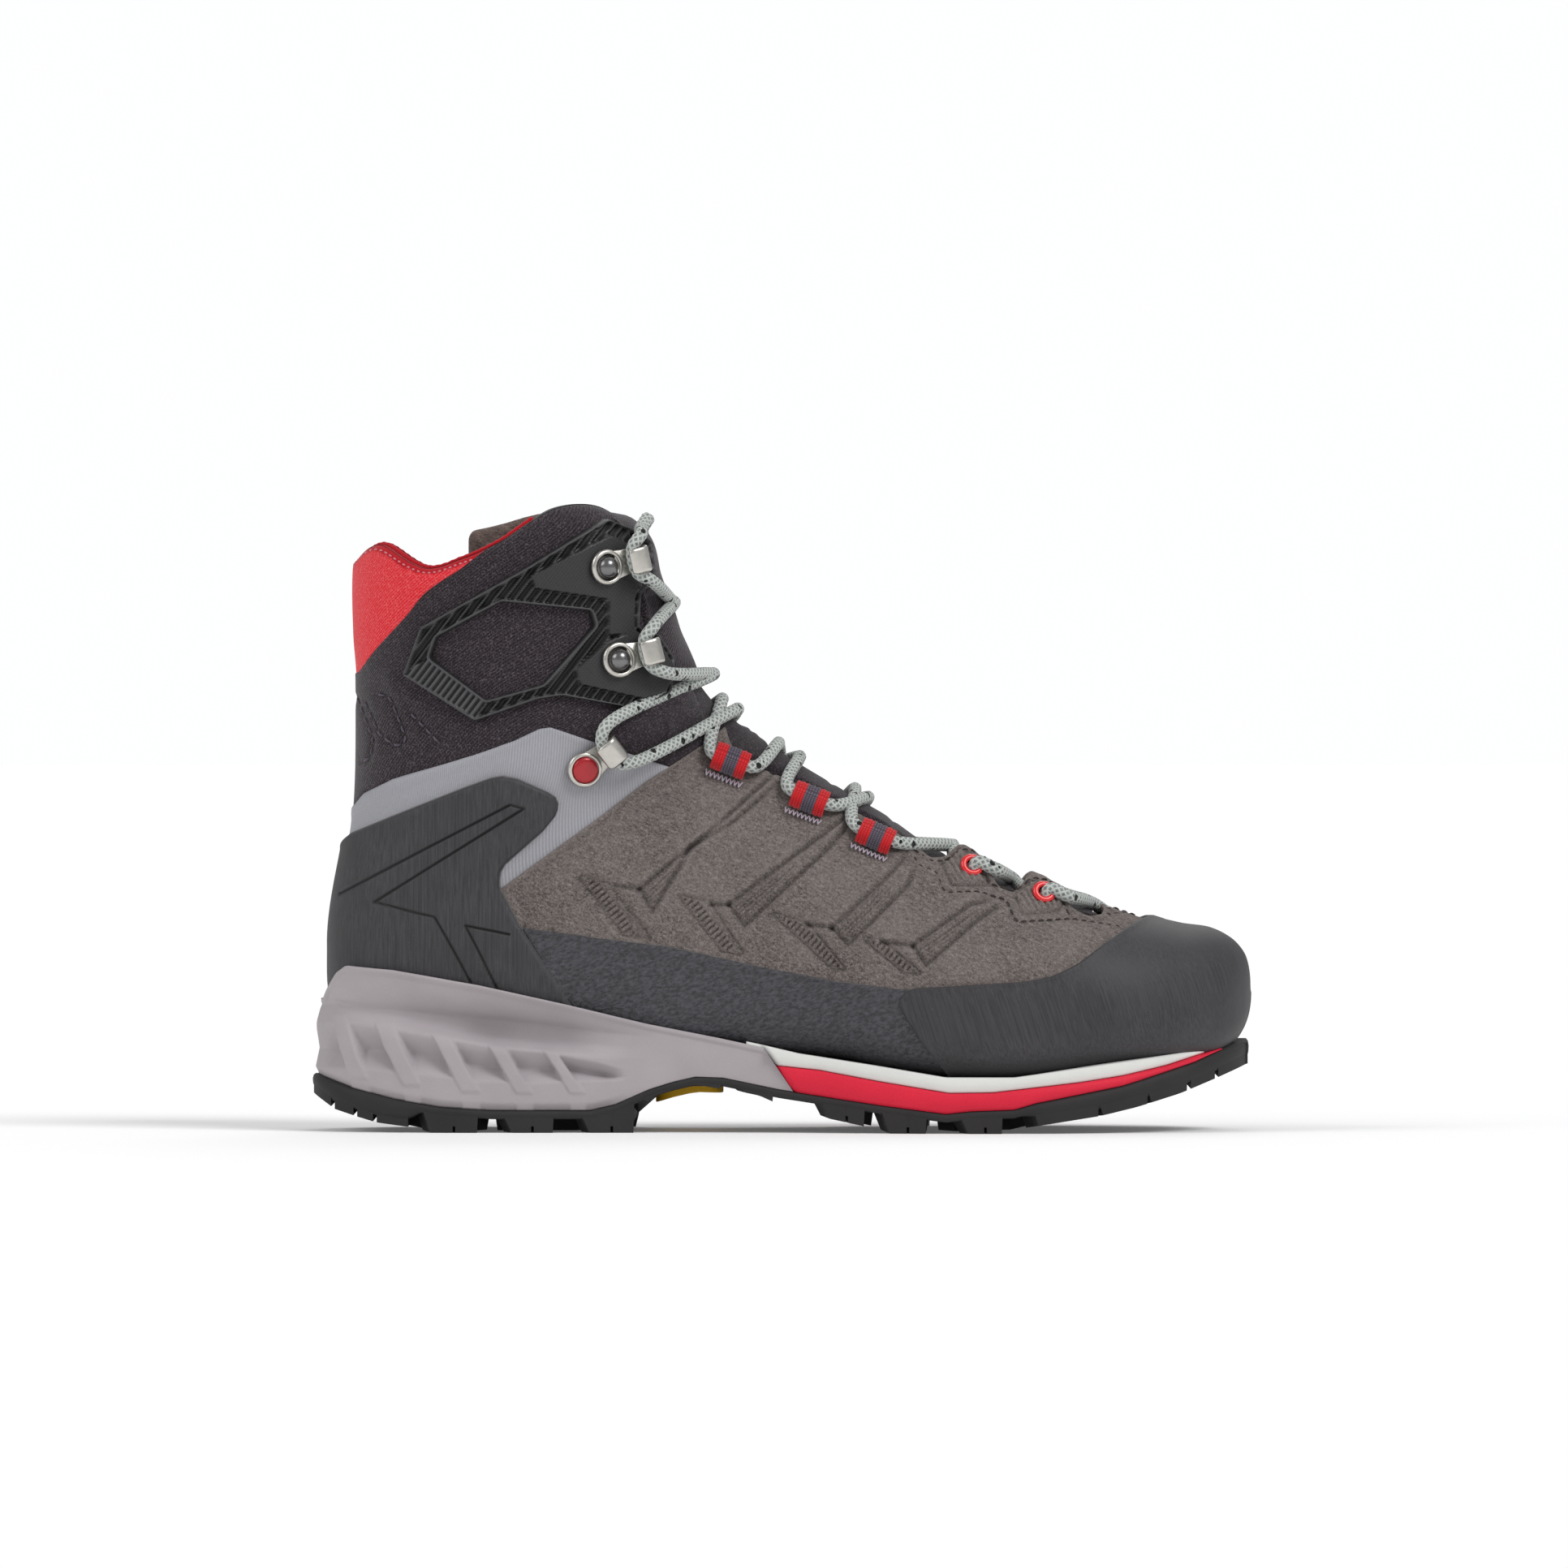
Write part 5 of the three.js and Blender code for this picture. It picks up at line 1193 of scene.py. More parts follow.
SUEDE_REAR = [(61.2, 119.5), (52.3, 113.8), (36.2, 101.6), (11.9, 84), (3.4, 77.9), (9.5, 64)]
SUEDE_LOW = [(16, 60), (36, 59), (59, 56), (91, 49.5), (114, 45), (137, 42), (160, 44), (176, 45), (185, 47), (195, 51.5), (203, 57.5),
             (209, 62), (215, 65)]
THROAT = [(84, 14.5), (100, 14.5), (116, 15), (128, 15.5), (136, 17), (141, 21), (144.5, 24), (148.5, 21), (151.5, 15), (155.5, 12.5),
          (159.5, 15), (162.5, 20), (166, 27), (170.5, 28.5), (173.5, 22), (175.5, 15.5), (178.7, 13), (182.5, 14), (186.5, 18),
          (190.5, 25.5), (196, 27), (199.5, 22), (200.5, 14), (199.5, 6)]
MOTIFS = [  # ribbed strip, then the two diagonals that leave its V, upper and lower
    ([(31, 82.6), (45, 64.4), (53, 63.2), (39.3, 80.7)], [(42, 79.9), (50, 78.8), (78.4, 102.3), (95.9, 118.6)],
     [(50, 78.8), (54.1, 71.6), (66.3, 92.1), (79.9, 100.4), (96.6, 114.8)]),
    ([(63.2, 76.5), (76.9, 59), (83, 58.3), (72.3, 74.6)], [(73.1, 73.8), (78.8, 73.8), (107.2, 95.1), (120.1, 104.2)],
     [(78.8, 73.8), (84.1, 67), (111, 92.1), (120.9, 102.7)]),
    ([(93.6, 70.8), (112.2, 53.8), (115.9, 53.4), (104.2, 67.4)], [(104.2, 67.4), (112.2, 66.3), (131.8, 84.3), (137.6, 91)],
     [(112.2, 66.3), (117.5, 60.9), (136.8, 79.9), (139.9, 86.7)]),
    ([(122.4, 63.2), (135.3, 52.6), (140.5, 52), (128.5, 61.7)], [(128.5, 61.7), (138.3, 60.6), (156.8, 73.7), (165.7, 75.7)],
     [(138.3, 60.6), (142.6, 54.3), (159.2, 68.8), (168.1, 74.9)]),
]
PATCHES = [[(148.3, 86.7), (154.4, 89.1), (162.5, 80.1), (151.2, 80.1)],
           [(171.8, 76.9), (177, 79.3), (187.1, 73.7), (185.1, 71.7), (174.2, 71.3)]]


EYELETS = [(157.6, 84), (180.9, 75.3)]


def flap_lift(xz):
    """Height of the two eyelet flaps, which stand up from the tongue along their upper edge."""
    xz = np.atleast_2d(xz)
    lift = np.zeros(len(xz))
    for eyelet in EYELETS:
        rel = xz - eyelet
        up, along = rel @ (0.373, 0.927), rel @ (0.927, -0.373)
        lift += 2.9 * smooth(-4.5, 5, up) * (1 - smooth(5, 10, np.abs(along)))
    return lift


def suede_relief(xz, flat, side, gap):
    h = np.zeros(len(xz))
    for strip, upper, lower in MOTIFS:
        d, _ = segment_distance(xz, strip, True)
        within = inside(xz, strip)
        a = np.array(strip[1]) - np.array(strip[0])
        run = (xz - strip[0]) @ (a / np.linalg.norm(a))
        left, _ = segment_distance(xz, strip[:2])
        ladder = smooth(0.15, 0.7, waves(run, 1.75, 1.0))
        ribbed = 1 - smooth(3.2, 3.7, left)
        h = np.where(within, smooth(0, 0.5, d) * (ribbed * (1.15 * ladder - 1.25) - 0.35 * (1 - ribbed)), h)
        h -= np.where(~within, 0.8 * np.exp(-((d - 0.5) / 0.4) ** 2), 0)
        for line in (upper, lower):
            d, run = segment_distance(xz, line)
            total = np.linalg.norm(np.diff(np.array(line, float), axis=0), axis=1).sum()
            fade = 1 - smooth(0.85, 1.0, run / total)
            h -= 1.05 * fade * np.exp(-(d / 0.75) ** 2)
            h += 0.4 * fade * np.exp(-((d - 1.7) / 0.8) ** 2)
        corner = (np.array(upper[1]) + np.array(lower[1])) / 2
        wedge = np.array(upper[1:] + lower[1:][::-1])
        region = inside(xz, wedge)
        dw, _ = segment_distance(xz, wedge, True)
        rel = xz - corner
        axis = (np.array(upper[-1]) + np.array(lower[-1])) / 2 - corner
        angle = np.arctan2(rel[:, 1], rel[:, 0]) - math.atan2(axis[1], axis[0])
        reach = np.linalg.norm(rel, axis=1)
        grooves = waves(angle * reach, 1.25, 1.0)
        strength = smooth(0.5, 1.2, dw) * (1 - smooth(18, 30, reach))
        h += np.where(region, strength * (0.75 * grooves - 0.75), 0)
    for k, patch in enumerate(PATCHES):
        d, _ = segment_distance(xz, patch, True)
        within = inside(xz, patch)
        rib = waves(xz[:, 0] * 0.82 + xz[:, 1] * 0.57, 1.5, 1.0)
        h = np.where(within, smooth(0, 0.6, d) * (0.9 * rib - 0.1), h - 0.6 * np.exp(-((d - 0.4) / 0.4) ** 2))
    lip = 0.28 * np.exp(-((gap - 1.3) / 0.7) ** 2) - 0.4 * np.exp(-((gap - 2.9) / 0.5) ** 2)
    wrinkle = 0.35 * np.sin(xz[:, 0] / 11 + 2 * np.sin(xz[:, 1] / 17)) * np.sin(flat[:, 1] / 19)
    bumps = 0.10 * np.sin(xz[:, 0] * 1.3 + 2.1 * np.sin(flat[:, 1] * 0.7)) * np.sin(flat[:, 1] * 1.1 + xz[:, 0] * 0.4)
    # lighter colour along the cut edge of the suede
    pale_cut_edge = 0.8 * (1 - smooth(0.3, 0.9, gap))
    # colour tone: painted shade in the embossed grooves and the groove inside the lip, painted highlight on raised ribs
    # and on the lip; the last term only makes the colour lighter along the cut edge
    return h + lip + wrinkle + bumps + flap_lift(xz), np.clip(h * 0.5 + 0.5 * lip + pale_cut_edge, -1, 1)


def suede_near(xz, flat, side):
    d = np.full(len(xz), 1e9)
    for strip, upper, lower in MOTIFS:
        for line in (strip + strip[:1], upper, lower):
            d = np.minimum(d, segment_distance(xz, line)[0])
        d = np.where(inside(xz, strip) | inside(xz, np.array(upper[1:] + lower[1:][::-1])), 0, d)
    for patch in PATCHES:
        d = np.where(inside(xz, patch), 0, np.minimum(d, segment_distance(xz, patch, True)[0]))
    return d


def suede_side(side):
    rear = flats(FRONT, SUEDE_REAR, side)
    low = flats(FRONT, SUEDE_LOW, side)
    corner = flats(FRONT, [(72.7, 127), (77.4, 131.3)], side)
    throat = FRONT.flat(on_top(fillet(THROAT, 1.6, False), side))
    return rear, low, corner, throat


rear_l, low_l2, corner_l, throat_l = suede_side(-1)
rear_m, low_m2, corner_m, throat_m = suede_side(1)
toe_mid = FRONT.flat(on_top([(219, 0)], 1)) * [1, 0]
throat_mid = FRONT.flat(on_top([(199, 0)], 1)) * [1, 0]
suede_outline = ring_of(rear_l, low_l2, toe_mid, low_m2[::-1], rear_m[::-1], corner_m, throat_m, throat_mid, throat_l[::-1], corner_l[::-1])
suede = panel("suede_upper_leather", FRONT, suede_outline, MAT["suede"], spacing=1.15 * COARSE, base=-0.9, thick=1.35, edge=0.7,
              relief=suede_relief, near=suede_near, fine=0.46 * COARSE, skirt=1.2)
own(suede, "foot", "suede_upper")


def rim_tone(gap):
    """The cut edge of a rubber rand looks lighter."""
    return 0.9 * (1 - smooth(0.12, 0.4, gap))


HEEL_CUTS = [[(-46, 77.8), (7.9, 106), (12.2, 104.7), (-34.9, 75.1), (-16.1, 70), (-4.2, 49)],
             [(7.9, 64.2), (-6.3, 67.1), (4.5, 47)]]


def rand_relief(xz, flat, side, gap):
    """Engraved lines with sharp bottoms."""
    lip = 0.25 * np.exp(-((gap - 1.2) / 0.6) ** 2)
    d = np.minimum.reduce([segment_distance(xz, line)[0] for line in HEEL_CUTS])
    line = np.exp(-(d / 0.36) ** 2)
    # tone: a pale cut rim, and painted shade darkening the engraved lines
    return lip + 0.12 * np.sin(xz[:, 0] / 6 + xz[:, 1] / 9) - 0.8 * line, np.clip(rim_tone(gap) - 1.25 * line, -1, 1)


HEEL_TOP = [(-47, 95), (-45.7, 95.3), (-43.3, 97.3), (-31, 102.3), (-7, 111.8), (2, 115), (5.8, 115.6), (10.6, 114.7), (20.5, 110.3), (22.9, 108.7),
            (23.8, 106.6), (23.6, 104.5), (22.7, 102.3), (18.8, 97.5), (6.6, 86.7), (5.3, 84.4), (5, 82.4), (5, 80.1), (6.3, 77.4), (13.2, 64.5),
            (22.7, 51), (31, 39)]
HEEL_LOW = [(22, 38), (-2, 43.5), (-30, 46), (-38, 43), (-44, 39), (-48.5, 38.5)]
rand_edge = HEEL_TOP + HEEL_LOW
heel_outline = ring_of(flats(BACK, rand_edge, -1), flats(BACK, rand_edge, 1)[::-1])
heel = panel("heel_rand_rubber", BACK, heel_outline, MAT["heel_rubber"], spacing=1.3 * COARSE, base=-0.6, thick=2.6, edge=1.1, relief=rand_relief,
             near=lambda xz, flat, side: np.minimum.reduce([segment_distance(xz, line)[0] for line in HEEL_CUTS]), fine=0.36 * COARSE, skirt=1.2)
own(heel, "foot", "heel_rand")

SIDE_RAND = [(11.2, 66.2), (14, 66.2), (36, 63.4), (59, 60.6), (91, 53.8), (114, 49.3), (133, 47), (137.4, 46.9), (137.5, 41.3), (151, 20), (151, 16),
             (140, 16), (128, 18), (101.5, 21.9), (90, 24.8), (76, 27.8), (52, 32.2), (34, 36), (24, 45)]
for label, side in SIDES:
    chart = Wrap(side * math.pi / 2)
    piece = panel(f"side_rand_{label}_rubber", chart, loop_flats(chart, SIDE_RAND, side), MAT["side_rand"], spacing=1.2 * COARSE,
                  base=-0.6, thick=1.75, edge=0.9, skirt=1.0,
                  relief=lambda xz, flat, side, gap: (0.22 * np.exp(-((gap - 1.0) / 0.5) ** 2), rim_tone(gap)))
    own(piece, "foot", f"side_rand_{label}")

TOE_EDGE = [(149.1, 20), (141, 29.5), (134.2, 39.6), (133.2, 41.6), (133.5, 43.4), (135.3, 45.7), (138.8, 46.9), (160, 48.1), (174, 48.9),
            (182.4, 50.5), (187, 52.2), (191.6, 54.6), (199.5, 60.3), (206.4, 64.8), (211.2, 67.1), (215.7, 68.5)]
NOSE = Nose()
UNDER = 2.62


def toe_side(side):
    top = flats(NOSE, TOE_EDGE, side)
    s0 = on_side([(149.1, 22)], side)[0][0]
    s = np.linspace(s0, END - 3, 30)
    low = NOSE.flat(np.stack([s, np.full(30, side * UNDER)], 1))
    return top, low


top_l, under_l = toe_side(-1)
top_m, under_m = toe_side(1)
tip_mid = NOSE.flat(on_top([(217.8, 0)], 1) * [1, 0])
toe_outline = ring_of(top_l, tip_mid, top_m[::-1], under_m, under_l[::-1])
toe = panel("toe_rand_rubber", NOSE, toe_outline, MAT["toe_rubber"], spacing=1.5 * COARSE, base=-0.6, thick=2.7, edge=1.5, skirt=1.2,
            relief=lambda xz, flat, side, gap: (0.3 * np.exp(-((gap - 1.7) / 0.8) ** 2)
                                                + 0.15 * np.sin(xz[:, 0] / 8 + xz[:, 1] / 6), rim_tone(gap)))
own(toe, "foot", "toe_rand")

# ------------------------------------------------------------------ sole

LATERAL_EDGE = [(-56, 0), (-53, -18), (-42, -31), (-20, -38.5), (0, -40), (30, -39), (62, -38.5), (95, -42), (130, -49.5), (160, -54),
                (185, -52.5), (210, -44), (230, -30), (243, -11)]
MEDIAL_EDGE = [(247.5, 8), (243, 27), (230, 40.5), (208, 50.5), (183, 53.8), (155, 52.5), (125, 46), (95, 39), (60, 36), (30, 37), (0, 39),
               (-20, 37.5), (-42, 30.5), (-53, 18)]
OUTLINE = catmull(LATERAL_EDGE + MEDIAL_EDGE, 24, closed=True)
HEEL_C, TOE_C = np.array([-10.0, 0.0]), np.array([178.0, 2.0])


def ray_to_outline(c, d):
    """Distance from c along d to the plan outline."""
    a, b = OUTLINE - c, np.roll(OUTLINE, -1, 0) - c
    ca = a[:, 0] * d[1] - a[:, 1] * d[0]
    cb = b[:, 0] * d[1] - b[:, 1] * d[0]
    hit = (ca * cb <= 0)
    f = ca / (ca - cb + 1e-12)
    p = a + (b - a) * f[:, None]
    r = p @ d
    r = r[hit & (r > 0)]
    return r.max()


def periphery(step=1.0):
    """Stations round the sole from the middle of the arch: foot point of the ray, direction, distance to the outline."""
    side_x = np.arange(HEEL_C[0], TOE_C[0], step)
    out = [((x, 0.0), (0.0, -1.0)) for x in side_x]
    for a in np.arange(-90, 90, 1.1 * step):
        out.append((TOE_C, (math.cos(math.radians(a)), math.sin(math.radians(a)))))
    out += [((x, 0.0), (0.0, 1.0)) for x in side_x[::-1]]
    for a in np.arange(90, 270, 1.3 * step):
        out.append((HEEL_C, (math.cos(math.radians(a)), math.sin(math.radians(a)))))
    c = np.array([np.array(o[0]) for o in out])
    d = np.array([np.array(o[1]) for o in out])
    r = np.array([ray_to_outline(ci, di) for ci, di in zip(c, d)])
    return c, d, r


RING_C, RING_D, RING_R = periphery(0.9 * COARSE)
RING_P = RING_C + RING_D * RING_R[:, None]


def wall(name, low, high, out, material, rows=9, span=None, inset=9.0, closed=True):
    """A band round the sole. low(x), high(x) are its edges, out(v, x, z) how far it stands off the outline."""
    keep = np.ones(len(RING_P), bool) if span is None else (RING_P[:, 0] > span[0]) & (RING_P[:, 0] < span[1])
    index = np.nonzero(keep)[0]
    if span is not None:
        gaps = np.nonzero(np.diff(index) > 1)[0]
        if len(gaps):
            index = np.concatenate([index[gaps[0] + 1:], index[:gaps[0] + 1]])
    c, d, r = RING_C[index], RING_D[index], RING_R[index]
    x0 = (c + d * r[:, None])[:, 0]
    vs = np.concatenate([[0, 0], np.linspace(0, 1, rows), [1, 1]])
    grid = []
    for k, v in enumerate(vs):
        z = low(x0) + (high(x0) - low(x0)) * v
        off = out(v, x0, z)
        if k in (0, len(vs) - 1):
            off = off - inset
        if k in (1, len(vs) - 2):
            off = off - 0.5
            z = z + (0.28 if k == 1 else -0.28) * 0
        p = c + d * (r + off)[:, None]
        grid.append(np.column_stack([p, z]))
    grid = np.array(grid)
    verts = grid.transpose(1, 0, 2).reshape(-1, 3)
    ring = span is None
    faces = grid_faces(len(index), len(vs), close_rows=ring)
    tri = [f[:3] for f in faces[len(vs) * 3: len(vs) * 3 + 1]]
    a, b, cc = verts[list(faces[len(vs) // 2])[:3]]
    normal = np.cross(b - a, cc - a)
    if (normal[:2] * d[0]).sum() < 0:
        faces = [f[::-1] for f in faces]
    u = np.repeat(np.arange(len(index)), len(vs)) * 0.9
    uv = np.column_stack([u, verts[:, 2]]) * 0.01
    return mesh_object(name, verts, faces, material, uv)


HEEL_RISE = [(-60, 42.6), (-54.8, 43), (-51.5, 47.5), (-48.6, 51.6), (-45.5, 53.8)]  # the top edge dips at the back of the heel
WEDGE_TOP = lambda x: np.where(x < -45.5, line_at(HEEL_RISE, x), line_at([(-45.5, 53.8)] + MIDSOLE_TOP[2:], x))
WEDGE_LOW = lambda x: line_at(OUTSOLE_TOP, x)
BARS = [((-49.7, 38.3), (-47.5, 27.3), (-44, 17.4), (-45.1, 37.2), (-41.2, 24.5), (-37.6, 16.7)),
        ((-35.8, 35.5), (-33, 27.3), (-26.3, 15.3), (-29.8, 34.8), (-26.6, 27.3), (-21, 16)),
        ((-17.8, 32.6), (-13, 23), (-7.5, 13.2), (-11.8, 32.3), (-7, 23), (-1.5, 13.2)),
        ((0.3, 29.5), (5, 21), (10.2, 12.8), (5.6, 29.1), (10.3, 21), (15.5, 12.8)),
        ((18.3, 27.3), (23, 20), (27.5, 12.8), (22.2, 27), (27.2, 20), (32.5, 12.8))]
POCKET_HIGH = [(-60, 35.5), (-44, 35.1), (2.7, 28), (19.7, 25.9), (36, 22.7), (48, 19.5), (60, 19)]
POCKET_DEEP = [(-60, 27), (-39, 26.6), (-15.7, 24.2), (-4.3, 21.7), (13.4, 20.6), (29.6, 20.3), (39.9, 18.1), (60, 17.5)]
POCKET_LOW = [(-60, 20.8), (-39, 20.3), (-19.9, 18.8), (-2.9, 16.7), (14.1, 16), (26.8, 16.6), (40, 17), (60, 17)]
CREASE = [(-60, 43), (-50, 42.2), (-35.8, 38.4), (-17.8, 35), (2.7, 31), (20, 29.2), (40, 27)]


def wedge():
    """The heel frame: outer skin from the outsole up to the lip, following plan outline below and the last above."""
    index = np.nonzero(RING_P[:, 0] < 100)[0]
    gap_at = np.nonzero(np.diff(index) > 1)[0][0]
    index = np.concatenate([index[gap_at + 1:], index[:gap_at + 1]])
    fine = 2
    pos = np.linspace(0, len(index) - 1, len(index) * fine)
    c = np.stack([np.interp(pos, np.arange(len(index)), RING_C[index][:, k]) for k in (0, 1)], 1)
    d = np.stack([np.interp(pos, np.arange(len(index)), RING_D[index][:, k]) for k in (0, 1)], 1)
    d /= np.linalg.norm(d, axis=1)[:, None]
    r = np.interp(pos, np.arange(len(index)), RING_R[index])
    x0 = (c + d * r[:, None])[:, 0]
    side = np.where(d[:, 1] >= 0, 1, -1)
    rows = 64
    verts, tone = [], []
    low, high = WEDGE_LOW(x0) + 0.15, WEDGE_TOP(x0)
    for k in range(-3, rows + 4):
        v = min(max(k / rows, 0), 1)
        z = low + (high - low) * v
        # distance to the last along the ray, found by halving
        near_, far_ = np.zeros(len(r)), r + 12
        for _ in range(18):
            mid = (near_ + far_) / 2
            p = c + d * mid[:, None]
            inner = np.abs(p[:, 1]) < halves(p[:, 0], np.maximum(z, line_at(MIDSOLE_TOP, p[:, 0]) * 0 + 36.8 - 0.11 * np.maximum(p[:, 0], -40)), side)
            near_, far_ = np.where(inner, mid, near_), np.where(inner, far_, mid)
        cup = near_ + 4.2
        crease = line_at(CREASE, x0)
        share = smooth(crease - 3.5, crease + 1.5, z)
        share = share * (1 - smooth(22, 60, x0))
        body = r - 0.2 - 1.9 * smooth(line_at(POCKET_HIGH, x0) - 3, crease, z) * (1 - smooth(0, 30, x0))
        reach = body * (1 - share) + np.minimum(cup, r + 1) * share
        reach = reach - 0.6 * np.exp(-((z - crease) / 1.0) ** 2) * (1 - smooth(-10, 12, x0)) * smooth(-55, -48, x0)
        # pockets between the slanting bars
        world_x = (c + d * reach[:, None])[:, 0]
        bar, proud = np.zeros(len(r)), np.zeros(len(r))
        for a0, a1, a2, b0, b1, b2 in BARS:
            left = np.interp(z, [a2[1], a1[1], a0[1]], [a2[0], a1[0], a0[0]])
            right = np.interp(z, [b2[1], b1[1], b0[1]], [b2[0], b1[0], b0[0]])
            across = smooth(left - 0.3, left + 0.3, world_x) * (1 - smooth(right - 0.3, right + 0.3, world_x))
            bar = np.maximum(bar, across)
            proud = np.maximum(proud, across * smooth(a2[1] - 0.6, a2[1] + 0.4, z) * (1 - smooth(a0[1] - 0.5, a0[1] + 0.5, z)))
        hi, deep, lo = line_at(POCKET_HIGH, world_x), line_at(POCKET_DEEP, world_x), line_at(POCKET_LOW, world_x)
        fall = np.where(z > deep, (hi - z) / np.maximum(hi - deep, 0.5), (z - lo) / np.maximum(deep - lo, 0.5))
        back = smooth(-53.5, -50.5, world_x)
        pocket = 4.4 * np.clip(fall, 0, 1) * (1 - smooth(38, 46, world_x)) * (0.3 + 0.7 * back)
        reach = reach - pocket * (1 - bar) + 0.45 * proud
        reach = reach - 1.0 * smooth(2.6, 0, z - low) * (1 - bar * 0.5) * (1 - smooth(36, 50, x0))
        # lip at the top edge
        reach = reach + 0.55 * smooth(2.2, 0.9, high - z)
        if k < 0:
            reach, z = reach + k * 3.0, low - 0.1
        if k > rows:
            reach, z = reach - (k - rows) * 1.2, high + [0.12, -0.3, -2.5][k - rows - 1]
        p = c + d * reach[:, None]
        # the front end is cut on a slant
        front = 91.5 + (25.4 - np.minimum(z, high)) * 0.686
        over = np.maximum(0, p[:, 0] - front)
        p[:, 0] -= over
        verts.append(np.column_stack([p, z]))
    grid = np.array(verts).transpose(1, 0, 2)
    n, m = grid.shape[:2]
    flat = grid.reshape(-1, 3)
    faces = [f[::-1] for f in grid_faces(n, m)]
    a, b, cc = flat[list(faces[(n // 2) * (m - 1) + m // 2])[:3]]
    if np.cross(b - a, cc - a)[0] > 0:
        faces = [f[::-1] for f in faces]
    uv = np.column_stack([np.repeat(np.arange(n), m) * 0.5, flat[:, 2]]) * 0.01
    return mesh_object("heel_frame_sculpted", flat, faces, MAT["wedge"], uv)


own(wedge(), "foot", "heel_frame")



def behind_wedge(x, z):
    """How far the foam steps in where it runs behind the heel frame's slanting end."""
    end = 91.5 + (25.4 - z) * 0.686
    return -1.6 * (1 - smooth(end - 0.4, end + 1.4, x))


white = wall("foam_white_layer", lambda x: line_at(FOAM_LINE, x) + 0.1, lambda x: np.maximum(line_at(MIDSOLE_TOP, x) + 0.9, line_at(FOAM_LINE, x) + 0.2),
             lambda v, x, z: 0.5 * (1 - (2 * v - 1) ** 2) - 0.2 - 1.0 * smooth(205, 233, x) + behind_wedge(x, z), MAT["foam_white"], 9, (84.0, 238), 14.0)
own(white, "foot", "forefoot_foam_white")
coral = wall("foam_red_layer", lambda x: line_at(OUTSOLE_TOP, x) + 0.1, lambda x: np.maximum(line_at(FOAM_LINE, x) - 0.1, line_at(OUTSOLE_TOP, x) + 0.2),
             lambda v, x, z: 0.9 * (1 - (2 * v - 1) ** 2) + 0.2 - 1.0 * smooth(205, 238, x) + behind_wedge(x, z), MAT["foam_red"], 9, (86, 239), 14.0)
own(coral, "foot", "forefoot_foam_red")


def plan_fill(z_of, step=3.0, grow=0.0):
    """The plan outline filled with triangles, at height z_of(x)."""
    middle = np.array([95.0, 0.0])
    ring = OUTLINE + (OUTLINE - middle) / np.linalg.norm(OUTLINE - middle, axis=1)[:, None] * grow
    xs, ys = np.meshgrid(np.arange(-60, 252, step), np.arange(-56, 57, step))
    pts = np.stack([xs.ravel(), ys.ravel()], 1)
    pts = pts[inside(pts, ring)]
    pts = pts[segment_distance(pts, ring, True)[0] > step * 0.5]
    allp = np.vstack([ring, pts])
    edges = [(i, (i + 1) % len(ring)) for i in range(len(ring))]
    verts, _, tris, _, _, _ = delaunay_2d_cdt([Vector(p) for p in allp], edges, [], 1, 1e-5)
    flat = np.array([tuple(v) for v in verts])
    return np.column_stack([flat, z_of(flat[:, 0])]), [tuple(t) for t in tris]


def skin_depth(x):
    """How deep the outsole's edge band is: thin at the middle, nearly down to the tread at the toe and the heel."""
    block = np.maximum(0, line_at(OUTSOLE_TOP, x) - line_at(TREAD, x) - 2.0 - 2.7)
    return 2.7 + block * np.maximum(smooth(172, 182, x), 1 - smooth(-27, -20, x))


def outsole():
    top = lambda x: line_at(OUTSOLE_TOP, x)
    c, d, r = RING_C, RING_D, RING_R
    x0 = RING_P[:, 0]
    rows = []
    profile = [(-12, 0.0), (-0.1, 0.0), (0.5, 0.13), (0.75, 0.4), (0.65, 0.7), (0.3, 0.93), (-0.9, 1.0)]
    for off, share in profile:
        p = c + d * (r + off)[:, None]
        rows.append(np.column_stack([p, top(x0) - share * skin_depth(x0)]))
    grid = np.array(rows).transpose(1, 0, 2)
    band = (grid.reshape(-1, 3), grid_faces(grid.shape[0], grid.shape[1], close_rows=True))
    under = plan_fill(lambda x: top(x) - skin_depth(x) + 0.1, 3.5, 0.1)
    parts = [band, (under[0], [f[::-1] for f in under[1]])]
    return mesh_object("outsole_sheet", *merge(parts), MAT["outsole"])


def edge_part(x1, x2, side, count=8, grow=0.7):
    """Outline points on one side between two x."""
    half = OUTLINE[(OUTLINE[:, 1] * side > 0)] if abs(x1) < 240 else OUTLINE
    order = np.argsort(half[:, 0])
    xs = np.linspace(x1, x2, count)
    ys = np.interp(xs, half[order, 0], half[order, 1])
    return np.column_stack([xs, ys + side * grow])


def prism(bottom, top, z_bottom, z_top):
    """A block between two plan polygons with the same number of points."""
    bottom, top = np.asarray(bottom, float), np.asarray(top, float)
    n = len(bottom)
    verts = np.vstack([np.column_stack([bottom, z_bottom(bottom[:, 0])]), np.column_stack([top, z_top(top[:, 0])])])
    area = (bottom[:, 0] * np.roll(bottom[:, 1], -1) - np.roll(bottom[:, 0], -1) * bottom[:, 1]).sum()
    faces = [tuple(range(n))[::-1], tuple(range(n, 2 * n))] + [(i, (i + 1) % n, n + (i + 1) % n, n + i) for i in range(n)]
    return verts, faces if area > 0 else [f[::-1] for f in faces]


TREAD_AT = lambda x: line_at(TREAD, x)
ROOT_AT = lambda x: line_at(OUTSOLE_TOP, x) - 1.2


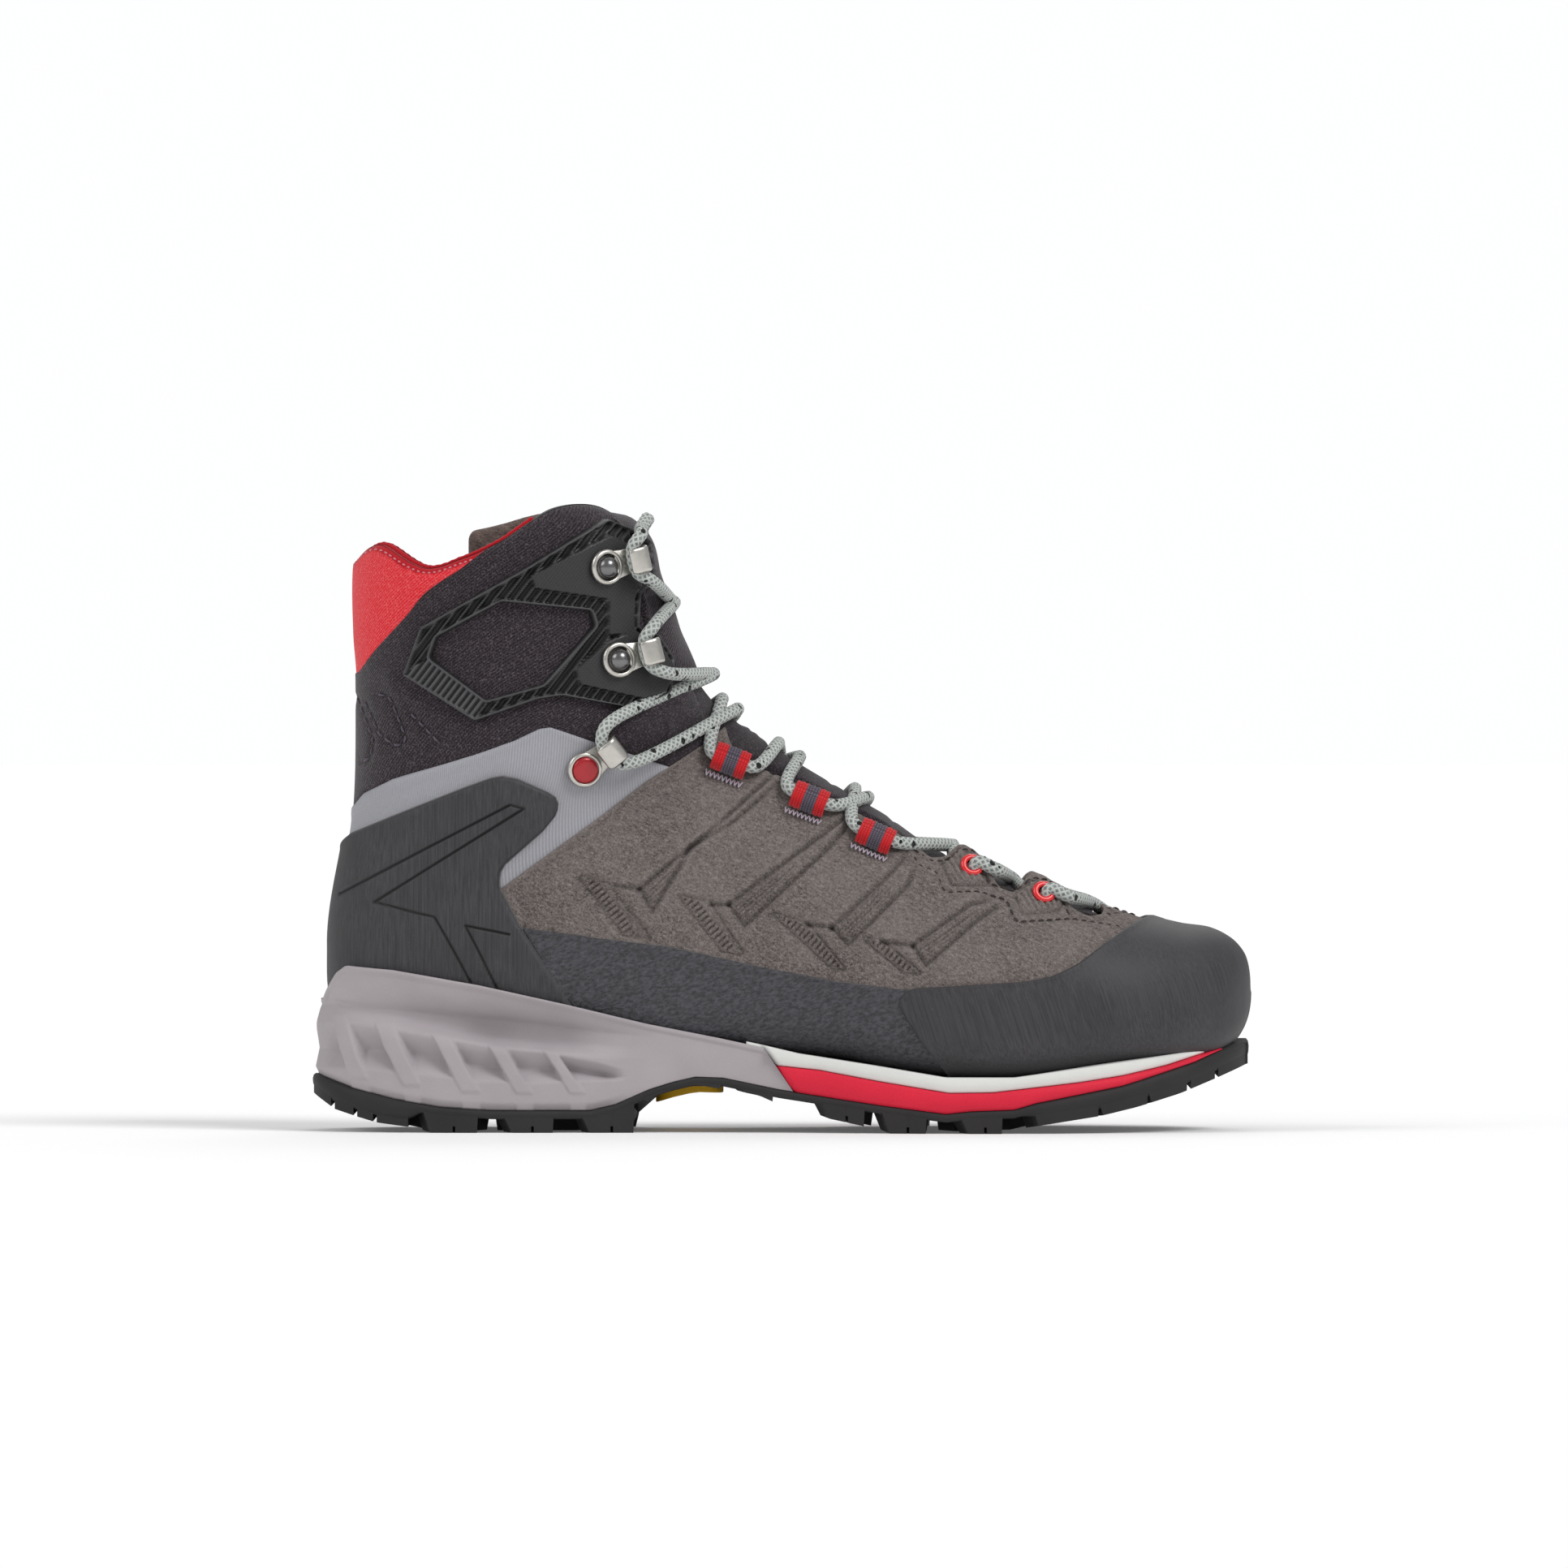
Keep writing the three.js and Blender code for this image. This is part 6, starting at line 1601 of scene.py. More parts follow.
def side_lug(x1, x2, side, depth, rear=3.0, front=0.3, skew=3.0, sipe=True):
    parts = []
    cut = (x1 + x2) / 2
    split = sipe and x2 - x1 > 10
    pieces = [(x1, cut - 0.45, rear, 0.0), (cut + 0.45, x2, 0.0, front)] if split else [(x1, x2, rear, front)]
    if split:  # the sipe is only a notch: above it the lug is whole
        outer, root = edge_part(cut - 1.2, cut + 1.2, side, 3, 0.6), edge_part(cut - 1.2, cut + 1.2, side, 3, 0.5)
        back = [[cut + 1.2 - skew, side * (abs(outer[0][1]) - depth)], [cut - 1.2 - skew, side * (abs(outer[0][1]) - depth)]]
        parts.append(prism(np.vstack([outer, back]), np.vstack([root, back]), lambda x: TREAD_AT(x) + 2.1, ROOT_AT))
    for a, b, back, fore in pieces:
        outer = edge_part(a, b, side)
        inner = np.array([[b - skew, side * (abs(outer[-1][1]) - depth)], [a - skew, side * (abs(outer[0][1]) - depth)]])
        bottom = np.vstack([outer, inner])
        wide = edge_part(a - back, b + fore, side, grow=0.55)
        wide_inner = inner + [[fore, -side * 1.2], [-back, -side * 1.2]]
        parts.append(prism(bottom, np.vstack([wide, wide_inner]), TREAD_AT, ROOT_AT))
    return parts


def lugs():
    parts = []
    for x1, x2 in [(-17.5, -2.6), (8.8, 21.9), (34, 48), (52.5, 60), (68, 76), (84.5, 93), (111.5, 122.5), (131, 142.5), (156.5, 167)]:
        for side in (-1, 1):
            shift_x = 0 if side < 0 else 2
            deep = 13 if 50 < x1 < 100 else 17
            parts += side_lug(x1 + shift_x, x2 + shift_x, side, deep)
    for x1, x2 in [(179, 198.2), (199.8, 214.2), (215.6, 227.2)]:
        for side in (-1, 1):
            parts += side_lug(x1, x2, side, 16 - (x1 - 179) * 0.1, 2.0, 0.2, 4.0, sipe=False)
    # toe block and heel block: slices of the outline between two x
    for x1, x2 in [(228.5, 236.5), (237.6, 248.5), (-57, -50.2), (-49, -42.8), (-41.6, -36.4), (-35.2, -25)]:
        ring = OUTLINE + (OUTLINE - [95, 0]) / np.linalg.norm(OUTLINE - [95, 0], axis=1)[:, None] * 0.6
        low_side = ring[(ring[:, 0] > x1) & (ring[:, 0] < x2)]
        a = low_side[low_side[:, 1] < 0]
        b = low_side[low_side[:, 1] >= 0]
        a, b = a[np.argsort(a[:, 0])], b[np.argsort(-b[:, 0])]
        half = lambda x, sgn: np.interp(x, *(lambda h: (h[np.argsort(h[:, 0])][:, 0], h[np.argsort(h[:, 0])][:, 1]))(ring[ring[:, 1] * sgn > 0]))
        lo, hi = max(x1, ring[:, 0].min() + 0.4), min(x2, ring[:, 0].max() - 0.4)
        poly = np.vstack([[lo, half(lo, -1)], a[(a[:, 0] > lo + 0.2) & (a[:, 0] < hi - 0.2)], [hi, half(hi, -1)], [hi, half(hi, 1)],
                          b[(b[:, 0] > lo + 0.2) & (b[:, 0] < hi - 0.2)], [lo, half(lo, 1)]])
        parts.append(prism(poly, poly, TREAD_AT, ROOT_AT))
    # middle lugs: blocks under the heel, chevrons under the ball
    for x in (-22, -7, 9, 25, 39):
        poly = np.array([[x - 5.5, -8], [x + 4.5, -8], [x + 7, 0], [x + 4.5, 8], [x - 5.5, 8], [x - 3, 0]])
        parts.append(prism(poly, (poly - [x, 0]) * 1.15 + [x, 0], TREAD_AT, ROOT_AT))
    for x in (116, 134, 152, 170, 188, 206):
        for side in (-1, 1):
            poly = np.array([[x - 5, side * 3], [x + 4, side * 3], [x + 9, side * 19], [x, side * 19]])
            mid = poly.mean(0)
            parts.append(prism(poly, (poly - mid) * 1.12 + mid, TREAD_AT, ROOT_AT))
    obj = mesh_object("outsole_lugs", *merge(parts), MAT["outsole"], flat=True)
    return bake(bevel(obj, 0.55, 2, 30))


own(outsole(), "foot", "outsole")
own(lugs(), "foot")


def arch_insert():
    """Yellow insert under the arch with a rounded rim and three shallow grooves."""
    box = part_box("arch_insert")
    cx, half = (box[0][0] + box[1][0]) / 2 / MM, (box[1][0] - box[0][0]) / 2 / MM
    wide = (box[1][1] - box[0][1]) / 2 / MM
    rows, around = 14, 72
    verts = []
    for k in range(rows + 1):
        f = k / rows
        ease = math.sqrt(1 - (1 - min(1, f * 4)) ** 2) if f < 0.25 else 1
        size = 1 - 0.0 if f < 0.2 else 1 - (f - 0.2) / 0.8
        a = np.arange(around) * 2 * math.pi / around
        x = cx + half * size * np.sign(np.cos(a)) * np.abs(np.cos(a)) ** 0.5
        y = wide * size * np.sign(np.sin(a)) * np.abs(np.sin(a)) ** 0.5
        low = line_at(OUTSOLE_TOP, x) - 0.8 - 4.6
        z = low + 2.2 * (1 - ease) if f < 0.25 else low + 0.5 * np.exp(-((np.mod(y, 7) - 3.5) / 0.7) ** 2)
        verts.append(np.column_stack([x, y, z + np.zeros(around)]))
    grid = np.array(verts).reshape(-1, 3)
    return mesh_object("arch_insert_yellow", grid, grid_faces(rows + 1, around, close_cols=True), MAT["yellow"])


own(arch_insert(), "foot", "arch_insert")
for name, key in (("shank", "shank"), ("lasting_board", "board"), ("heel_counter", "stiffener"), ("toe_puff", "stiffener")):
    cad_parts[name].data.materials.clear()
    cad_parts[name].data.materials.append(MAT[key])

# ------------------------------------------------------------------ inside of the foot


def foot_lining():
    """The bootie that lines the foot, from the ankle to the toe."""
    s = np.linspace(on_side([(20, 112)], -1)[0][0], END - 1.5, 70)
    t = np.linspace(0.42, 2 * math.pi - 0.42, 90)
    S, T = np.meshgrid(s, t, indexing="ij")
    off = -5.0 + 0.25 * np.sin(S / 5) * np.sin(T * 9)
    verts = last_point(S, T, off).reshape(-1, 3)
    uv = np.column_stack([S.ravel(), T.ravel() * 45]) * 0.01
    return mesh_object("foot_lining_fabric", verts, grid_faces(70, 90), MAT["lining"], uv)


bend(foot_lining(), (10.6, 96), (10.6, 126), "foot_lining")


def footbed():
    """A contoured insole: hollow under the heel, raised at the arch, with a bevelled rim."""
    n, m = 90, 36
    xs = np.linspace(-38, 232, n)
    verts = []
    for i, x in enumerate(xs):
        z0 = float(np.interp(x, [-62, -46, 1, 52, 111, 132, 157, 177, 200, 222, 250], [37, 36.5, 34.5, 27.5, 24.4, 20.6, 17.3, 18, 21, 24.2, 28])) + 9.7
        left = halves([x], [z0], -1)[0] - 6.4
        right = halves([x], [z0], 1)[0] - 6.4
        centre = 8 * max(0, (x - BALL) / (TIP - BALL)) ** 2
        for j in range(m):
            w = -1 + 2 * j / (m - 1)
            y = centre + (right if w > 0 else left) * w
            rim = 2.2 * abs(w) ** 4 * (1 - smooth(60, 120, x)) + 2.4 * max(0, w) ** 2 * math.exp(-((x - 55) / 28) ** 2)
            end = 1.6 * (abs(2 * i / (n - 1) - 1)) ** 10
            verts.append((x, y, z0 - 0.6 + rim - end - 1.0 * math.exp(-((x + 12) / 16) ** 2 - (w / 0.6) ** 2)))
    uv = np.array(verts)[:, :2] * 0.01
    obj = mesh_object("footbed_insole", verts, grid_faces(n, m), MAT["footbed"], uv)
    solid = obj.modifiers.new("thick", "SOLIDIFY")
    solid.thickness = 3.2 * MM
    solid.offset = -1
    return bake(obj)


own(footbed(), "foot", "footbed")

# ------------------------------------------------------------------ tongue


TONGUE_T = 0.86
tongue_s = (on_side([(52, 196)], -1)[0][0] - 6, on_side([(197, 74)], -1)[0][0])


def tongue_depth(s):
    """Offset of the tongue's outside: level with the cuff at the shaft, deeper under the eyelets."""
    x = section(s)[..., 0]
    return -1.4 - 2.9 * smooth(128, 152, x) + 1.9 * smooth(183, 190, x) + 1.2 * np.exp(-((x - 60) / 14) ** 2)


def tongue_swell(S, T):
    """The padding rises between the eyestays."""
    place_ = last_point(S, T)
    return 2.0 * smooth(72, 84, place_[..., 0]) * (1 - smooth(126, 146, place_[..., 0])) * (1 - smooth(11.5, 14.0, np.abs(place_[..., 1])))


def tongue_half(s):
    x = section(s)[..., 0]
    return np.interp(x, [40, 60, 75, 90, 120, 145, 165, 190, 200], [0.60, 0.62, 0.72, 0.80, 0.70, 0.64, 0.60, 0.5, 0.4])


def tongue_grid(rows, cols, inset=0.0):
    s = np.linspace(*tongue_s, rows)
    w = np.linspace(-1, 1, cols)
    S, W = np.meshgrid(s, w, indexing="ij")
    T = W * tongue_half(S)
    edge = np.minimum(np.minimum((1 - np.abs(W)) * 20, (S - tongue_s[0]) / 3.0), 1)
    roll = np.sqrt(np.clip(1 - (1 - np.clip(edge, 0, 1)) ** 2, 0, 1))
    return S, T, W, roll


def tongue():
    rows, cols = 34, 13
    S, T, W, roll = tongue_grid(rows, cols)
    outside = last_point(S, T, tongue_depth(S)).reshape(-1, 3)
    inner = last_point(S, T, tongue_depth(S) - 4.5).reshape(-1, 3)
    n = rows * cols
    verts = np.vstack([outside, inner])
    faces = grid_faces(rows, cols) + [tuple(n + i for i in f[::-1]) for f in grid_faces(rows, cols)]
    border = [i for i in range(cols)] + [i * cols + cols - 1 for i in range(1, rows)] \
        + [(rows - 1) * cols + i for i in range(cols - 2, -1, -1)] + [i * cols for i in range(rows - 2, 0, -1)]
    faces += [(border[(k + 1) % len(border)], b, n + b, n + border[(k + 1) % len(border)]) for k, b in enumerate(border)]
    x = section(S)[..., 0].ravel()
    hold = np.where(np.abs(W.ravel()) > 0.9, 1.0, 0.0)
    for line in (71, 92, 112, 132, 150, 168, 186):
        hold = np.maximum(hold, 0.7 * np.exp(-((x - line) / 2.0) ** 2))
    hold = np.concatenate([hold, np.ones(n)])
    move = inflate("tongue_body", verts, faces, hold, 4.0, 2.2)
    puff = carry(outside, move[:n])
    fine_rows, fine_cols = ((330, 110))
    S, T, W, roll = tongue_grid(fine_rows, fine_cols)
    x = section(S)[..., 0]
    channel = sum(np.exp(-((x - line) / 1.0) ** 2) for line in (71, 92, 112, 132, 150, 168, 186))
    piping = 1.0 * np.exp(-((np.abs(W) - 0.93) / 0.05) ** 2)
    folds = 0.35 * np.sin(S / 3.1 + 2 * np.sin(W * 3)) * np.exp(-((x - 72) / 14) ** 2)
    off = tongue_depth(S) - 4.5 * (1 - roll) - 0.5 * np.minimum(channel, 1) + piping * 0.6 + folds
    off = off + tongue_swell(S, T)
    top = puff(last_point(S, T, off).reshape(-1, 3))
    under = last_point(S, T, tongue_depth(S) - 4.6).reshape(-1, 3)[:fine_cols * 40]
    uv = np.column_stack([S.ravel(), T.ravel() * 45])
    n = len(top)
    faces = grid_faces(fine_rows, fine_cols) + [tuple(n + i for i in f[::-1]) for f in grid_faces(40, fine_cols)]
    return mesh_object("tongue_padded", np.vstack([top, under]), faces, MAT["black"], np.vstack([uv, uv[:fine_cols * 40]]) * 0.01)


bend(tongue(), (60, 122.4), (48, 143.2), "tongue")

# ------------------------------------------------------------------ hooks, rivets, loops, eyelets

HOOKS = [("top_hook", 37.5, 183, 12, 2.3, "cuff"), ("middle_hook", 41.7, 152.8, 14, 2.3, "cuff"), ("ankle_hook", 31.9, 117.6, 37, 0.0, "foot")]
LOOPS = [(78.7, 118.4, -22), (104.3, 105.6, -24), (125.5, 93.4, -26)]


def hook_mesh(low):
    """A pressed steel lace hook: a ring with a raised rim, an arm, and a lip curled back over the lace."""
    ring = lathe([(4.35, low + 0.15), (4.3, low + 1.35), (4.5, low + 1.7), (4.85, low + 1.8), (5.35, low + 1.7), (5.7, low + 1.3),
                  (5.85, low + 0.8), (5.8, low + 0.1), (4.5, low)], 56)
    ring = (ring[0], ring[1] + [(len(ring[0]) - 56 + j, len(ring[0]) - 56 + (j + 1) % 56, (j + 1) % 56, j) for j in range(56)])
    top = low + 7.0
    path = [(3.2, low + 0.9), (5.5, low + 0.8), (8, low + 0.7), (10.3, low + 0.9)]
    mid = (low + 0.9 + top) / 2
    for a in np.linspace(-70, 90, 12):
        path.append((10.7 + 2.6 * math.cos(math.radians(a)), mid + (top - mid) * math.sin(math.radians(a))))
    path += [(9.4, top), (7.8, top - 0.15), (6.7, top - 0.45), (6.2, top - 0.9)]
    path = even(catmull([(u, 0, w) for u, w in path], 6), 0.45)
    d = np.gradient(path, axis=0)
    d /= np.linalg.norm(d, axis=1)[:, None]
    normal = np.stack([-d[:, 2], np.zeros(len(d)), d[:, 0]], 1)
    n = len(path)
    along = np.linspace(0, 1, n)
    half = np.interp(along, [0, 0.12, 0.35, 0.55, 0.93, 1], [4.7, 4.3, 3.7, 4.15, 4.15, 3.7])
    shape = [(-1, -0.35), (-0.96, -0.5), (0, -0.52), (0.96, -0.5), (1, -0.35), (1, 0.3), (0.9, 0.55), (0.72, 0.62), (0, 0.6), (-0.72, 0.62), (-0.9, 0.55), (-1, 0.3)]
    verts, m = [], len(shape)
    for i in range(n):
        for a, b in shape:
            verts.append(path[i] + np.array([0, half[i] * a, 0]) - normal[i] * b * 1.1)
    faces = grid_faces(n, m, close_cols=True)
    faces += [tuple(range(m))[::-1], tuple(range((n - 1) * m, n * m))]
    return ring, (np.array(verts), faces)


def dome_mesh(low):
    profile = [(0, 4.4), (0.9, 4.32), (1.8, 4.0), (2.55, 3.45), (3.1, 2.7), (3.42, 1.9), (3.52, 1.2), (4.25, 1.05), (4.28, 0.2), (0, 0.1)]
    a = lathe([(max(r, 0.01), low + z) for r, z in profile], 44)
    return a


def cap_mesh(low):
    profile = [(0, 2.55), (2.3, 2.53), (3.4, 2.42), (4.0, 2.15), (4.22, 1.75), (4.26, 1.3), (4.2, 0.3), (0, 0.2)]
    return lathe([(max(r, 0.01), low + z) for r, z in profile], 44)


for label, side in SIDES:
    for name, x, z, direction, base, body in HOOKS:
        at = seat(x, z, side, direction)
        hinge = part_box(f"{name}_rivet_{label}")
        centre = (np.array(hinge[0]) + np.array(hinge[1])) / 2 / MM
        o, u, v, w = at
        o = o + u * ((centre - o) @ u) + v * ((centre - o) @ v)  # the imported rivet's own axis
        low = base + 0.35
        parts = hook_mesh(low)
        own(mesh_object(f"{name}_{label}_steel", *merge([(place(p, (o, u, v, w)), f) for p, f in parts]), MAT["steel"]), body, f"{name}_{label}")
        if name == "ankle_hook":
            vs, fs = cap_mesh(low)
            own(mesh_object(f"{name}_cap_{label}", place(vs, (o, u, v, w)), fs, MAT["cap_red"]), body, f"{name}_rivet_{label}")
        else:
            vs, fs = dome_mesh(low)
            own(mesh_object(f"{name}_dome_{label}", place(vs, (o, u, v, w)), fs, MAT["dome"]), body, f"{name}_rivet_{label}")


def loop_mesh():
    """A folded webbing loop: a flat tube; tone marks the bands across its length."""
    length, width, height = 11.5, 9.4, 6.6
    n, m = 47, 56
    a = np.arange(m) * 2 * math.pi / m
    power = lambda c, e: np.sign(c) * np.abs(c) ** e
    verts, tone, uv = [], [], []
    for wall_, inset, flip in ((0, 0.0, 1), (1, 0.95, -1)):
        for i in range(n):
            f = i / (n - 1)
            x = -length / 2 + length * f
            wave_ = 0.12 * math.sin(f * math.pi * 13)
            end = 0.35 * (abs(2 * f - 1) ** 8)
            y = (width / 2 - inset + wave_ * (1 - wall_) - end * (1 - wall_)) * power(np.cos(a), 0.62)
            z = height / 2 + 0.2 + (height / 2 - inset + wave_ * (1 - wall_) - end * (1 - wall_)) * power(np.sin(a), 0.72)
            verts.append(np.column_stack([np.full(m, x), y, z]))
            tone.extend([1.0 if (f < 0.34 or f > 0.7) else 0.0] * m)
            uv.extend(np.column_stack([np.full(m, x), a * 4.0]))
    grid = np.vstack(verts)
    outer = grid_faces(n, m, close_cols=True)
    inner = [tuple(n * m + i for i in f[::-1]) for f in outer]
    rims = []
    for j in range(m):
        k = (j + 1) % m
        rims.append((j, n * m + j, n * m + k, k))
        e = (n - 1) * m
        rims.append((e + k, n * m + e + k, n * m + e + j, e + j))
    return grid, [f[::-1] for f in outer + inner + rims], np.array(tone), np.array(uv) * 0.01


def tilted(at, side, degrees):
    """A seat leaned outwards about its own u direction."""
    o, u, v, w = at
    lean = math.radians(degrees) * (1 if v[2] > 0 else -1)
    return o, u, v * math.cos(lean) + w * math.sin(lean), w * math.cos(lean) - v * math.sin(lean)


def zigzag():
    """The bar tack: dense zigzag stitches just below the loop."""
    parts = []
    for i in range(9):
        x = -6.4 + 1.4 * i
        for near, far, start in ((-4.4, -7.0, x), (-7.0, -4.4, x + 0.7)):
            a, b = np.array([start, near, 0.7]), np.array([start + 0.7, far, 0.7])
            line = np.array([a + (b - a) * k / 4 for k in range(5)])
            line[:, 2] += 0.3 * np.sin(np.linspace(0, math.pi, 5))
            parts.append(tube(line, 0.27 * np.array([0.6, 1, 1, 1, 0.6]), 6))
    return parts


for label, side in SIDES:
    for i, (x, z, direction) in enumerate(LOOPS):
        at = seat(x, z, side, direction)
        vs, fs, tone, uv = loop_mesh()
        own(mesh_object(f"loop_{i + 1}_{label}_webbing", place(vs, at), fs, MAT["webbing"], uv, colour=tone), "foot", f"webbing_loop_{i + 1}_{label}")
        o, u, v, w = at
        down = v if v[2] > 0 else -v
        tack = [(place(p, (o, u, down, w)), f) for p, f in zigzag()]
        own(mesh_object(f"loop_{i + 1}_{label}_bartack", *merge(tack), MAT["thread_pale"]), "foot")
    for i, (x, z) in enumerate(EYELETS):
        profile = [(2.3, -2.0), (2.05, 0.2), (1.85, 0.75), (2.1, 1.25), (2.7, 1.45), (3.35, 1.3), (3.8, 0.85), (3.92, 0.4), (3.0, 0.2), (2.6, -2.0)]
        vs, fs = lathe(profile, 48)
        fs = fs + [(len(vs) - 48 + j, len(vs) - 48 + (j + 1) % 48, (j + 1) % 48, j) for j in range(48)]
        vs[:, :2] *= 1 + 0.012 * np.cos(np.arctan2(vs[:, 1], vs[:, 0]) * 12)[:, None]
        own(mesh_object(f"eyelet_{i + 1}_{label}_ring", place(vs, tilted(seat(x, z, side, 0, 2.65), side, 34)), fs, MAT["eyelet"]), "foot", f"eyelet_{i + 1}_{label}")

# ------------------------------------------------------------------ lace

PLATE, MOUTH, REACH = 1.2, 4.6, 14


def lace_path(start):
    points = [np.array([202.5, start * 1.5, 70.3]), np.array([197.5, start * 6.5, 73.6])]
    side = start

    def beside(x, z, lift):
        o, _, _, w = seat(x, z, side)
        return o + w * (lift + flap_lift((x, z))[0])

    def cross(x, z, apart=0.0):
        """Over the tongue to the other side; the two strands cross apart along the boot's front line."""
        nonlocal side
        x, z = x + apart * start, z - apart * start * 0.65
        points.extend([np.array([x, side * 5.0, z]), np.array([x - 0.5, -side * 5.0, z + 0.5])])
        side = -side

    for (x, z), inner, over in ((EYELETS[1], (176.5, 79), (171.5, 81.4)), (EYELETS[0], (154, 87), (151.5, 92.2))):
        points += [beside(x + 6.5, z - 1.8, 2.2), beside(x + 0.6, z, 2.6), beside(x - 0.2, z, -2.6), beside(*inner, -3.9)]
        cross(*over)
    for (x, z, _), over in zip(LOOPS[::-1], ((121.8, 109, 2.0), (98.2, 122.9, 3.2), (78.6, 137.6, 2.4))):
        points += [beside(x + 7.5, z - 2.2, 3.5), beside(x, z, 3.6), beside(x - 7, z + 4, 3.6)]
        cross(*over)
    for (name, x, z, direction, base, _), over in zip(HOOKS[::-1], ((73, 148), (60.8, 171.5), None)):
        o, u, v, w = seat(x, z, side, direction)
        lift = base + 0.3 + PLATE + MOUTH / 2
        for a, b in ((REACH - 0.5, 7.5), (REACH - 4.6, 4), (REACH - 4.6, -4), (REACH - 0.5, -7.5)):
            points.append(o + u * a + v * b * side + w * lift)
        if over:
            cross(*over)
    y = points[-1][1]
    points += [np.array([50.2, y * 0.78, 195.6]), np.array([52.4, y * 0.62, 199.2])]
    return catmull(points, 24)


def lace():
    parts, uvs = [], []
    step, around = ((0.5, 18))
    for start in (1, -1):
        line = even(lace_path(start), step)
        n = len(line)
        run = np.arange(n) * step
        turn = np.arange(around) * 2 * math.pi / around
        a = np.cos(6 * turn[None, :] + run[:, None] * math.pi)
        b = np.cos(6 * turn[None, :] - run[:, None] * math.pi)
        radius = 2.02 + 0.13 * np.maximum(a, b)
        parts.append(tube(line, radius, around))
        uvs.append(np.column_stack([np.repeat(run, around), np.tile(turn / (2 * math.pi), n)]))
    verts, faces = merge(parts)
    return mesh_object("lace_braided", verts, faces, MAT["lace"], np.vstack(uvs) * 0.01)


bend(lace(), (50, 129.3), (41.5, 144), "lace")

# ------------------------------------------------------------------ stitching

STITCH_UP = [(138.6, 91.1), (145.1, 87), (155.5, 88.6), (158.3, 87.9), (162.4, 83.4), (162.9, 80.1), (170.6, 77.7), (177, 79.6), (183, 78.4),
             (187.1, 74.5), (189.6, 68.8)]
STITCH_LOW = [(138.6, 89), (141, 85.4), (145.9, 84.2), (148.7, 77.3), (159.2, 77.7), (168.9, 74.9), (171.8, 68), (190, 68.8), (207.8, 65.6)]


def on_last(side, off):
    def at(flat, rise):
        st = on_side(flat, side)
        return last_point(st[:, 0], st[:, 1], off + rise + flap_lift(flat))
    return at


def seam_threads():
    parts = []
    for _, side in SIDES:
        lines = [fillet(STITCH_UP, 1.5, False), fillet(STITCH_LOW, 1.5, False),
                 [(200.5, 70), (211.7, 70.4)], [(200.8, 71.6), (211.2, 71.9)]]
        parts += stitches(lines, on_last(side, 0.55), 1.9, 0.9, 0.33)
    return parts


own(mesh_object("suede_stitching", *merge(seam_threads()), MAT["thread_dark"]), "foot")


def on_cuff(side, off):
    """Places on the padded cuff, moved with its simulated swell."""
    def at(flat, rise):
        st = on_side(flat, side)
        return puff_out(last_point(st[:, 0], st[:, 1], off + rise))
    return at


def quilt_threads():
    parts = []
    for _, side in SIDES:
        parts += stitches(QUILT, on_cuff(side, -1.0), 2.2, 1.3, 0.36)
    return parts


def binding_threads():
    """Short stitches along the binding of the rear collar."""
    line = COLLAR_BACK[2:-4] + [0.3, -1.5]
    parts = []
    for _, side in SIDES:
        parts += stitches([line], on_cuff(side, -0.95), 0.9, 0.9, 0.3)
    return parts


own(mesh_object("cuff_stitching", *merge(quilt_threads()), MAT["thread_black"]), "cuff")
own(mesh_object("binding_stitching", *merge(binding_threads()), MAT["thread_pink"]), "cuff")

# ------------------------------------------------------------------ floor, light, camera


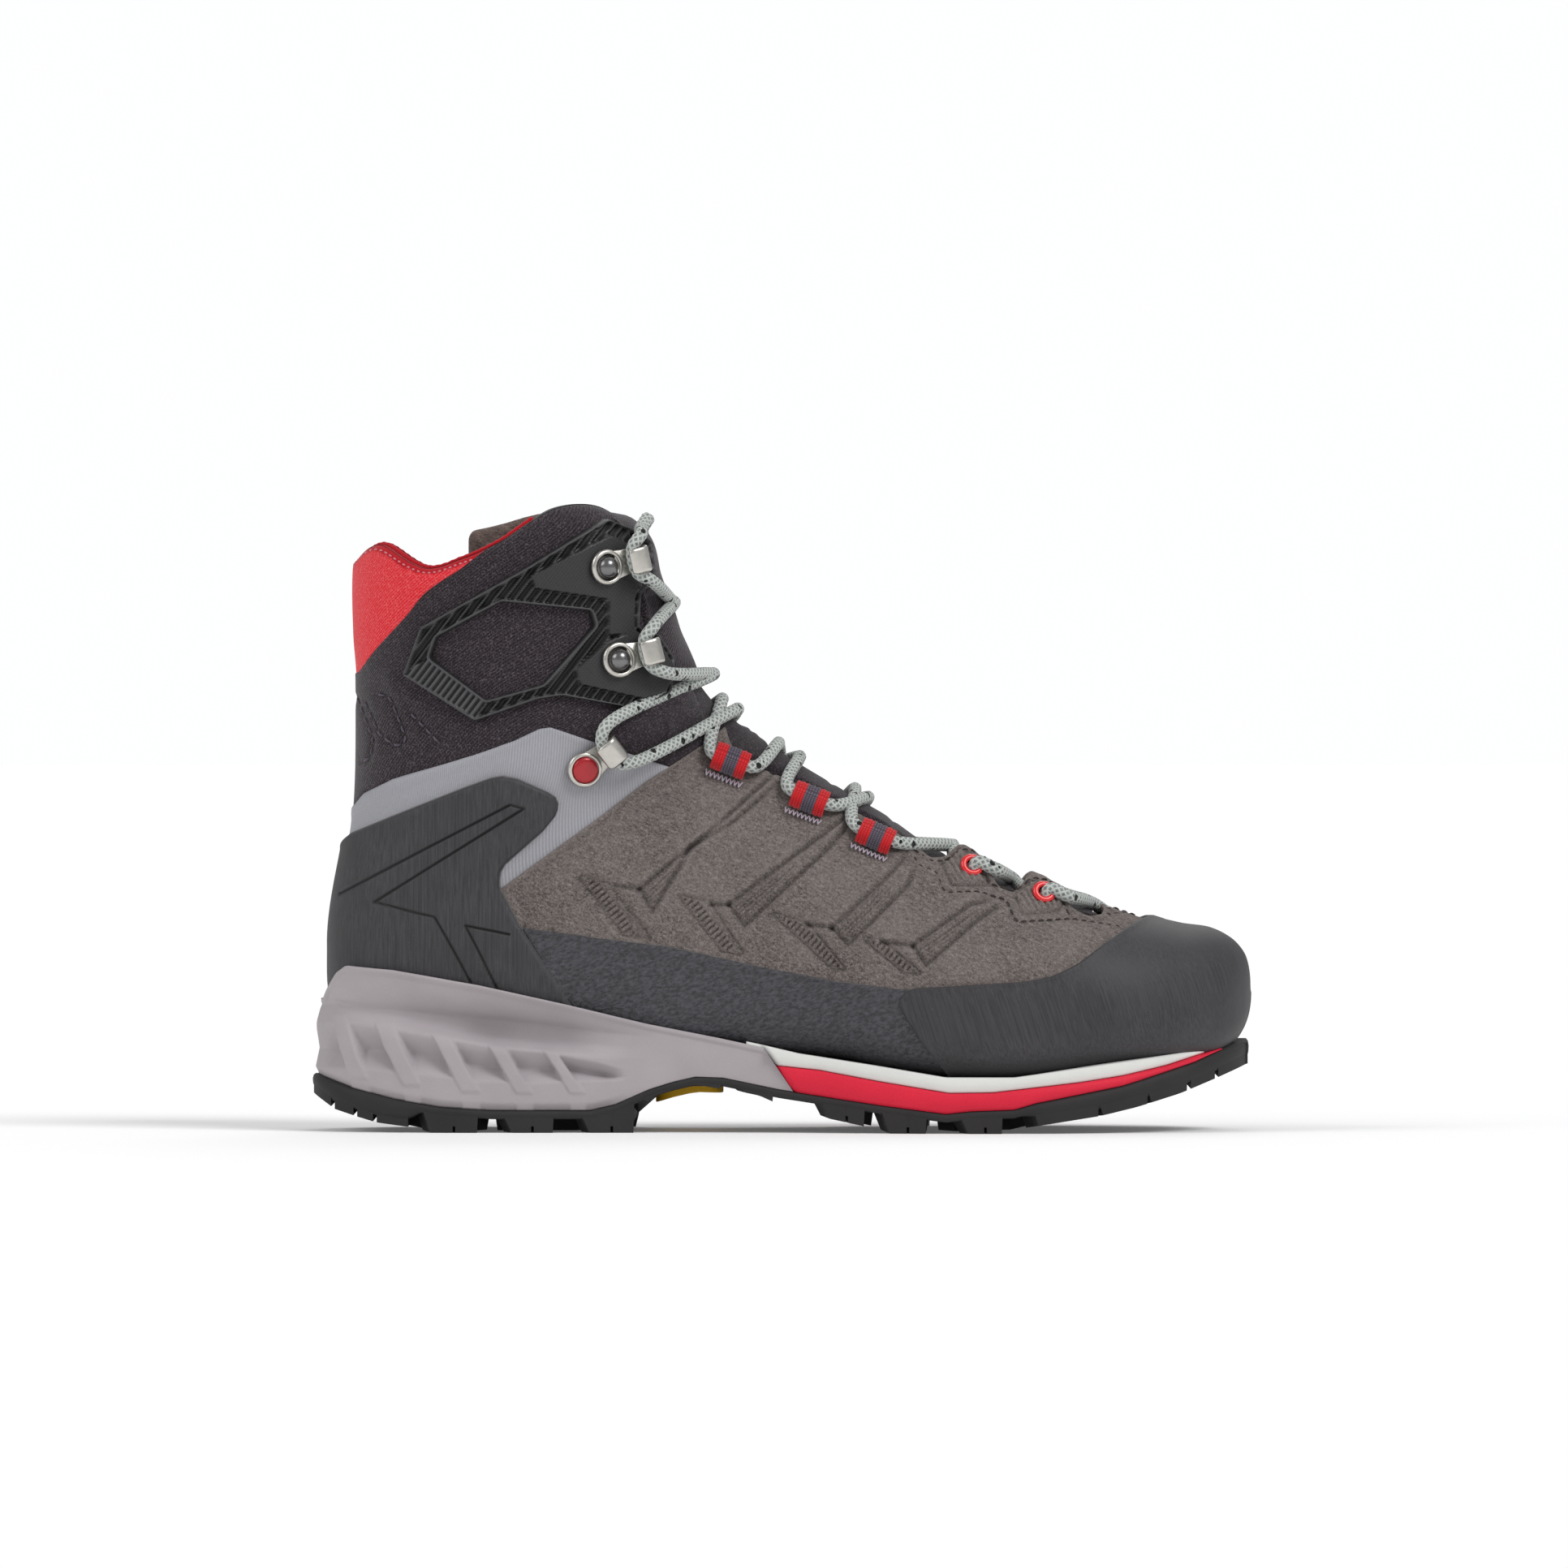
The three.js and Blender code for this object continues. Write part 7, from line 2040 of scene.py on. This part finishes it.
def floor():
    verts = [(-20000, -20000, 0), (20000, -20000, 0), (20000, 20000, 0), (-20000, 20000, 0)]
    mat = bpy.data.materials.new("floor")
    mat.use_nodes = True
    mat.node_tree.nodes["Principled BSDF"].inputs["Base Color"].default_value = (0.93, 0.93, 0.93, 1)
    mat.node_tree.nodes["Principled BSDF"].inputs["Emission Color"].default_value = (1, 1, 1, 1)
    mat.node_tree.nodes["Principled BSDF"].inputs["Emission Strength"].default_value = 0.09
    mat.node_tree.nodes["Principled BSDF"].inputs["Roughness"].default_value = 0.9
    mat.node_tree.nodes["Principled BSDF"].inputs["Specular IOR Level"].default_value = 0.2
    mesh_object("floor", verts, [(0, 1, 2, 3)], mat)


floor()


def soft_sun(name, towards, strength, angle):
    """Soft, even light from a direction."""
    light = bpy.data.lights.new(name, "SUN")
    light.energy = strength
    light.angle = math.radians(angle)
    obj = bpy.data.objects.new(name, light)
    obj.rotation_euler = Vector(towards).to_track_quat("Z", "Y").to_euler()
    bpy.context.scene.collection.objects.link(obj)


soft_sun("key", (0.55, -0.5, 0.75), 1.55, 28)
soft_sun("left", (-0.75, -0.35, 0.6), 0.75, 35)
soft_sun("back", (0.1, 0.75, 0.65), 0.45, 35)


def studio_world():
    """Pale surroundings; the camera sees them brighter than they light."""
    world = bpy.data.worlds.new("studio")
    world.use_nodes = True
    tree = world.node_tree
    path = tree.nodes.new("ShaderNodeLightPath")
    strength = tree.nodes.new("ShaderNodeMix")
    tree.links.new(path.outputs["Is Camera Ray"], strength.inputs[0])
    strength.inputs[2].default_value = 0.42
    strength.inputs[3].default_value = 1.0
    tree.links.new(strength.outputs[0], tree.nodes["Background"].inputs[1])
    tree.nodes["Background"].inputs[0].default_value = (0.99, 0.995, 1.0, 1)
    bpy.context.scene.world = world


studio_world()
bpy.context.scene.view_settings.view_transform = "Standard"

WIDE, CENTRE, DISTANCE, RISE = 510.6, (96.7, 0.0, 112.6), 6000.0, 0.4
camera = bpy.data.objects.new("camera", bpy.data.cameras.new("camera"))
camera.data.lens = 36 * DISTANCE / WIDE
camera.data.clip_end = 50
camera.location = [CENTRE[0] * MM, (CENTRE[1] - DISTANCE * math.cos(math.radians(RISE))) * MM, (CENTRE[2] + DISTANCE * math.sin(math.radians(RISE))) * MM]
camera.rotation_euler = (math.radians(90 - RISE), 0, 0)
bpy.context.scene.collection.objects.link(camera)
bpy.context.scene.camera = camera
